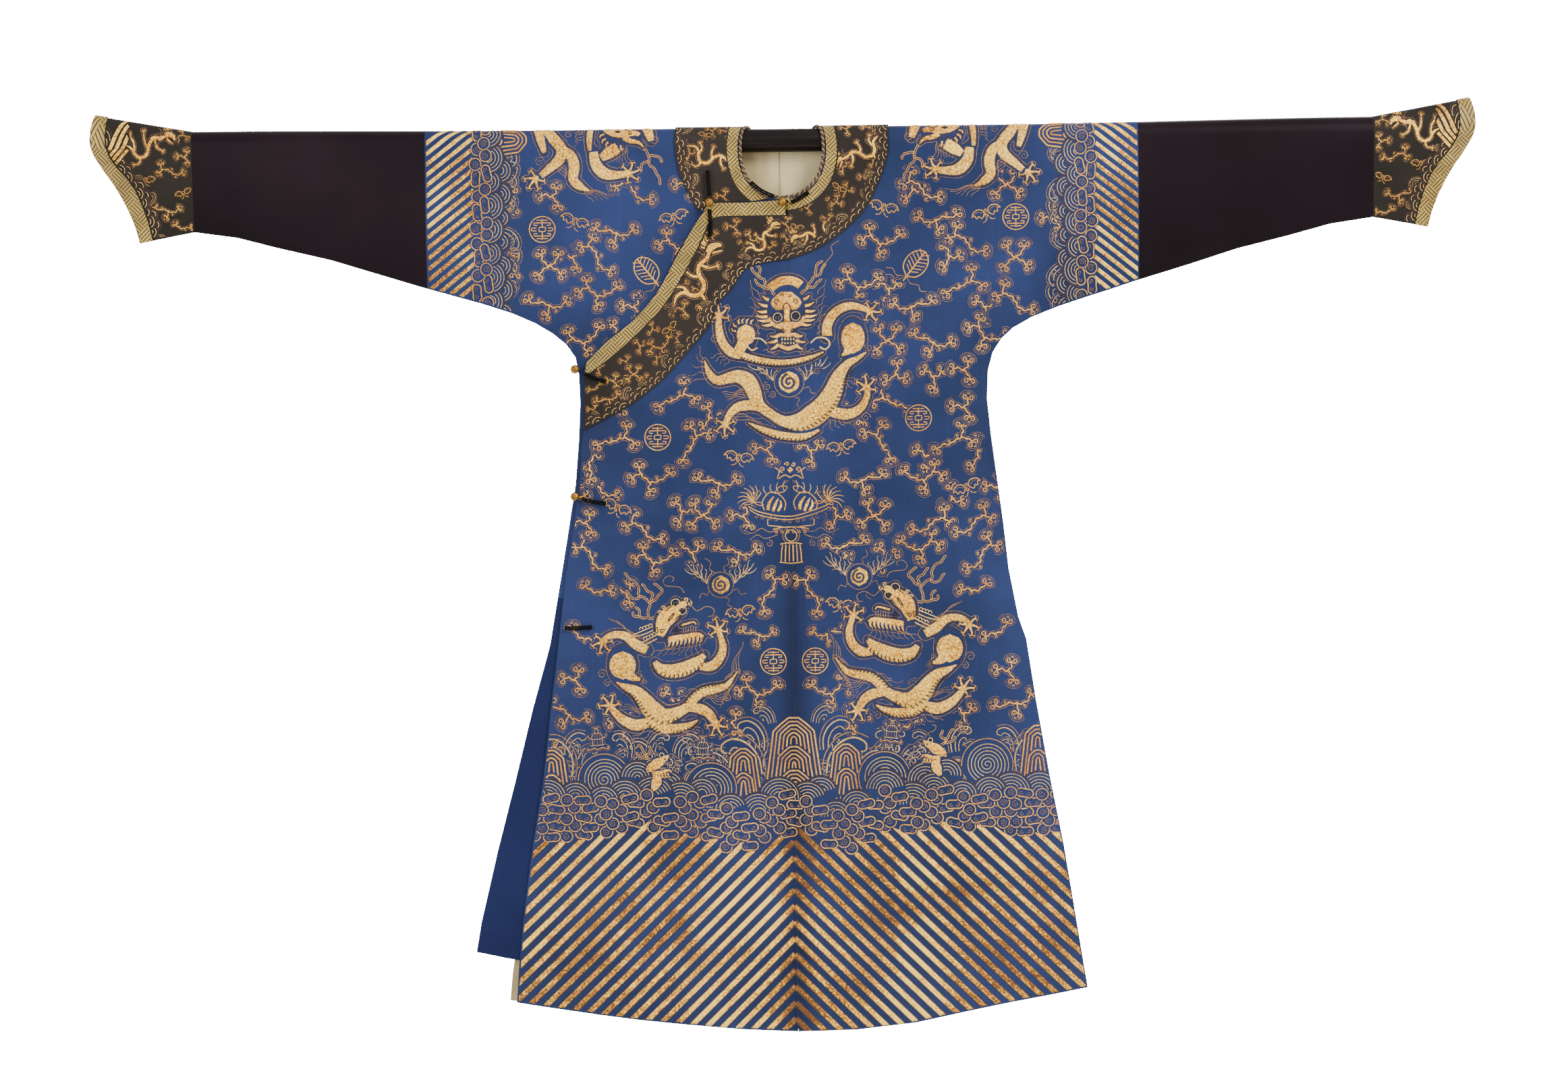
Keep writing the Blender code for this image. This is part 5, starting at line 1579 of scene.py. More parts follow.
def eye(x, z, radius):
    return [disc("eyeball", x, z, radius), arc("pale", x, z, radius + 1.3, 0, 360, 0.75)]


def flames(points, side, count, size=9.0):
    """Tufts that lick back from a line."""
    path = spaced(points, 1.0)
    made = []
    for k in range(count):
        i = int((k + 0.5) / count * (len(path) - 4)) + 1
        along_it = path[i + 2] - path[i]
        along_it = along_it / np.linalg.norm(along_it)
        out = np.array([-along_it[1], along_it[0]]) * side
        a = path[i]
        made.append(pen("padded", [a, a + out * size * 0.5 - along_it * 1.0,
                                   a + out * size + along_it * size * 0.45],
                        (1.9, 1.5, 0.3), 1.5))
    return made


def wavy(points, gap):
    """The line, moved aside and rippled."""
    path = spaced(points, 2.0)
    run = np.arange(len(path)) * 2.0
    heading = np.gradient(path, axis=0)
    heading /= np.linalg.norm(heading, axis=-1, keepdims=True)
    side = np.stack([-heading[:, 1], heading[:, 0]], axis=-1)
    return path + side * (np.sin(run / 2.6) * 0.9 + gap)[:, None]


def antler(points, branches, half=0.62):
    """Forked horn, each branch a narrow loop with rippled sides."""
    made = []
    for branch in [points] + branches:
        loop = np.concatenate([wavy(branch, -1.4), wavy(branch, 1.4)[::-1]])
        made.append(Stitch("gold", loop, np.full(len(loop), half)))
    return made


def outlined_with_edge_shade(design):
    """The design with a dark edge, partly its embroidered outline and partly painted shadow at the foot of
    its padding, and a fine line outside it.
    """
    solid = [item for item in design if item.kind in SATIN]
    # the umber line close to the padded work is partly an embroidered outline and partly painted shadow of
    # the padding
    return design + contour(solid, 1.0, "umber", 0.6) + contour(solid, 3.8, "shade", 0.5)


def rising_dragon():
    """Dragon in profile that rears up, its head towards the pearl."""
    made = []
    body = [(-74, -109), (-61, -116), (-45, -123), (-32, -136), (-20, -152), (-2, -163), (18, -158),
            (35, -149),
            (48, -134), (62, -125), (82, -121), (97, -116), (108, -103), (115, -94)]
    wide = (1, 6, 10, 13, 16, 15, 10.5, 8, 8, 7.5, 7.5, 6, 3, 0.3)
    made.append(pen("scales", body, wide))
    made += belly(body[1:7], -1, 6, 0.5, 12.5) + belly(body[7:12], 1, 5, 0.45, 7.5)
    made += [disc("scales", -64, -83, 22), pen("scales", [(-58, -92), (-48, -102), (-37, -105)],
                                               (12, 7, 2))]
    chest = [(-14, -78), (-5, -89), (12, -93), (33, -89), (52, -79), (63, -68)]
    made += [pen("scales", chest, (4, 10, 11.5, 12, 10, 4))] + belly(chest, -1, 6, 0.5, 10.5)
    made += limb([(-26, -60), (-44, -50), (-58, -38), (-74, -35), (-88, -39), (-94, -46)],
                 (7, 8.5, 7.5, 6.5, 5.5, 4), 205)
    made += limb([(56, -86), (74, -86), (88, -72), (92, -54), (87, -36), (85, -30)],
                 (6, 8, 7.5, 6.5, 5, 4), -5)
    made += limb([(-26, -172), (-44, -176), (-62, -169), (-76, -157), (-84, -146)],
                 (8, 9.5, 8.5, 6.5, 4.5), -30)
    made += limb([(38, -150), (56, -152), (70, -161), (80, -177)], (6, 8.5, 7.5, 5), 160)
    lower = [(-26, -166), (-16, -175), (-4, -180), (16, -182), (38, -177), (52, -169)]
    made += [pen("scales", lower, (6, 8, 8, 7.5, 5, 1))] + belly(lower, -1, 5, 0.55, 7)
    # head
    made += [pen("padded", [(-6, -38), (-3, -28), (2, -14), (14, -3), (28, 8), (36, 13)],
                 (7, 11, 14, 13.5, 9, 4)),
             pen("padded", [(8, -44), (18, -42), (36, -39), (54, -36), (62, -40)], (4.5, 5, 4, 3.5, 2)),
             pen("padded", [(28, -22), (38, -19), (48, -17), (51, -21)], (1.6, 1.6, 1.4, 1.0)),
             curl("pale", 35, 18, 4.2, 250, 1.1, 1.1), curl("pale", 41, 12, 4.2, 60, -1.1, 1.1)]
    for k in range(9):
        x = 9 + 6.2 * k
        made.append(pen("padded", [(x, -43 + k * 0.6), (x + 0.5, -50 + k * 0.6),
                                   (x - 2.5, -56 + k * 0.8)],
                        (2.6, 1.9, 0.3), 1.5))
    made += [polyline("shade", [(31 + 3.8 * k, -24), (31 + 3.8 * k, -34)], 0.7) for k in range(6)]
    made += [curl("ink", 21, -30, 5.5, 100, 1.3, 1.1),
             pen("ink", [(7, -16), (11, -9), (17, -2), (14, -10), (7, -16)], 0.9),
             curl("ink", -2, -31, 4.4, 20, 1.2, 1.0),
             pen("ink", [(-10, -24), (-8, -31), (-12, -34), (-12, -24)], 0.9)]
    made += [pen("ink", [(5 + 3.2 * k, 1 + 2.6 * k), (9 + 3.2 * k, 6 + 2.6 * k)], 0.55,
                 2) for k in range(3)]
    made += [pen("ink", [(18 + 3.0 * k, -14 + 2.6 * k), (22 + 3.0 * k, -9 + 2.6 * k)], 0.55,
                 2) for k in range(3)]
    made += eye(19.5, 12.3, 5.6) + eye(29, 1.4, 5.6)
    made += [curl("pale", -4, -2, 4.0, 180, -1.2, 1.0), curl("pale", 1, 5, 4.0, 160, -1.2, 1.0)]
    for start_at, end_at in (((-16, -26), (-50, -38)), ((-10, -39), (-44, -54))):
        (a, b), (c, d) = start_at, end_at
        made += [pen("pale", [(a, b - 3), ((a + c) / 2, (b + d) / 2 - 4), (c, d),
                              ((a + c) / 2, (b + d) / 2 + 2),
                              (a, b + 3)], 1.0)]
        for k in range(4):
            t = 0.12 + 0.14 * k
            made.append(arc("pale", a + (c - a) * t, b + (d - b) * t + 5, 2.6, 10, 190, 0.8, 1.3))
    made += antler([(-15, -9), (-24, -9), (-21, 10), (-24, 18), (-33, 23), (-38, 28), (-39, 42),
                    (-52, 52), (-60, 61)],
                   [[(-22, 12), (-10, 21), (-2, 31), (-5, 38), (-15, 43)],
                    [(-18, 17), (-16, 26), (-24, 33), (-33, 43)],
                    [(-35, 24), (-45, 19), (-51, 26), (-58, 33)],
                    [(-26, -9), (-36, -9), (-45, -6), (-47, 0)],
                    [(-36, -8), (-37, 0), (-43, 8)]])
    hairs = fan_of([(6, -56), (56, -46)], [(-20, -66), (62, -72)], 10)
    hairs += fan_of([(-20, -48), (-30, -52)], [(-70, -18), (-84, -8)], 4)
    hairs += fan_of([(96, -108), (114, -98)], [(110, -78), (122, -48)], 4)
    hairs += fan_of([(100, -120), (108, -110)], [(96, -140), (84, -150)], 3)
    hairs += fan_of([(50, -120), (24, -146)], [(26, -128), (-8, -140)], 3)
    hairs += fan_of([(-30, -152), (-34, -156)], [(-62, -144), (-70, -150)], 3)
    hairs += fan_of([(6, -190), (-30, -184)], [(-10, -204), (-52, -196)], 4)
    hairs += fan_of([(60, -132), (78, -130)], [(88, -146), (100, -138)], 4)
    made_hair = strands(hairs)
    made_hair += [pen("shade", [(33, 28), (26, 37), (4, 40), (1, 49), (9, 55), (18, 51), (14, 46)],
                      (0.9, 0.7)),
                  pen("shade", [(44, 8), (53, 0), (67, 7), (79, 2), (77, -7), (70, -9)], (0.9, 0.7)),
                  curl("shade", -96, -96, 8, 0, 1.5, 0.7), curl("shade", -88, -110, 6, 90, 1.4, 0.7),
                  curl("shade", -38, -98, 6, 60, 1.5, 0.7), curl("shade", -30, -108, 5, 120, 1.4, 0.7),
                  curl("shade", 98, -134, 7, 200, 1.4, 0.7), curl("shade", 50, -186, 7, 30, 1.4, 0.7)]
    return outlined_with_edge_shade(made) + made_hair


def facing_dragon():
    """Dragon seen from the front, coiled round a pearl."""
    made = []
    coil = [(120, -57), (106, -67), (92, -74), (78, -92), (66, -122), (48, -146), (20, -163), (-8, -163),
            (-28, -152),
            (-47, -136), (-55, -116), (-63, -100), (-79, -92), (-96, -95), (-112, -98), (-124, -86),
            (-131, -66)]
    made += belly(coil[2:8], 1, 6, 0.42, 15)
    made.append(pen("scales", coil, (1.5, 5, 8, 13, 16, 18, 19, 15, 9, 7.5, 8.5, 12, 13, 10, 8, 5.5,
                                     0.5)))
    made += [disc("padded", 100, -35, 19.5, 1.25),
             pen("padded", [(98, -48), (88, -58), (82, -62)], (12, 6, 1)),
             disc("padded", -66, -28, 15.5, 1.1),
             pen("padded", [(-70, -40), (-76, -50), (-82, -56)], (10, 9, 7))]
    made += flames([(-82, -24), (-78, -12), (-66, -10), (-54, -12)], 1, 6, 8)
    neck_band = [(-76, -58), (-52, -66), (-24, -71), (2, -71), (31, -65), (54, -56)]
    made += belly(neck_band, -1, 5, 0.6, 5) + [pen("scales", neck_band, (5.5, 5.5, 5, 4.8, 4, 1))]
    made += limb([(-74, -58), (-90, -54), (-103, -38), (-108, -16), (-107, 2)], (8, 7.5, 7, 6, 4), 0)
    made += limb([(60, -31), (61, -12), (74, 6), (94, 15), (114, 12), (126, 6)], (8.5, 8, 7.5, 7, 5.5, 4),
                 100)
    lower = [(-64, -164), (-42, -175), (-15, -184), (20, -187), (46, -177)]
    made += belly(lower, -1, 6, 0.6, 6) + [pen("scales", lower, (1, 5.5, 6.5, 6, 2))]
    made += limb([(-28, -148), (-54, -138), (-78, -139), (-92, -150), (-100, -166)],
                 (5, 7.5, 8.5, 6.5, 4.5), 190)
    made += limb([(62, -148), (90, -153), (111, -143), (121, -124), (120, -112)], (8, 9.5, 7.5, 5.5, 4.5),
                 0)
    # face
    made += [pen("padded", [(-27, 44), (-15, 53), (0, 56), (13, 53), (20, 48)], 7.4),
             pen("amber", [(-3, 38), (-3, 30), (-3, 20), (-3, 10)], (9, 22, 27, 17)),
             pen("amber", [(-29, -1), (-24, -10), (-12, -14), (-2, -15), (9, -13), (20, -9), (25, 0)],
                 (2, 5, 6, 6.5, 6, 5, 2)),
             pen("padded", [(-2.5, 20), (-2, 6), (-2, -8)], (4.5, 4.8, 5.2)),
             disc("amber", -1, -21, 8.5, 0.75),
             pen("amber", [(-18, -30), (-9, -28), (-1, -30), (8, -28), (16, -30)],
                 (2.5, 3.2, 3, 3.2, 2.5)),
             pen("amber", [(-16, -44), (-8, -48), (-1, -50), (7, -48), (15, -44)],
                 (2.5, 3.2, 3.6, 3.2, 2.5))]
    for x in (-9, -4.5, 0, 4.5, 9):
        made += [polyline("pale", [(x - 1, -33.5), (x - 1, -37)], 1.2, 1.5),
                 polyline("pale", [(x - 1, -40), (x - 1, -43)], 1.2, 1.5)]
    made += [pen("shade", [(-17, -33), (-19, -39), (-15, -43)], 0.7),
             pen("shade", [(15, -33), (17, -39), (13, -43)], 0.7)]
    made += eye(-16.5, -1.5, 5.6) + eye(11.5, 0.5, 5.6)
    made += [arc("navy", -16.5, -1.5, 9.0, 0, 360, 0.9), arc("navy", 11.5, 0.5, 9.0, 0, 360, 0.9),
             pen("ink", [(-8, -4), (-8, 12), (-5, 20), (0, 20), (4, 12), (4, -4)], 0.9)]
    for side in (1, -1):
        made += [curl("ink", side * 6 - 1, -22, 3.2, 90, -1.2 * side, 0.9),
                 curl("ink", side * 14 - 3, 24, 5, 270, 1.1 * side, 0.8),
                 curl("ink", side * 6 - 3, 33, 3.6, 200, 1.0 * side, 0.7)]
        for (x, z), (p, r) in (((27, 26), (37, 33)), ((29, 16), (44, 22)), ((30, 8), (46, 9)),
                               ((29, 0), (48, 2)),
                               ((27, -6), (45, -5)), ((23, -12), (39, -13)), ((13, -30), (26, -30)),
                               ((14, -37), (30, -40)), ((13, -44), (26, -51))):
            made.append(pen("padded", [(side * x - 3, z), (side * (x + p) / 2 - 3, (z + r) / 2 - 1.6),
                                       (side * p - 3, r)],
                            (2.6, 2.2, 0.4), 1.6))
        made += antler([(side * 20, 34), (side * 34, 50), (side * 38, 58), (side * 50, 66),
                        (side * 58, 82)],
                       [[(side * 44, 62), (side * 44, 76), (side * 54, 86)],
                        [(side * 28, 44), (side * 40, 46), (side * 52, 58)]])
        made.append(pen("pale", [(side * 34, -42), (side * 44, -34), (side * 58, -35), (side * 64, -44),
                                 (side * 57, -52), (side * 48, -48)], (1.3, 1.6, 1.4)))
    hairs = []
    for side in (1, -1):
        hairs += fan_of([(side * 46, 34), (side * 44, -28)], [(side * 60, 56), (side * 58, -22)], 7)
        hairs += fan_of([(side * 14, -56), (side * 26, -54)], [(side * 26, -60), (side * 40, -52)], 3)
    hairs += fan_of([(-126, -92), (-133, -66)], [(-162, -104), (-140, -44)], 5)
    hairs += fan_of([(60, -160), (84, -164)], [(66, -178), (96, -170)], 4)
    hairs += fan_of([(-86, -156), (-88, -150)], [(-42, -166), (-40, -158)], 3)
    hairs += fan_of([(-62, -122), (-70, -112)], [(-96, -128), (-104, -118)], 5)
    hairs += fan_of([(-92, -66), (-104, -56)], [(-100, -76), (-122, -62)], 4)
    hairs += fan_of([(92, -94), (84, -104)], [(104, -100), (98, -112)], 3)
    made_hair = strands(hairs)
    for side in (1, -1):
        made_hair.append(pen("shade", [(side * 52, 70), (side * 60, 84), (side * 70, 96),
                                       (side * 68, 108),
                                       (side * 80, 116)], (1.0, 0.7)))
    made_hair += [curl("shade", -114, -34, 7, 60, 1.5, 0.7), curl("shade", 124, -50, 7, 120, 1.5, 0.7),
                  curl("shade", 118, -158, 8, 0, 1.5, 0.7), curl("shade", -34, -108, 7, 90, 1.5, 0.7),
                  curl("shade", -26, -120, 6, 200, 1.5, 0.7), curl("shade", 44, -86, 6, 40, 1.4, 0.7)]
    return outlined_with_edge_shade(made) + made_hair


def shoulder_dragon():
    """Dragon that lies over the shoulder; its front half, drawn down from the fold."""
    made = [pen("scales", [(-120, 16), (-116, -4), (-110, -26)], (8, 7, 4)),
            pen("scales", [(-108, 16), (-96, -4), (-84, -20), (-86, -36), (-104, -52), (-116, -62)],
                (9, 9, 9, 9, 7, 5)),
            pen("scales", [(-86, -22), (-70, -30), (-64, -48), (-66, -68), (-54, -80), (-40, -86)],
                (8, 8, 9, 8, 7, 1)),
            pen("scales", [(-38, 16), (-40, -6), (-40, -24)], (5, 5, 3)),
            pen("scales", [(-34, -26), (-30, -46), (-16, -60), (4, -62), (18, -60)], (7, 9, 10, 7, 5)),
            pen("padded", [(-22, -36), (-10, -28), (4, -20)], (6, 10, 9)),
            pen("padded", [(48, 18), (52, 4), (56, -10)], (8, 8, 5))]
    made += paw(-124, -66, 225) + paw(20, -60, 80)
    made += [pen("padded", [(-16, 14), (0, 8), (14, 6), (30, 4), (38, 0)], (8, 12, 12, 8, 3)),
             pen("padded", [(14, -4), (24, -10), (36, -12), (44, -20)], (5, 4, 3, 1))]
    made += flames([(-18, 4), (-12, -10), (0, -16), (14, -16)], -1, 6, 9)
    made += eye(4, 6, 6.0)
    made += [pen("ink", [(14, 12), (22, 6), (30, 8)], 0.8), curl("ink", 24, 2, 4, 90, 1.2, 0.8)]
    made += antler([(44, -22), (52, -32), (52, -44), (64, -60), (70, -78)],
                   [[(52, -34), (66, -34), (72, -44)],
                                                                          [(52, -40), (42, -46),
                                                                                  (38, -56)]])
    hairs = fan_of([(-14, -20), (16, -20)], [(-14, -40), (24, -44)], 8)
    hairs += fan_of([(-52, -82), (-40, -86)], [(-36, -104), (6, -92)], 6)
    hairs += fan_of([(-92, -44), (-86, -40)], [(-80, -66), (-72, -60)], 4)
    hairs += fan_of([(-50, 10), (-52, -6)], [(-62, 4), (-64, -16)], 4)
    made_hair = strands(hairs)
    made_hair += [curl("shade", -118, -40, 8, 0, 1.5, 0.6), curl("shade", 62, -8, 8, 120, 1.5, 0.6),
                  curl("shade", -72, 2, 7, 40, 1.4, 0.6), curl("shade", -56, 8, 7, 200, 1.4, 0.6)]
    return outlined_with_edge_shade(made) + made_hair


def long_dragon():
    """Slender dragon for the trimmings: a winding body, four legs and a maned head."""
    body = [(-52, -34), (-44, -22), (-30, -20), (-20, -30), (-6, -32), (4, -20), (2, -4), (8, 10),
            (22, 14), (32, 24)]
    made = [pen("padded", body, (0.6, 2.2, 3.0, 3.6, 3.8, 3.8, 3.6, 3.4, 3.0, 2.6))]
    legs = [[(-24, -24), (-28, -12), (-38, -8)], [(-8, -32), (-4, -44), (-14, -50)],
            [(4, -8), (-8, -2), (-14, 8)],
            [(10, 10), (20, 0), (32, -2)]]
    for leg in legs:
        made.append(pen("padded", leg, (2.6, 2.2, 1.4)))
        (x, z), (p, r) = leg[-2], leg[-1]
        aim = math.atan2(p - x, r - z)
        for spread in (-0.9, -0.3, 0.3, 0.9):
            turn = aim + spread
            made.append(pen("gold", [(p, r), (p + 7 * math.sin(turn), r + 7 * math.cos(turn))],
                            (1.2, 0.6)))
    made += [pen("padded", [(28, 22), (36, 28), (46, 28), (52, 24)], (4.0, 6.2, 4.6, 2.2)),
             pen("amber", [(34, 19), (42, 18), (50, 17)], (2.0, 1.8, 1.0))]
    made += eye(39, 30, 1.9) + flames([(26, 30), (30, 36), (38, 40)], 1, 4, 7)
    hairs = fan_of([(24, 22), (26, 12)], [(10, 30), (16, 2)], 4) + fan_of([(-50, -30), (-54, -36)],
            [(-66, -26), (-64, -46)], 4)
    return made + contour(made, 1.8, "shade", 0.5) + antler([(32, 34), (24, 42), (22, 54)],
            [[(26, 40), (34, 50)]], 0.6) + strands(hairs)


def little_dragon():
    """Small dragon's head and neck that rise from the waves."""
    made = [pen("padded", [(-10, -46), (-4, -34), (-2, -22)], (3, 9, 6)),
            pen("padded", [(-14, -10), (-2, -4), (10, 4), (16, 8)], (6, 9, 6, 2)),
            pen("padded", [(-10, -18), (2, -18), (16, -14), (20, -18)], (3, 3, 2.6, 1))]
    made += flames([(-10, -20), (4, -20), (18, -18)], -1, 6, 8)
    made += flames([(-16, -4), (-20, -12), (-18, -20)], 1, 4, 9)
    made += eye(5, 9, 2.4) + eye(10, 3, 2.4)
    made += antler([(-12, 2), (-20, 8), (-24, 18), (-32, 26)], [[(-20, 8), (-12, 14), (-14, 24)],
                                                                [(-16, 5), (-28, 6), (-34, 14)]], 0.6)
    made += strands(fan_of([(16, 10), (20, 6)], [(40, 2), (36, -6)], 2))
    made.append(pen("shade", [(14, 12), (8, 20), (-2, 24), (-4, 32), (2, 32)], 0.7))
    return made


def dish_of_peaches():
    """Dish with two peaches, flowers and leaves, a crown above and a tassel below."""
    made = [pen("gold", [(-66, 6), (-44, -4), (0, -10), (44, 2), (62, 10)], 1.0),
            pen("gold", [(-64, 1), (-44, -9), (0, -15), (44, -4), (60, 4)], 0.8)]
    for k in range(11):
        x = -54 + 10.6 * k
        made.append(curl("shade", x, -18 + abs(x) * 0.16, 4.6, 90, 1.0 if k % 2 else -1.0, 0.6))
    for x, flip in ((-25, 1), (24, -1)):
        made += [pen("gold", [(x - 16, 0), (x - 19, 13), (x - 8, 27), (x + 6, 25), (x + 17, 12),
                              (x + 15, -1)], 0.95),
                 pen("padded", [(x - 10, 0), (x - 9, 10), (x - 1, 21)], (2.6, 2.6, 0.8)),
                 pen("padded", [(x - 3, -2), (x + 1, 8), (x + 6, 18)], (2.4, 2.6, 0.8)),
                 pen("padded", [(x + 5, -2), (x + 10, 7), (x + 9, 15)], (2.0, 2.2, 0.8)),
                 pen("gold", [(x, 26), (x + flip * 8, 36), (x + flip * 20, 36), (x + flip * 14, 28),
                              (x, 26)], 0.8)]
    for x in (-57, 52):
        for k in range(5):
            turn = math.radians(72 * k + 18)
            made.append(curl("shade", x + 7 * math.cos(turn), 26 + 7 * math.sin(turn), 3.6, 72 * k, 1.1,
                             0.6))
        made.append(curl("gold", x, 26, 2.4, 0, 1.5, 0.8))
        for a, b in ((-12, 16), (12, 16), (-16, -2), (15, -4), (0, 20)):
            made.append(pen("gold", [(x, 12), (x + a * 0.6, 12 + b * 0.4 + 2), (x + a, 12 + b),
                                     (x + a * 0.5, 12 + b * 0.6 - 2), (x, 12)], 0.6))
    for side in (1, -1):
        for k in range(7):
            turn = math.radians(-28 + 21 * k)
            root = (side * 58, 14)
            tip = (side * (58 + 25 * math.cos(turn)), 14 + 25 * math.sin(turn))
            bow = (side * (58 + 15 * math.cos(turn + 0.3)), 14 + 15 * math.sin(turn + 0.3))
            made.append(pen("crest" if k % 2 else "gold", [root, bow, tip], (0.7, 1.0, 0.4)))
        for k in range(4):
            made.append(pen("crest", [(side * (10 + 9 * k), 30 - 2 * k),
                                      (side * (12 + 10 * k), 38 - 2 * k),
                                      (side * (8 + 11 * k), 46 - 3 * k)], (0.6, 1.0, 0.4)))
        made += [pen("gold", [(0, 50), (side * 9, 54), (side * 20, 48), (side * 17, 60), (side * 24, 66)],
                     1.0),
                 curl("gold", side * 12, 63, 5, 270, 1.3 * side, 0.9),
                 curl("gold", side * 5, 71, 4, 200, 1.2 * side, 0.9),
                 pen("shade", [(side * 3, 46), (side * 12, 38), (side * 9, 30)], 0.6),
                 pen("shade", [(side * 16, -30), (side * 34, -34), (side * 46, -28), (side * 60, -36),
                               (side * 74, -30)], 0.7),
                 pen("shade", [(side * 20, -38), (side * 40, -44), (side * 52, -38), (side * 64, -46)],
                     0.7),
                 curl("shade", side * 34, -52, 6, 90, 1.3 * side, 0.6),
                 polyline("gold", [(side * 36, -14), (side * 36, -24), (side * 14, -26)], 0.8)]
    made += [disc("padded", 0, 62, 5), arc("gold", 0, -40, 9, 0, 360, 0.9),
             arc("shade", 0, -40, 13, 0, 360, 0.6),
             pen("gold", [(-28, -30), (-12, -27), (12, -27), (28, -30)], 0.9)]
    for k in range(6):
        made.append(curl("bronze", -22 + 8.8 * k, -34, 3.4, 90, 1.3, 0.7))
    for k in range(6):
        x = -15 + 6 * k
        made.append(pen("gold" if k % 2 else "bronze", [(x * 0.9, -54), (x, -66), (x * 1.05, -80)], 1.2))
    made += [pen("gold", [(-17, -53), (0, -51), (17, -53)], 1.0),
             pen("gold", [(-18, -81), (0, -83), (18, -81)], 1.0)]
    return made


def arch(kind, top, wide, foot, half):
    """Angular arch of a rock, a little wider at its foot."""
    right = [(0.24 * wide, top), (0.62 * wide, top - 0.30 * wide), (0.96 * wide, top - 0.62 * wide),
             (1.02 * wide, top - 1.1 * wide), (1.02 * wide + 0.10 * (top - foot), foot)]
    return polyline(kind, [(-x, z) for x, z in right[::-1]] + right, half)


def hook(tall=30.0):
    """Crest of spray: hooked lines with small curls inside."""
    s = tall / 30.0
    made = [pen("crest", [(0, 0), (1, 13), (8, 24), (18, 29), (27, 26), (28, 20), (24, 19)],
                (0.75, 0.95, 0.8)),
            pen("crest", [(5, 0), (6, 10), (11, 19), (19, 22.5), (23, 18)], 0.65),
            pen("crest", [(9, 0), (10, 8), (14, 14), (19, 15), (20, 12)], 0.6),
            curl("crest", 15.5, 7, 2.4, 90, -1.1, 0.6),
            pen("shade", [(-3.2, 0), (-2.4, 14), (5, 27), (17, 33), (29, 30)], 0.6)]
    return moved(made, size=s)


def foam_ring(turn):
    return [arc("gold", 0, 0, 9.6, 0, 360, 0.95, 0.94), curl("shade", 0, 0, 5.8, turn, 1.7, 0.5)]


def foam_pair():
    lobe = np.radians(np.linspace(-112, 112, 15))
    right = np.stack([6.3 + 6.9 * np.cos(lobe), 6.8 * np.sin(lobe)], axis=-1)
    rim = np.concatenate([right, -right, right[:1]])
    made = [Stitch("gold", rim, np.full(len(rim), 1.1))]
    return made + [curl("shade", 5.9, -0.2, 4.0, 200, 1.2, 0.55),
                   curl("shade", -5.9, -0.2, 4.0, -20, -1.2, 0.55)]


def pavilion():
    """Small roofed tower that floats above the waves."""
    made = [pen("crest", [(-17, 9), (-13, 3), (0, 1), (13, 3), (17, 9)], 0.9),
            polyline("crest", [(-11, 3), (-6, 12), (6, 12), (11, 3)], 0.8),
            polyline("crest", [(-13, -10), (13, -10)], 0.9), polyline("crest", [(-9, 1), (-9, -10)], 0.8),
            polyline("crest", [(9, 1), (9, -10)], 0.8),
            polyline("crest", [(-3, 12), (-3, 20), (3, 20), (3, 12)], 0.7),
            pen("gold", [(-6, 23), (0, 21), (6, 23)], 0.8), polyline("shade", [(-5, 4), (-2, 11)], 0.6),
            polyline("shade", [(0, 4), (1, 11)], 0.6), polyline("shade", [(5, 4), (4, 11)], 0.6)]
    made += [polyline("shade", [(x, -1), (x, -9)], 0.6) for x in (-5, 0, 5)]
    made += [curl("gold", -17, -17, 3.4, 90, 1.2, 0.9), curl("gold", 17, -17, 3.4, 90, -1.2, 0.9),
             pen("gold", [(-14, -17), (-6, -15), (0, -18), (7, -15), (14, -17)], 1.0)]
    return made + contour(made, 2.2, half=0.45)


def hill(radius, lines=5):
    """Swell: arcs inside one another."""
    made = [arc("umber", 0, 0, radius, 4, 176, 0.8)]
    for k in range(1, lines + 1):
        r = radius + 1.6 - 4.9 * k
        if r > 3:
            made.append(arc("crest", 0, 0, r, 6, 174, 0.8))
    return made


def whirl(radius=39.0):
    """Round wave: one line that winds in, within a ring."""
    return [arc("bronze", 0, 0, radius + 1.0, 0, 360, 0.9),
            curl("crest", 0, 0, radius - 4.5, 250, 6.2, 0.85, 0.04)]


# ---------------------------------------------------------------- grounds of the robe
def level(rows):
    """Places of flat spots, whose second number is a distance from the fold."""
    return [(row[0], QUARTER - abs(row[1])) for row in rows]


OVERLAP_SHAPE = [*OVERLAP_TOP[::-1], *OVERLAP_SIDE,
                 OVERLAP_CORNER] + [row for row in HEM if row.x < 0.01] + [
    Line(CENTRE_SEAM, HEM[3].z)]
RIGHT_ABOVE = [Line(-row.right, row.z) for row in SIDE if row.z > OVERLAP_SIDE[8].z]
FRONT_SHAPE = ([Line(SEAM_LEFT, QUARTER)] + [Line(row.left, row.z) for row in SIDE] + HEM[:0:-1]
               + [OVERLAP_CORNER] + OVERLAP_SIDE[:7:-1] + RIGHT_ABOVE[::-1] + [Line(-SEAM_RIGHT,
                       QUARTER)])
BACK_SHAPE = ([Line(SEAM_LEFT, QUARTER)] + [Line(row.left, row.z) for row in SIDE] + HEM[::-1]
              + [Line(-row.right, row.z) for row in SIDE[::-1]] + [Line(-SEAM_RIGHT, QUARTER)])
FACING_SHAPE = level(FACING_LEFT) + FACING_LOWER + OVERLAP_SIDE[9:3:-1] + level(FACING_RIGHT[::-1])
FACING_BACK_SHAPE = level(FACING_BACK) + [(-x, z) for x, z in level(FACING_BACK)[::-1]]
EDGING_SHAPE = BAND_LOWER + OVERLAP_SIDE[9::-1] + OVERLAP_TOP
RIM = 0.0022             # bare cloth along every edge


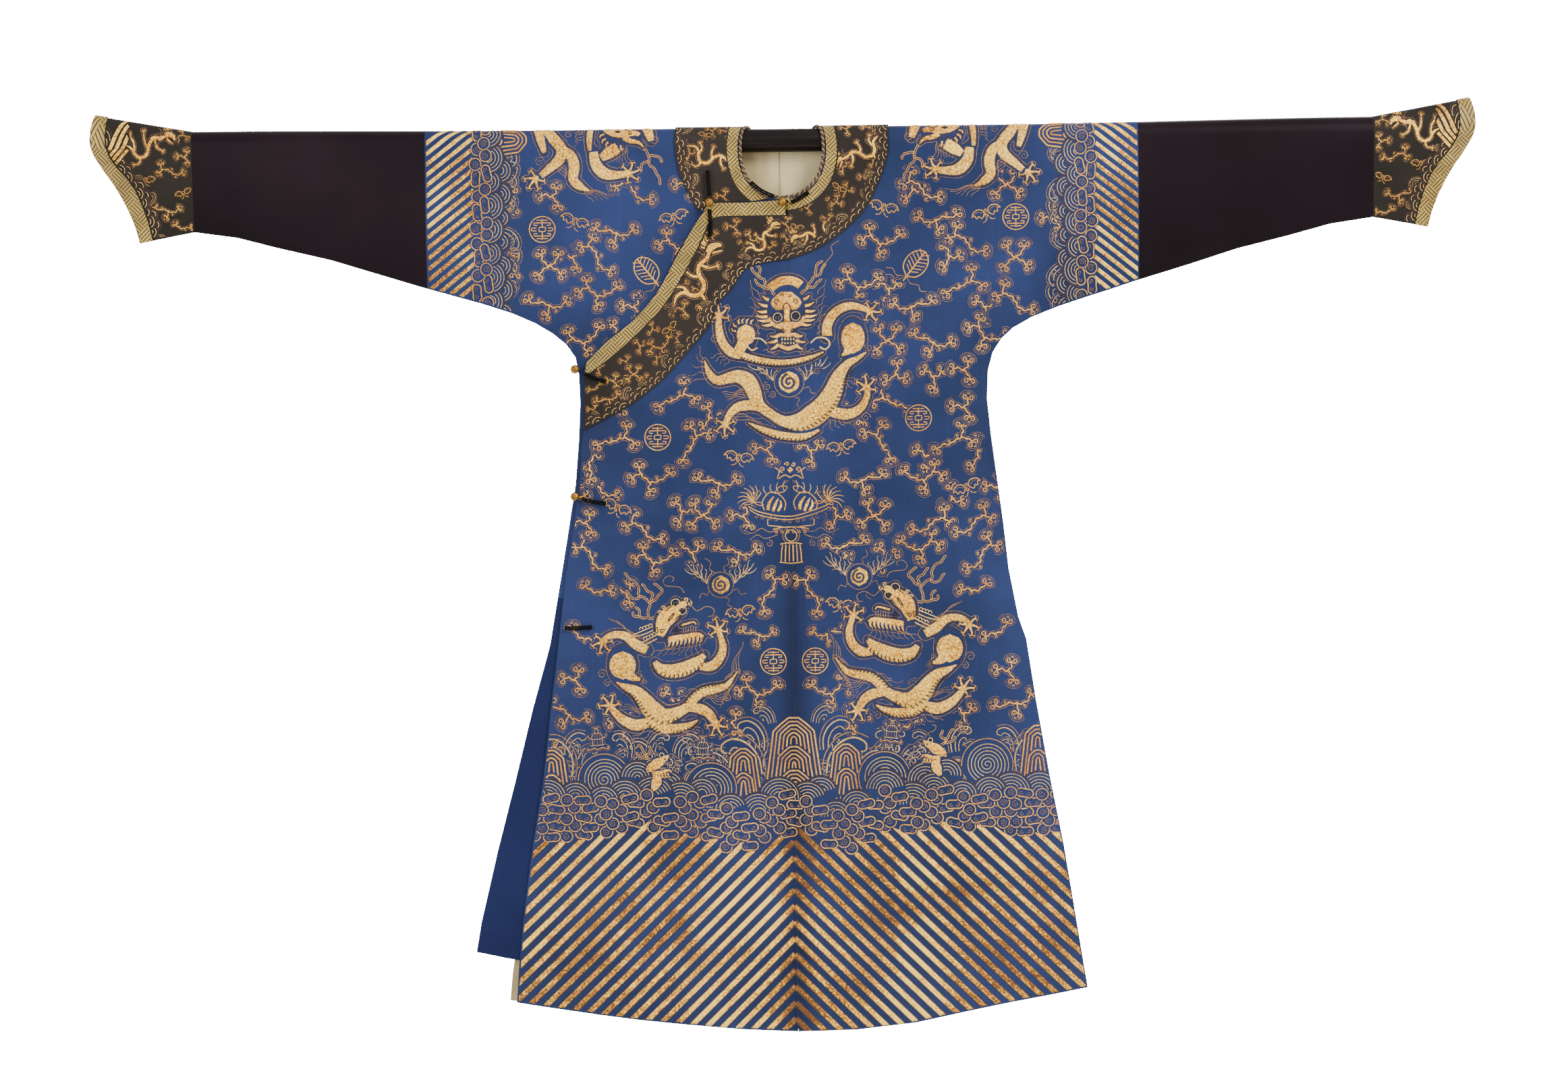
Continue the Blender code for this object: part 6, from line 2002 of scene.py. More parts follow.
def hang_front(points, out):
    x, q = points[..., 0], QUARTER - points[..., 1]
    covered = inside(OVERLAP_SHAPE, x, points[..., 1])
    return place(x, q, out - np.where(covered, 0.0, lap(x, q)))


def hang_back(points, out):
    return place(points[..., 0], points[..., 1] - QUARTER, out)


def hang_facing(points, out):
    return hang_front(points, out + ON_PANEL + WALL)


def hang_back_facing(points, out):
    return hang_back(points, out + ON_PANEL + WALL)


def hang_cuff(points, out):
    return place(points[..., 0], QUARTER - points[..., 1], out)


def hemmed(ground, shape):
    """Closes a narrow rim inside a shape's edge."""
    closed = np.array([*shape, shape[0]], float)
    run = np.concatenate([[0.0], np.cumsum(np.hypot(*np.diff(closed, axis=0).T))])
    at = np.arange(0, run[-1], 0.0008)
    ground.block(np.stack([np.interp(at, run, closed[:, 0]), np.interp(at, run, closed[:, 1])], axis=-1),
                 RIM)


# ---------------------------------------------------------------- what goes where, in metres
Motif = namedtuple("Motif", "name x z degrees size flip", defaults=(0, 1.0, False))

FIGURES = [
    Motif("facing_dragon", 0.005, -0.275), Motif("rising_dragon", -0.195, -0.730),
    Motif("rising_dragon", 0.185, -0.710, 0, 1.0, True),
    Motif("shoulder_dragon", -0.260, 0.010), Motif("shoulder_dragon", 0.256, 0.010, 0, 1.0, True),
    Motif("pearl", 0.005, -0.377, 0, 1.28), Motif("pearl", -0.105, -0.690, 0, 1.1),
    Motif("pearl", 0.110, -0.680, 0, 1.1),
    Motif("dish", 0.005, -0.575),
    Motif("roundel", -0.375, -0.135), Motif("roundel", -0.200, -0.460), Motif("roundel", -0.025, -0.810),
    Motif("roundel", 0.360, -0.125), Motif("roundel", 0.205, -0.435), Motif("roundel", 0.040, -0.810),
    Motif("leaf_fan", -0.215, -0.200, -38, 1.15), Motif("leaf_fan", 0.205, -0.195, 38, 1.15, True),
    Motif("bat", -0.325, -0.125, 20), Motif("bat", -0.170, -0.120, -15), Motif("bat", -0.075, -0.495, 10),
    Motif("bat", -0.265, -0.570, 25), Motif("bat", -0.075, -0.735, -10), Motif("bat", 0.315, -0.120, -20),
    Motif("bat", 0.155, -0.110, 15), Motif("bat", 0.085, -0.480, -10), Motif("bat", 0.280, -0.545, -25),
    Motif("bat", 0.080, -0.725, 10),
]

SKY = [
    Motif("sprig", -0.360, -0.085), Motif("crook", -0.232, -0.078), Motif("tripod", -0.262, -0.142),
    Motif("crook", -0.290, -0.180, 20), Motif("cross", -0.365, -0.192), Motif("valley", -0.165, -0.168),
    Motif("valley", -0.290, -0.240), Motif("tripod", -0.368, -0.252), Motif("sprig", -0.235, -0.258),
    Motif("valley", -0.312, -0.312, -20), Motif("sprig", -0.262, -0.300, 60),
    Motif("sprig", -0.428, -0.090), Motif("sprig", -0.428, -0.190), Motif("sprig", -0.150, -0.070),
    Motif("crook", 0.215, -0.080), Motif("cross", 0.346, -0.075),
    Motif("tripod", 0.238, -0.128, 0, 1.0, True),
    Motif("valley", 0.150, -0.165), Motif("crook", 0.285, -0.165), Motif("cross", 0.358, -0.188),
    Motif("sprig", 0.418, -0.130), Motif("valley", 0.115, -0.232),
    Motif("tripod", 0.198, -0.262, 0, 1.0, True),
    Motif("zigzag", 0.280, -0.228), Motif("crook", 0.358, -0.256), Motif("cross", 0.158, -0.315),
    Motif("tripod", 0.228, -0.318, 10), Motif("valley", 0.310, -0.312, 20), Motif("sprig", 0.276, -0.362),
    Motif("sprig", 0.170, -0.366, 90), Motif("sprig", 0.228, -0.372, 30),
    Motif("zigzag", -0.168, -0.398), Motif("zigzag", -0.262, -0.462, 10),
    Motif("zigzag", -0.145, -0.468, -35),
    Motif("sprig", -0.032, -0.482), Motif("trail", -0.308, -0.500, 90), Motif("crook", -0.292, -0.536),
    Motif("valley", -0.212, -0.530), Motif("tripod", -0.108, -0.532), Motif("sprig", -0.315, -0.592),
    Motif("crook", -0.222, -0.605), Motif("cross", -0.132, -0.582), Motif("crook", -0.305, -0.645, 15),
    Motif("valley", -0.208, -0.655), Motif("tripod", -0.078, -0.640), Motif("trail", -0.300, -0.700),
    Motif("crook", -0.030, -0.704, 80), Motif("trail", -0.325, -0.770, 20),
    Motif("sprig", -0.335, -0.835),
    Motif("tripod", -0.345, -0.888, 20), Motif("tripod", -0.048, -0.768, 0, 0.8),
    Motif("valley", -0.050, -0.862),
    Motif("sprig", -0.182, -0.868, 40), Motif("sprig", -0.092, -0.905), Motif("trail", -0.172, -0.922),
    Motif("sprig", -0.262, -0.905), Motif("sprig", -0.378, -0.945, 40),
    Motif("zigzag", 0.160, -0.408, 0, 1.0, True), Motif("sprig", 0.275, -0.420),
    Motif("zigzag", 0.262, -0.470),
    Motif("zigzag", 0.145, -0.470, 35, 1.0, True), Motif("sprig", 0.036, -0.484, 30),
    Motif("trail", 0.298, -0.495, -90),
    Motif("crook", 0.288, -0.600, 0, 1.0, True), Motif("valley", 0.212, -0.532, 0, 1.0, True),
    Motif("tripod", 0.118, -0.530, 0, 1.0, True), Motif("crook", 0.222, -0.600, 10, 1.0, True),
    Motif("cross", 0.134, -0.586, 10), Motif("crook", 0.300, -0.650, -15, 1.0, True),
    Motif("valley", 0.206, -0.640, 0, 1.0, True), Motif("tripod", 0.088, -0.632, 0, 1.0, True),
    Motif("trail", 0.292, -0.705, 0, 1.0, True), Motif("crook", 0.036, -0.706, -80, 1.0, True),
    Motif("trail", 0.328, -0.770, -20, 1.0, True), Motif("sprig", 0.338, -0.830),
    Motif("tripod", 0.350, -0.880, -20),
    Motif("tripod", 0.060, -0.768, 0, 0.8, True), Motif("valley", 0.064, -0.862, 0, 1.0, True),
    Motif("sprig", 0.188, -0.866), Motif("sprig", 0.102, -0.900, 50),
    Motif("trail", 0.180, -0.915, 0, 1.0, True),
    Motif("sprig", 0.268, -0.895, 30), Motif("sprig", 0.386, -0.935),
    Motif("sprig", -0.070, -0.585), Motif("sprig", 0.075, -0.585, 60), Motif("sprig", -0.255, -0.400, 30),
    Motif("sprig", -0.150, -0.640, 20), Motif("sprig", 0.150, -0.650, 50),
    Motif("sprig", 0.255, -0.560, 80),
    Motif("sprig", -0.255, -0.700, 10), Motif("sprig", -0.120, -0.430, 70),
    Motif("sprig", 0.325, -0.545, 0),
    Motif("sprig", 0.215, -0.495, 30), Motif("sprig", -0.330, -0.545, 80),
    Motif("sprig", -0.165, -0.575, 50),
    Motif("sprig", 0.110, -0.425, 10), Motif("sprig", 0.310, -0.265, 30),
    Motif("sprig", -0.330, -0.180, 10),
    Motif("sprig", 0.255, -0.185, 60), Motif("sprig", 0.160, -0.235, 30),
    Motif("sprig", 0.200, -0.080, 70),
]

Sea = namedtuple("Sea", "x top foot")
FOAM = [Sea(0.000, -1.015, -1.085), Sea(0.030, -1.030, -1.090), Sea(0.065, -1.055, -1.115),
        Sea(0.110, -1.035, -1.105), Sea(0.145, -1.012, -1.085), Sea(0.190, -1.035, -1.085),
        Sea(0.230, -1.010, -1.065), Sea(0.280, -1.030, -1.088), Sea(0.310, -1.020, -1.078),
        Sea(0.380, -1.020, -1.095), Sea(0.450, -1.020, -1.095)]

Tier = namedtuple("Tier", "drop wide lines")     # millimetres
Peak = namedtuple("Peak", "x z foot tiers")      # tiers from the front backwards
CENTRE_TIERS = [Tier(82, 27, 5), Tier(45, 25, 5), Tier(0, 33, 6)]
SIDE_TIERS = [Tier(38, 14, 3), Tier(0, 20, 4)]
PEAKS = [Peak(0.005, -0.898, 125, CENTRE_TIERS), Peak(-0.074, -0.945, 80, SIDE_TIERS),
         Peak(0.086, -0.940, 80, SIDE_TIERS), Peak(-0.372, -0.944, 80, SIDE_TIERS),
         Peak(0.384, -0.915, 90, SIDE_TIERS)]
WHIRLS = [Line(-0.290, -0.990), Line(-0.125, -1.006), Line(0.145, -0.992), Line(0.305, -0.974)]
PAVILIONS = [Motif("pavilion", -0.136, -0.944, 0, 0.85), Motif("pavilion", 0.157, -0.922, 6, 0.85),
             Motif("pavilion", -0.300, -0.928, -5, 0.85)]
LITTLE_DRAGONS = [Motif("little_dragon", -0.205, -0.962),
                  Motif("little_dragon", 0.222, -0.944, 0, 1.0, True)]

ARCH_PITCH = 5.8
Spray = namedtuple("Spray", "x z tall lean")     # the same on both sides of the centre
SPRAY = [Spray(0.050, -0.985, 62, 6), Spray(0.046, -0.948, 46, -4), Spray(0.096, -0.985, 44, 14),
         Spray(0.030, -0.905, 30, 10),
         Spray(0.118, -0.965, 40, 20), Spray(0.345, -0.985, 56, -8), Spray(0.400, -0.985, 50, -4),
         Spray(0.420, -0.960, 36, 6)]
SPRAY_PITCH = 0.0300
HILL_PITCH = 0.0400
STRIPE_LINES = 26


def drawn(name):
    """A motif's design, by name."""
    if name in CLOUDS:
        return CLOUDS[name]
    return {"facing_dragon": facing_dragon, "rising_dragon": rising_dragon,
            "shoulder_dragon": shoulder_dragon,
            "little_dragon": little_dragon, "pearl": pearl, "dish": dish_of_peaches, "roundel": roundel,
            "leaf_fan": leaf_fan, "bat": bat, "long_dragon": long_dragon, "pavilion": pavilion}[name]()


def set_in(ground, motifs, gap, step=SPACING):
    for motif in motifs:
        design = to_metres(drawn(motif.name), motif.x, motif.z, motif.degrees, motif.size, motif.flip)
        ground.lay(design, gap, step=step)


def foam_rows(wide, high, turned):
    """Heads of foam in a strip from x = 0 to wide, brick-laid: (x, depth, is a pair, turn)."""
    heads, row, z = [], 0, 0.0
    while z < high:
        x, k = (row % 2) * 10.5, row
        while x < wide:
            pair = (k * 7 + row * 3) % 5 < 2
            x += 4.0 if pair else 0
            heads.append((x + math.sin(k * 2.4 + row) * 1.6, z + math.sin(k * 1.7 + row * 2) * 2.0, pair,
                          (k * 77 + row * 40 + turned) % 360))
            x += 26.0 if pair else 21.0
            k += 1
        row += 1
        z += 14.2
    return heads


def lay_heads(ground, heads, tilt, step):
    """Foam heads, each in front of those laid after it."""
    for x, z, is_pair, turn in heads:
        lean = math.radians(math.sin(turn) * 14 + tilt)
        design = foam_pair() if is_pair else foam_ring(turn)
        ground.lay(to_metres(design, x, z, math.degrees(lean)), None, step=step)
        off = np.array([math.cos(lean), -math.sin(lean)]) * 0.0065
        spots = np.array([[x, z], [x, z]]) + ([off, -off] if is_pair else [[0, 0], [0, 0]])
        ground.block(spots, 0.0089 if is_pair else 0.0113)


def lay_foam(ground, step):
    """Foam along the foot of the waves, the upper heads in front."""
    heads = []
    for x, depth_in, is_pair, turn in foam_rows(900, 78, 0):
        at = x / 1000 - 0.450
        top = np.interp(abs(at), column(FOAM, "x"), column(FOAM, "top"))
        foot = np.interp(abs(at), column(FOAM, "x"), column(FOAM, "foot"))
        z = top - depth_in / 1000
        if z > foot + 0.006:
            heads.append((at, z, is_pair, turn))
    lay_heads(ground, heads, 0, step)


def lay_swell(ground, x, z, radius, degrees, step):
    """One swell, filled so that nothing shows through it."""
    ground.lay(to_metres(hill(radius), x, z, degrees), None, step=step)
    turn = math.radians(degrees)
    up = np.array([math.sin(turn), math.cos(turn)])
    across = np.array([up[1], -up[0]])
    angles = np.linspace(0, math.pi, 13)[:, None]
    rim = np.array([x, z]) + (across * np.cos(angles) + up * np.sin(angles)) * (radius + 1.4) / 1000
    ground.fill(np.concatenate([rim, [rim[-1] - up * 0.012, rim[0] - up * 0.012]]))


def lay_peak(ground, peak, degrees, step):
    """Rock of nested arches, the lower ones in front."""
    for tier in peak.tiers:
        lines = [arch("bronze" if k % 2 else "gold", -tier.drop - ARCH_PITCH * k,
                      tier.wide - ARCH_PITCH * k, -peak.foot, 1.6)
                 for k in range(tier.lines) if tier.wide > ARCH_PITCH * k + 1]
        design = to_metres(lines, peak.x, peak.z, degrees)
        ground.lay(design, None, step=step)
        ground.fill(design[0].points)
        ground.block(design[0].points, 0.0034)


def lay_sea(ground, step):
    """Waves over the hem: foam, swells, whirls, rocks and spray, from the front backwards."""
    lay_foam(ground, step)
    for motif in LITTLE_DRAGONS:
        set_in(ground, [motif], 0.0012, step)
    for row, (rise, radius) in enumerate(((0.002, 29.0), (0.026, 26.0))):
        count = int(0.92 / HILL_PITCH)
        for k in range(count):
            x = -0.455 + HILL_PITCH * (k + 0.5 * (row % 2)) + 0.004 * math.sin(k * 2.1)
            if row and min(abs(x - spot.x) for spot in WHIRLS) < 0.042:
                continue
            if row and min(abs(x - peak.x) - peak.tiers[-1].wide / 1000 for peak in PEAKS) < 0.004:
                continue
            top = np.interp(abs(x), column(FOAM, "x"), column(FOAM, "top"))
            lay_swell(ground, x, top + rise, radius + 4 * math.sin(k * 1.3), 16 * math.sin(k * 1.9), step)
    for spot in WHIRLS:
        design = to_metres(whirl(), spot.x, spot.z)
        ground.lay(design, None, step=step)
        ground.block(np.array([[spot.x, spot.z]]), 0.0425)
    for peak in PEAKS:
        lay_peak(ground, peak, 0, step)
    set_in(ground, PAVILIONS, 0.0012, step)
    for row in SPRAY:
        for side in (1, -1):
            design = to_metres(hook(row.tall), side * row.x + 0.005, row.z, side * row.lean, 1.0,
                               side < 0)
            ground.lay(design, 0.0006, step=step)
    for k in range(29):
        x = -0.435 + SPRAY_PITCH * k + 0.005 * math.sin(k * 2.7)
        top = np.interp(abs(x), column(FOAM, "x"), column(FOAM, "top"))
        for back_row in range(3):
            tall = 30 + 8 * math.sin(k * 1.9 + back_row)
            z = top + 0.024 + 0.020 * back_row
            flip = (k + back_row) % 2 == 0
            ground.lay(to_metres(hook(tall), x + 0.010 * math.sin(k + back_row), z,
                                 10 * math.sin(k * 1.3), 1.0, flip),
                       0.0006, step=step)


def stripe_height(x, k):
    """Height of the k-th slanting line at a distance from the centre seam."""
    d = np.abs(x)
    return -1.09 - k * 0.0250 - 0.985 * d + 0.05 * d * d


def lay_stripes(ground):
    """Slanting bands that rise to the centre seam, each between two thin lines."""
    d = np.arange(0.0, 0.520, 0.007)
    for side in (1, -1):
        for k in range(-19, STRIPE_LINES):
            points = np.stack([side * d + 0.003, stripe_height(d, k)], axis=-1)
            keep_going = (points[:, 1] < -1.02) & (points[:, 1] > -1.41)
            points = points[keep_going]
            if len(points) < 3:
                continue
            heading = np.gradient(points, axis=0)
            heading /= np.linalg.norm(heading, axis=-1, keepdims=True)
            out = np.stack([-heading[:, 1], heading[:, 0]], axis=-1)
            ground.lay_satin(Stitch("stripe", points, np.full(len(points), 0.0043)))
            for edge in (1, -1):
                line = points + out * 0.0050 * edge
                ground.lay_thread(Stitch("umber", line, np.full(len(points), 0.00050)), 0.008)


def lay_sleeve(ground, side, step):
    """Waves that roll inwards from a sleeve seam."""
    inward = -90 * side
    heads = [(side * (0.462 + z / 1000), 0.030 - x / 1000, is_pair, turn)
             for x, z, is_pair, turn in foam_rows(300, 24, 50)]
    lay_heads(ground, heads, 90, step)
    for k in range(9):
        z = 0.014 - 0.037 * k
        lay_swell(ground, side * 0.458, z, 23 + 3 * math.sin(k * 2.3), inward + 14 * math.sin(k * 1.7),
                  step)
    lay_peak(ground, Peak(side * 0.398, 0.004, 70, SIDE_TIERS), inward, step)
    for k in range(8):
        z = -0.006 - 0.037 * k
        lay_swell(ground, side * 0.440, z, 17 + 3 * math.sin(k * 1.3), inward - 16 * math.sin(k * 2.7),
                  step)
    for k in range(14):
        z = 0.022 - 0.022 * k
        tall = 26 + 8 * math.sin(k * 2.1)
        ground.lay(to_metres(hook(tall), side * 0.438, z, inward + 20 * math.sin(k), 1.0, k % 2 == 0),
                   0.0006, step=step)
    for k in range(20):
        foot = 0.050 - 0.0162 * k
        x = side * np.linspace(0.5545, 0.480, 14)
        points = np.stack([x, foot - 0.051 + 0.78 * (0.5545 - np.abs(x))], axis=-1)
        ground.lay_satin(Stitch("stripe", points, np.full(14, 0.0033)))


SEAM_THREAD = 0.0006
SEAM_STEP = 0.008
SEAM_FOOT = -1.38


def lay_seam(ground, x, top, foot):
    """Thread straight down a seam."""
    ground.lay_thread(Stitch("seam", np.array([(x, top), (x, foot)]), SEAM_THREAD), SEAM_STEP)


def embroider(ground, step, seam, seam_top):
    """Everything on the front or on the back, whose seam runs down from a height."""
    lay_seam(ground, seam, seam_top, SEAM_FOOT)
    lay_sea(ground, step)
    for side in (1, -1):
        lay_sleeve(ground, side, step)
    set_in(ground, FIGURES, 0.0020, step)
    set_in(ground, SKY, 0.0014, step)
    lay_stripes(ground)


TRIM = [
    Motif("long_dragon", -0.136, -0.206, -22, 1.0), Motif("long_dragon", 0.116, -0.020, -62, 0.74, True),
    Motif("long_dragon", -0.106, -0.024, 52, 0.72), Motif("long_dragon", 0.044, -0.146, -50, 0.62, True),
    Motif("long_dragon", -0.034, -0.152, -10, 0.60),
    Motif("bat", -0.178, -0.292, -40, 0.62), Motif("bat", 0.086, -0.078, 30, 0.55),
    Motif("valley", -0.192, -0.322, -30, 0.62), Motif("cross", -0.236, -0.362, 0, 0.55),
    Motif("tripod", -0.276, -0.400, -20, 0.6),
    Motif("sprig", -0.078, -0.136, 0, 0.62), Motif("sprig", -0.052, -0.156, 60, 0.62),
    Motif("sprig", -0.160, -0.262, 0, 0.6),
    Motif("sprig", -0.268, -0.372, 0, 0.55), Motif("sprig", -0.226, -0.318, 40, 0.5),
    Motif("sprig", 0.082, -0.098, 90, 0.5),
    Motif("sprig", 0.128, -0.062, 0, 0.55), Motif("sprig", 0.002, -0.132, 0, 0.6),
    Motif("sprig", -0.024, -0.168, 30, 0.55),
    Motif("sprig", -0.140, -0.100, 0, 0.6), Motif("sprig", -0.094, -0.088, 0, 0.55),
    Motif("sprig", -0.145, -0.020, 60, 0.55),
    Motif("sprig", 0.134, 0.016, 0, 0.55), Motif("sprig", 0.092, -0.044, 40, 0.5),
    Motif("sprig", -0.134, -0.232, 0, 0.5),
    Motif("crook", -0.168, -0.222, -30, 0.55), Motif("sprig", 0.098, -0.080, 70, 0.5),
    Motif("sprig", -0.112, -0.150, 20, 0.5), Motif("sprig", -0.084, -0.204, 80, 0.5),
    Motif("sprig", 0.022, -0.158, 50, 0.5),
    Motif("sprig", 0.036, -0.108, 0, 0.45), Motif("sprig", 0.098, 0.014, 10, 0.45),
    Motif("sprig", -0.088, 0.012, 0, 0.5),
    Motif("bat", -0.120, 0.006, 10, 0.5), Motif("bat", 0.020, -0.138, 10, 0.5),
    Motif("sprig", -0.248, -0.342, 0, 0.45),
    Motif("trail", -0.058, -0.186, 0, 0.5), Motif("trail", -0.296, -0.384, -40, 0.5),
    Motif("sprig", -0.144, -0.064, 15, 0.46), Motif("sprig", -0.128, -0.128, 60, 0.46),
    Motif("sprig", -0.176, -0.262, 30, 0.46),
    Motif("sprig", -0.206, -0.292, 70, 0.46), Motif("sprig", -0.170, -0.306, 10, 0.46),
    Motif("sprig", -0.292, -0.352, 20, 0.46),
    Motif("sprig", -0.262, -0.402, 50, 0.46), Motif("sprig", -0.300, -0.416, 0, 0.46),
    Motif("sprig", 0.004, -0.156, 40, 0.46),
    Motif("sprig", 0.068, -0.126, 10, 0.46), Motif("sprig", 0.140, -0.036, 60, 0.46),
    Motif("sprig", 0.074, -0.100, 40, 0.42),
    Motif("sprig", -0.062, -0.164, 30, 0.46), Motif("sprig", -0.200, -0.336, 40, 0.46),
    Motif("sprig", 0.138, 0.002, 80, 0.44),
    Motif("bat", -0.252, -0.372, -40, 0.5), Motif("sprig", -0.220, -0.370, 5, 0.44),
    Motif("sprig", -0.110, 0.014, 20, 0.44),
]


BACK_TRIM = [
    Motif("long_dragon", -0.108, -0.026, 46, 0.56), Motif("long_dragon", 0.108, -0.026, -46, 0.56, True),
    Motif("bat", 0.018, -0.068, 0, 0.5), Motif("sprig", -0.022, -0.066, 0, 0.5),
    Motif("sprig", -0.054, -0.064, 30, 0.5),
    Motif("sprig", 0.054, -0.064, 60, 0.5), Motif("sprig", 0.134, 0.004, 0, 0.5),
    Motif("sprig", -0.134, 0.004, 45, 0.5),
    Motif("trail", -0.076, -0.010, 20, 0.45), Motif("trail", 0.076, -0.010, -20, 0.45),
]


def lay_border(ground, line, inward_side, pitch, radius, step):
    """Swells side by side along a line."""
    points = resample(line, int(np.hypot(*np.diff(np.array(line), axis=0).T).sum() / pitch))
    heading = np.gradient(points, axis=0)
    for k, (spot, step_on) in enumerate(zip(points, heading)):
        degrees = math.degrees(math.atan2(step_on[0], step_on[1])) + 90 * inward_side
        lay_swell(ground, *spot, radius * (1.0 + 0.12 * math.sin(k * 2.2)), degrees, step)
    for k, (spot, step_on) in enumerate(zip(points, heading)):
        degrees = math.degrees(math.atan2(step_on[0], step_on[1])) + 90 * inward_side
        turn = math.radians(degrees)
        inner = spot + np.array([math.sin(turn), math.cos(turn)]) * 0.0090
        inner += np.array([math.cos(turn), -math.sin(turn)]) * pitch / 2
        if k % 3 == 1:
            ground.lay(to_metres(hook(14 + 4 * math.sin(k)), *inner, degrees, 1.0, k % 2 == 1), 0.0006,
                       step=step)
        else:
            lay_swell(ground, *inner, radius * 0.8, degrees + 14 * math.sin(k * 2.1), step)


CUFF_SKY = [Motif("long_dragon", 0.984, 0.004, -20, 0.72), Motif("bat", 0.990, -0.052, 0, 0.7),
            Motif("bat", 0.931, -0.072, 20, 0.6), Motif("crook", 0.950, -0.038, 20, 0.62),
            Motif("tripod", 0.957, -0.098, 0, 0.62), Motif("trail", 0.936, -0.126, 0, 0.6),
            Motif("sprig", 0.929, -0.016, 0, 0.6), Motif("sprig", 0.932, 0.014, 40, 0.5)]


CUFF_BORDER = (0.0150, 12.0)
CUFF_BARS = 4


def lay_cuff(ground, side):
    """Front of a cuff: bands and swells beside the binding, then what flies above them."""
    half = len(CUFF) - 1
    band, seam = (level(cuff_spots(side, edge)[half:]) for edge in ("band", "seam"))
    shape = band + seam[::-1]
    ground.fill(shape, True)
    hemmed(ground, shape)
    for k in range(CUFF_BARS):
        foot = np.array([side * 1.046, -0.004 - 0.011 * k])
        tip = foot + [-side * 0.030, 0.034]
        ground.lay_satin(Stitch("stripe", resample([foot, tip], 12), np.full(13, 0.0026)))
        ground.block(resample([foot, tip], 30), 0.0032)
    lay_border(ground, band[3:], side, *CUFF_BORDER, SPACING)
    for row in CUFF_SKY:
        set_in(ground, [row._replace(x=side * row.x, flip=side > 0, degrees=side * row.degrees)], 0.0009)


BACK_SPACING = 0.0056    # points along the back's threads, wider than on the front
BACK_SEAM = 0.0
FRONT_SEAM_TOP = -0.19
BACK_SEAM_TOP = -0.10
FACING_SEAM_TOP = -0.10
BACK_FACING_SEAM_TOP = -0.02
BACK_FACING_SEAM_FOOT = -0.13
BORDER = (0.0140, 11.0)    # pitch in metres and size of the facing's swells


def make_embroidery():
    """Couched and padded thread on the front, the back, the facing and the cuffs."""
    front_ground = Ground("front", hang_front, FRONT_SHAPE)
    back_ground = Ground("back", hang_back, BACK_SHAPE)
    front_ground.fill(FACING_SHAPE)
    back_ground.fill(FACING_BACK_SHAPE)
    hemmed(front_ground, FRONT_SHAPE)
    hemmed(front_ground, [*OVERLAP_SIDE[:9], *OVERLAP_SIDE[7:0:-1]])
    hemmed(back_ground, BACK_SHAPE)
    embroider(front_ground, SPACING, CENTRE_SEAM, FRONT_SEAM_TOP)
    embroider(back_ground, BACK_SPACING, BACK_SEAM, BACK_SEAM_TOP)
    made = front_ground.finish() + back_ground.finish()

    facing = Ground("facing", hang_facing, FACING_SHAPE)
    ring = [(x, QUARTER - q) for side in (1, -1) for x, q in neck_run(side, RING_OUT, 0.0, 0.2,
            30)[::side]]
    facing.fill(ring)
    facing.fill(EDGING_SHAPE)
    hemmed(facing, FACING_SHAPE)
    hemmed(facing, ring)
    hemmed(facing, EDGING_SHAPE)
    lay_seam(facing, CENTRE_SEAM, FACING_SEAM_TOP, FRONT_SEAM_TOP)
    border = level(FACING_LEFT) + FACING_LOWER
    lay_border(facing, border, 1, *BORDER, SPACING)
    lay_border(facing, level(FACING_RIGHT), -1, *BORDER, SPACING)
    set_in(facing, TRIM, 0.0010)
    made += facing.finish()

    facing = Ground("facing_back", hang_back_facing, FACING_BACK_SHAPE)
    ring = [(x, QUARTER + q) for side in (1, -1) for x, q in neck_run(side, RING_OUT, -0.2, 0.0,
            30)[::-side]]
    facing.fill(ring)
    hemmed(facing, FACING_BACK_SHAPE)
    hemmed(facing, ring)
    lay_seam(facing, BACK_SEAM, BACK_FACING_SEAM_TOP, BACK_FACING_SEAM_FOOT)
    for line, inward in ((level(FACING_BACK)[::-1], 1),
                         ([(-x, z) for x, z in level(FACING_BACK)[::-1]], -1)):
        lay_border(facing, line, inward, *BORDER, SPACING)
    set_in(facing, BACK_TRIM, 0.0010)
    made += facing.finish()

    for name, hang in (("cuffs", hang_cuff), ("cuffs_back", hang_back)):
        cuffs = Ground(name, hang, [(0, 0), (0.001, 0), (0, 0.001)])
        for side in (1, -1):
            lay_cuff(cuffs, side)
        made += cuffs.finish()
    return made


# ---------------------------------------------------------------- piping, loops, buttons and rod
PIPING_LIFT = 0.0008
PIPING_PLY = 0.00125     # half the thickness of one ply of the neck piping
PIPING_TWIST = 0.0090
LOOP_RADIUS = 0.0032
LOOP_TWIST = 0.0075
BALL = 0.0070
SHANK = 0.0040
PIPING_POINTS = 260
LOOP_POINTS = 60
ROD_SIDES = 96
ROD_RADIUS = 0.018
ROD_HALF = 0.985

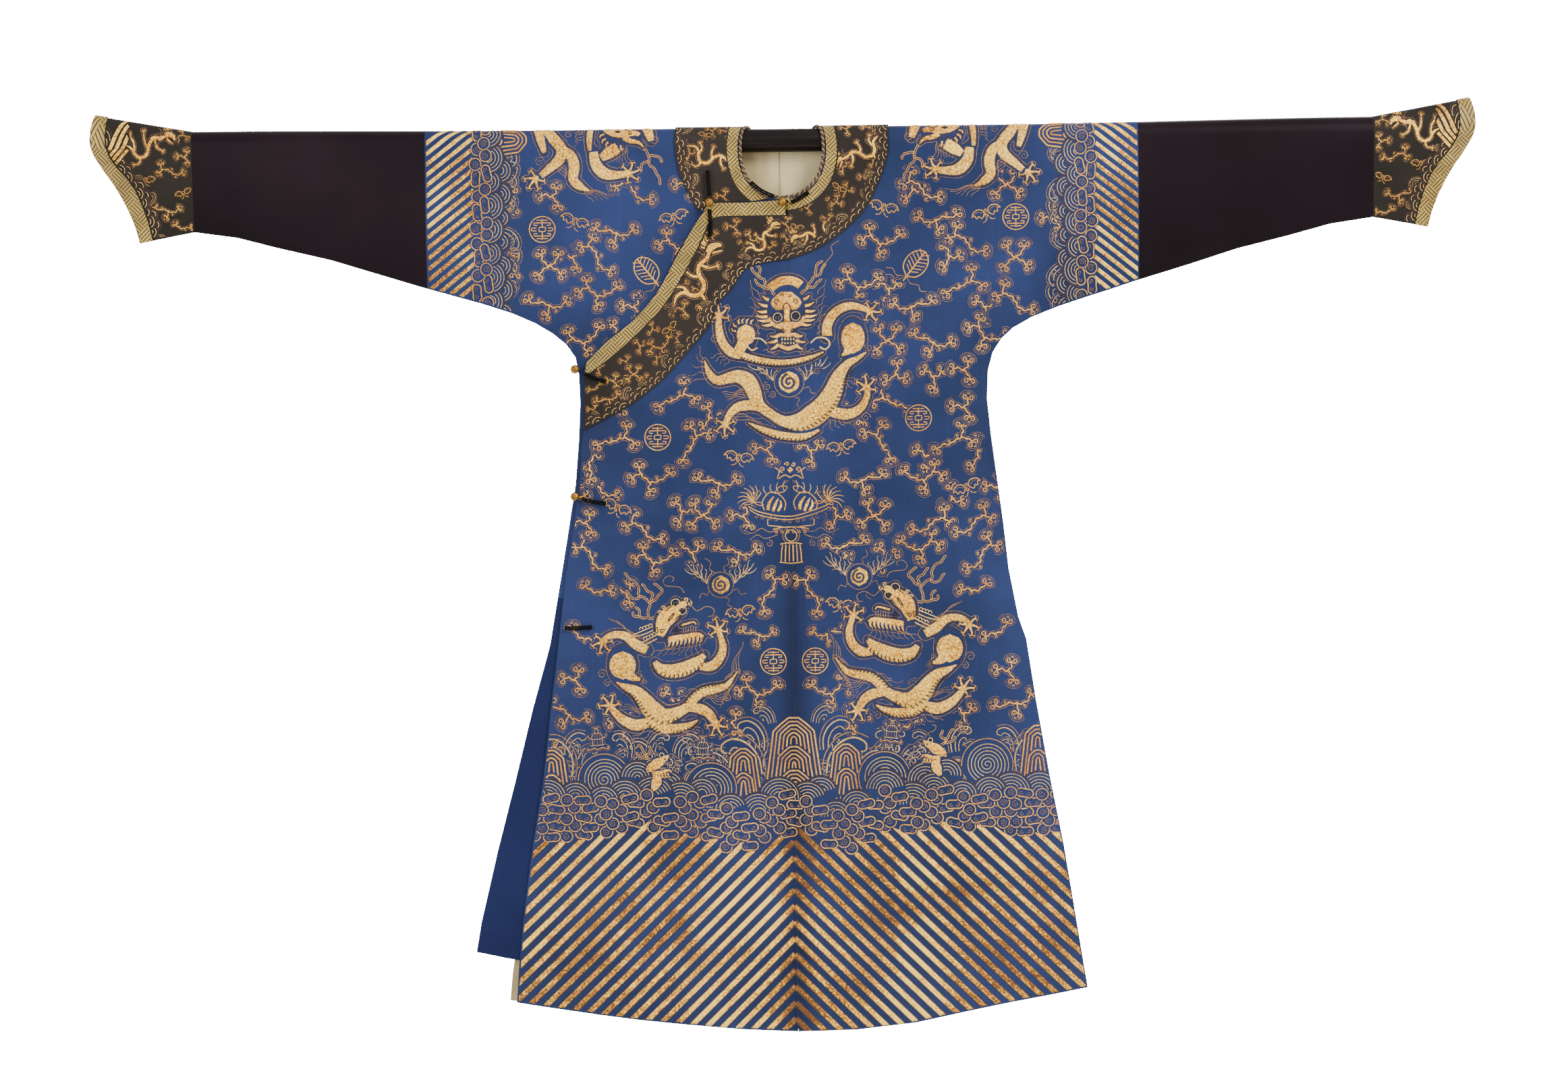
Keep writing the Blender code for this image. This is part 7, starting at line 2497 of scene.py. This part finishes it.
Cord = namedtuple("Cord", "name rise route")
CORDS = [
    Cord("cord_neck_right", 0.0036, [Line(-0.0500, -0.0670), Line(-0.0340, -0.0800),
                                     Line(-0.0150, -0.0890)]),
    Cord("cord_neck_left", 0.0036, [Line(0.0390, -0.0835), Line(0.0250, -0.0925), Line(0.0120, -0.0985)]),
    Cord("cord_corner_upper", 0.0036, [Line(-0.1172, -0.0480), Line(-0.1160, -0.0680),
                                       Line(-0.1150, -0.0870)]),
    Cord("cord_corner_lower", 0.0036, [Line(-0.1150, -0.1080), Line(-0.1140, -0.1290),
                                       Line(-0.1154, -0.1500)]),
    Cord("cord_underarm", 0.0036, [Line(-0.2789, -0.3723), Line(-0.2960, -0.3680),
                                   Line(-0.3120, -0.3600)]),
    Cord("cord_side", 0.0024, [Line(-0.2814, -0.5613), Line(-0.3000, -0.5590), Line(-0.3180, -0.5540)]),
    Cord("cord_vent", 0.0024, [Line(-0.3060, -0.7531), Line(-0.3250, -0.7540), Line(-0.3480, -0.7540)]),
]
Button = namedtuple("Button", "name x z out")
BUTTONS = [
    Button("button_neck", -0.0020, -0.0980, 0.0110), Button("button_corner", -0.1151, -0.0975, 0.0110),
    Button("button_underarm", -0.3270, -0.3527, 0.0100), Button("button_side", -0.3296, -0.5501, 0.0090),
]


def ply(places, normals, reach, thick, twist, phase):
    """One ply that winds round a line of places."""
    heading = np.gradient(places, axis=0)
    heading /= np.linalg.norm(heading, axis=-1, keepdims=True)
    run = np.concatenate([[0.0], np.cumsum(np.linalg.norm(np.diff(places, axis=0), axis=-1))])
    turns = max(1, round(run[-1] / twist))
    turn = run / run[-1] * turns * 2 * math.pi + phase
    side = np.cross(heading, normals)
    away = side * np.cos(turn)[:, None] + normals * np.sin(turn)[:, None]
    return places + away * reach, away, np.full(len(places), thick)


def joined(name, pieces):
    """One piece from several made at the same place, each with its own finish."""
    with_all = bmesh.new()
    mesh = bpy.data.meshes.new(name)
    for index, piece in enumerate(pieces):
        before = len(with_all.faces)
        with_all.from_mesh(piece.data)
        with_all.faces.ensure_lookup_table()
        for face in with_all.faces[before:]:
            face.material_index = index
        mesh.materials.append(piece.data.materials[0])
    with_all.to_mesh(mesh)
    with_all.free()
    for piece in pieces:
        bpy.data.objects.remove(piece, do_unlink=True)
    mesh.shade_smooth()
    return new_piece(name, mesh)


def make_piping():
    """Two-coloured twisted cord round the neck edge."""
    half = resample(NECK, PIPING_POINTS)
    loop = np.concatenate([half + [NECK_SHIFT, 0], (half * [-1, 1] + [NECK_SHIFT, 0])[-2:0:-1]])
    step = np.roll(loop, -1, axis=0) - np.roll(loop, 1, axis=0)
    out = np.stack([step[:, 1], -step[:, 0]], axis=-1)
    spots = loop + out / np.linalg.norm(out, axis=-1, keepdims=True) * CORD_MIDDLE
    closed = np.concatenate([spots, spots[:1]])
    x, q = closed[:, 0], closed[:, 1]
    places = place(x, q, PIPING_LIFT - lap(x, q))
    normals = place(x, q, 0.0018 - lap(x, q)) - places
    normals /= np.linalg.norm(normals, axis=-1, keepdims=True)
    plies = []
    for phase, kind in ((0.0, "umber"), (math.pi, "braid")):
        line = ply(places, normals, PIPING_PLY, PIPING_PLY, PIPING_TWIST, phase)
        plies.append(swept("piping_" + kind, [line], 1.0, 8, FINISH[kind], False))
    keep(joined("twisted_piping", plies), "neck_piping", slot="twisted_piping")


def make_loops():
    """Black cord loops: two twisted strands side by side, with bound ends."""
    for cord in CORDS:
        spots = resample([tuple(front(*row)) for row in cord.route], LOOP_POINTS)
        places = place(spots[:, 0], spots[:, 1], cord.rise + LOOP_RADIUS * 0.5)
        normals = place(spots[:, 0], spots[:, 1], cord.rise + LOOP_RADIUS) - places
        normals /= np.linalg.norm(normals, axis=-1, keepdims=True)
        heading = np.gradient(places, axis=0)
        side = np.cross(heading / np.linalg.norm(heading, axis=-1, keepdims=True), normals)
        lines = []
        for strand in (1, -1):
            middle = places + side * strand * LOOP_RADIUS * 0.52
            for phase in (0.0, math.pi):
                lines.append(ply(middle, normals, 0.0008, 0.0009, LOOP_TWIST * 0.6, phase + strand))
        for first, last in ((0, 4), (len(places) - 5, len(places) - 1)):
            lines.append((places[first:last + 1], normals[first:last + 1],
                          np.full(last - first + 1, LOOP_RADIUS)))
        strands_piece = swept(cord.name + "_strands", lines, 0.75, 10, FINISH["cord"], False)
        keep(strands_piece, cord.name, slot="black_cord")


def make_buttons():
    """Chased ball buttons, each with a shank towards its loop."""
    for button in BUTTONS:
        spot = front(button.x, button.z)
        centre = Vector(place(spot[0], spot[1], button.out + 0.003))
        ball = bmesh.new()
        bmesh.ops.create_uvsphere(ball, u_segments=64, v_segments=40, radius=BALL)
        for vertex in ball.verts:
            around = math.atan2(vertex.co.y, vertex.co.x)
            up = vertex.co.z / BALL
            lobes = 0.05 * math.cos(8 * around) * (1 - up * up)
            rings = 0.035 * math.cos(11 * up)
            vertex.co *= 0.95 + lobes + rings
        shank = bmesh.ops.create_cone(ball, cap_ends=True, segments=20, radius1=0.0030, radius2=0.0022,
                                      depth=SHANK)
        bmesh.ops.translate(ball, verts=shank["verts"], vec=(0, 0, -BALL * 0.98))
        bmesh.ops.rotate(ball, verts=ball.verts, cent=(0, 0, 0),
                         matrix=Matrix.Rotation(math.radians(90), 3, "X"))
        bmesh.ops.translate(ball, verts=ball.verts, vec=centre)
        mesh = bpy.data.meshes.new(button.name)
        ball.to_mesh(mesh)
        ball.free()
        mesh.materials.append(FINISH["brass"])
        mesh.shade_smooth()
        keep(new_piece("gilt_" + button.name, mesh), button.name, slot="gilt_brass")


def make_rod():
    """Lacquered rod with eased ends."""
    stick = bmesh.new()
    around, ease = ROD_SIDES, 0.0015
    rows = [(-ROD_HALF, ROD_RADIUS - ease), (-ROD_HALF + ease * 0.3, ROD_RADIUS - ease * 0.3),
            (-ROD_HALF + ease, ROD_RADIUS)]
    rows += [(x, ROD_RADIUS) for x in np.linspace(-ROD_HALF + 0.01, ROD_HALF - 0.01, 40)]
    rows += [(-x, radius) for x, radius in rows[2::-1]]
    rings = []
    for x, radius in rows:
        rings.append([stick.verts.new((x, radius * math.cos(a), radius * math.sin(a)))
                      for a in np.linspace(0, 2 * math.pi, around, endpoint=False)])
    for first, second in zip(rings, rings[1:]):
        for k in range(around):
            stick.faces.new((first[k - 1], first[k], second[k], second[k - 1]))
    stick.faces.new(rings[0][::-1])
    stick.faces.new(rings[-1])
    bmesh.ops.recalc_face_normals(stick, faces=stick.faces)
    mesh = bpy.data.meshes.new("rod")
    stick.to_mesh(mesh)
    stick.free()
    mesh.materials.append(FINISH["lacquer"])
    mesh.shade_smooth()
    mesh.set_sharp_from_angle(angle=math.radians(50))
    keep(new_piece("lacquered_rod", mesh), "rod", slot="lacquered_rod")


def make_fastenings():
    make_piping()
    make_loops()
    make_buttons()
    make_rod()


# ---------------------------------------------------------------- stage
def make_stage():
    """Camera, pale floor and soft studio light."""
    scene = bpy.context.scene
    view_wide, view_distance = 2.440, 6.5
    lens = bpy.data.cameras.new("camera")
    lens.sensor_width = 36.0
    lens.lens = 36.0 * view_distance / view_wide
    camera = bpy.data.objects.new("camera", lens)
    camera.location = (-0.0059, -view_distance, -0.6116)
    camera.matrix_world = (Matrix.Translation(camera.location) @ Matrix.Rotation(math.radians(90), 4, "X")
                           @ Matrix.Rotation(math.radians(-0.75), 4, "Z"))
    scene.collection.objects.link(camera)
    scene.camera = camera
    floor_mesh = bpy.data.meshes.new("floor")
    half, level = 2.0, -1.75
    floor_mesh.from_pydata([(-half, -half, level), (half, -half, level), (half, half, level),
                            (-half, half, level)],
                           [], [(0, 1, 2, 3)])
    made, tree, shader = start("pale_floor", Roughness=0.8)
    shader.inputs["Base Color"].default_value = (0.85, 0.85, 0.84, 1.0)
    floor_mesh.materials.append(made)
    new_piece("floor", floor_mesh)
    world = bpy.data.worlds.new("studio")
    scene.world = world
    world.use_nodes = True
    tree = world.node_tree
    tree.nodes.clear()
    soft = add(tree, "ShaderNodeBackground", inputs={"Color": (1.0, 1.0, 1.0, 1.0), "Strength": 1.1})
    white = add(tree, "ShaderNodeBackground", inputs={"Color": (1.0, 1.0, 1.0, 1.0), "Strength": 22.0})
    seen = add(tree, "ShaderNodeLightPath").outputs["Is Camera Ray"]
    both = add(tree, "ShaderNodeMixShader", inputs={0: seen, 1: soft.outputs[0], 2: white.outputs[0]})
    add(tree, "ShaderNodeOutputWorld", inputs={"Surface": both.outputs[0]})
    for name, spot, size, power in (("key", (3.0, -3.2, 2.4), 2.0, 300.0),
                                    ("fill", (-3.0, -4.0, 0.6), 3.0, 110.0),
                                    ("rear", (1.5, 4.0, 2.0), 3.0, 150.0)):
        lamp = bpy.data.lights.new(name, "AREA")
        lamp.shape = "DISK"
        lamp.size = size
        lamp.energy = power
        item = bpy.data.objects.new(name, lamp)
        aim = Vector((0.0, 0.0, -0.65)) - Vector(spot)
        item.matrix_world = Matrix.Translation(spot) @ aim.to_track_quat("-Z", "Y").to_matrix().to_4x4()
        scene.collection.objects.link(item)


make_stage()
make_cloth()
make_embroidery()
make_fastenings()
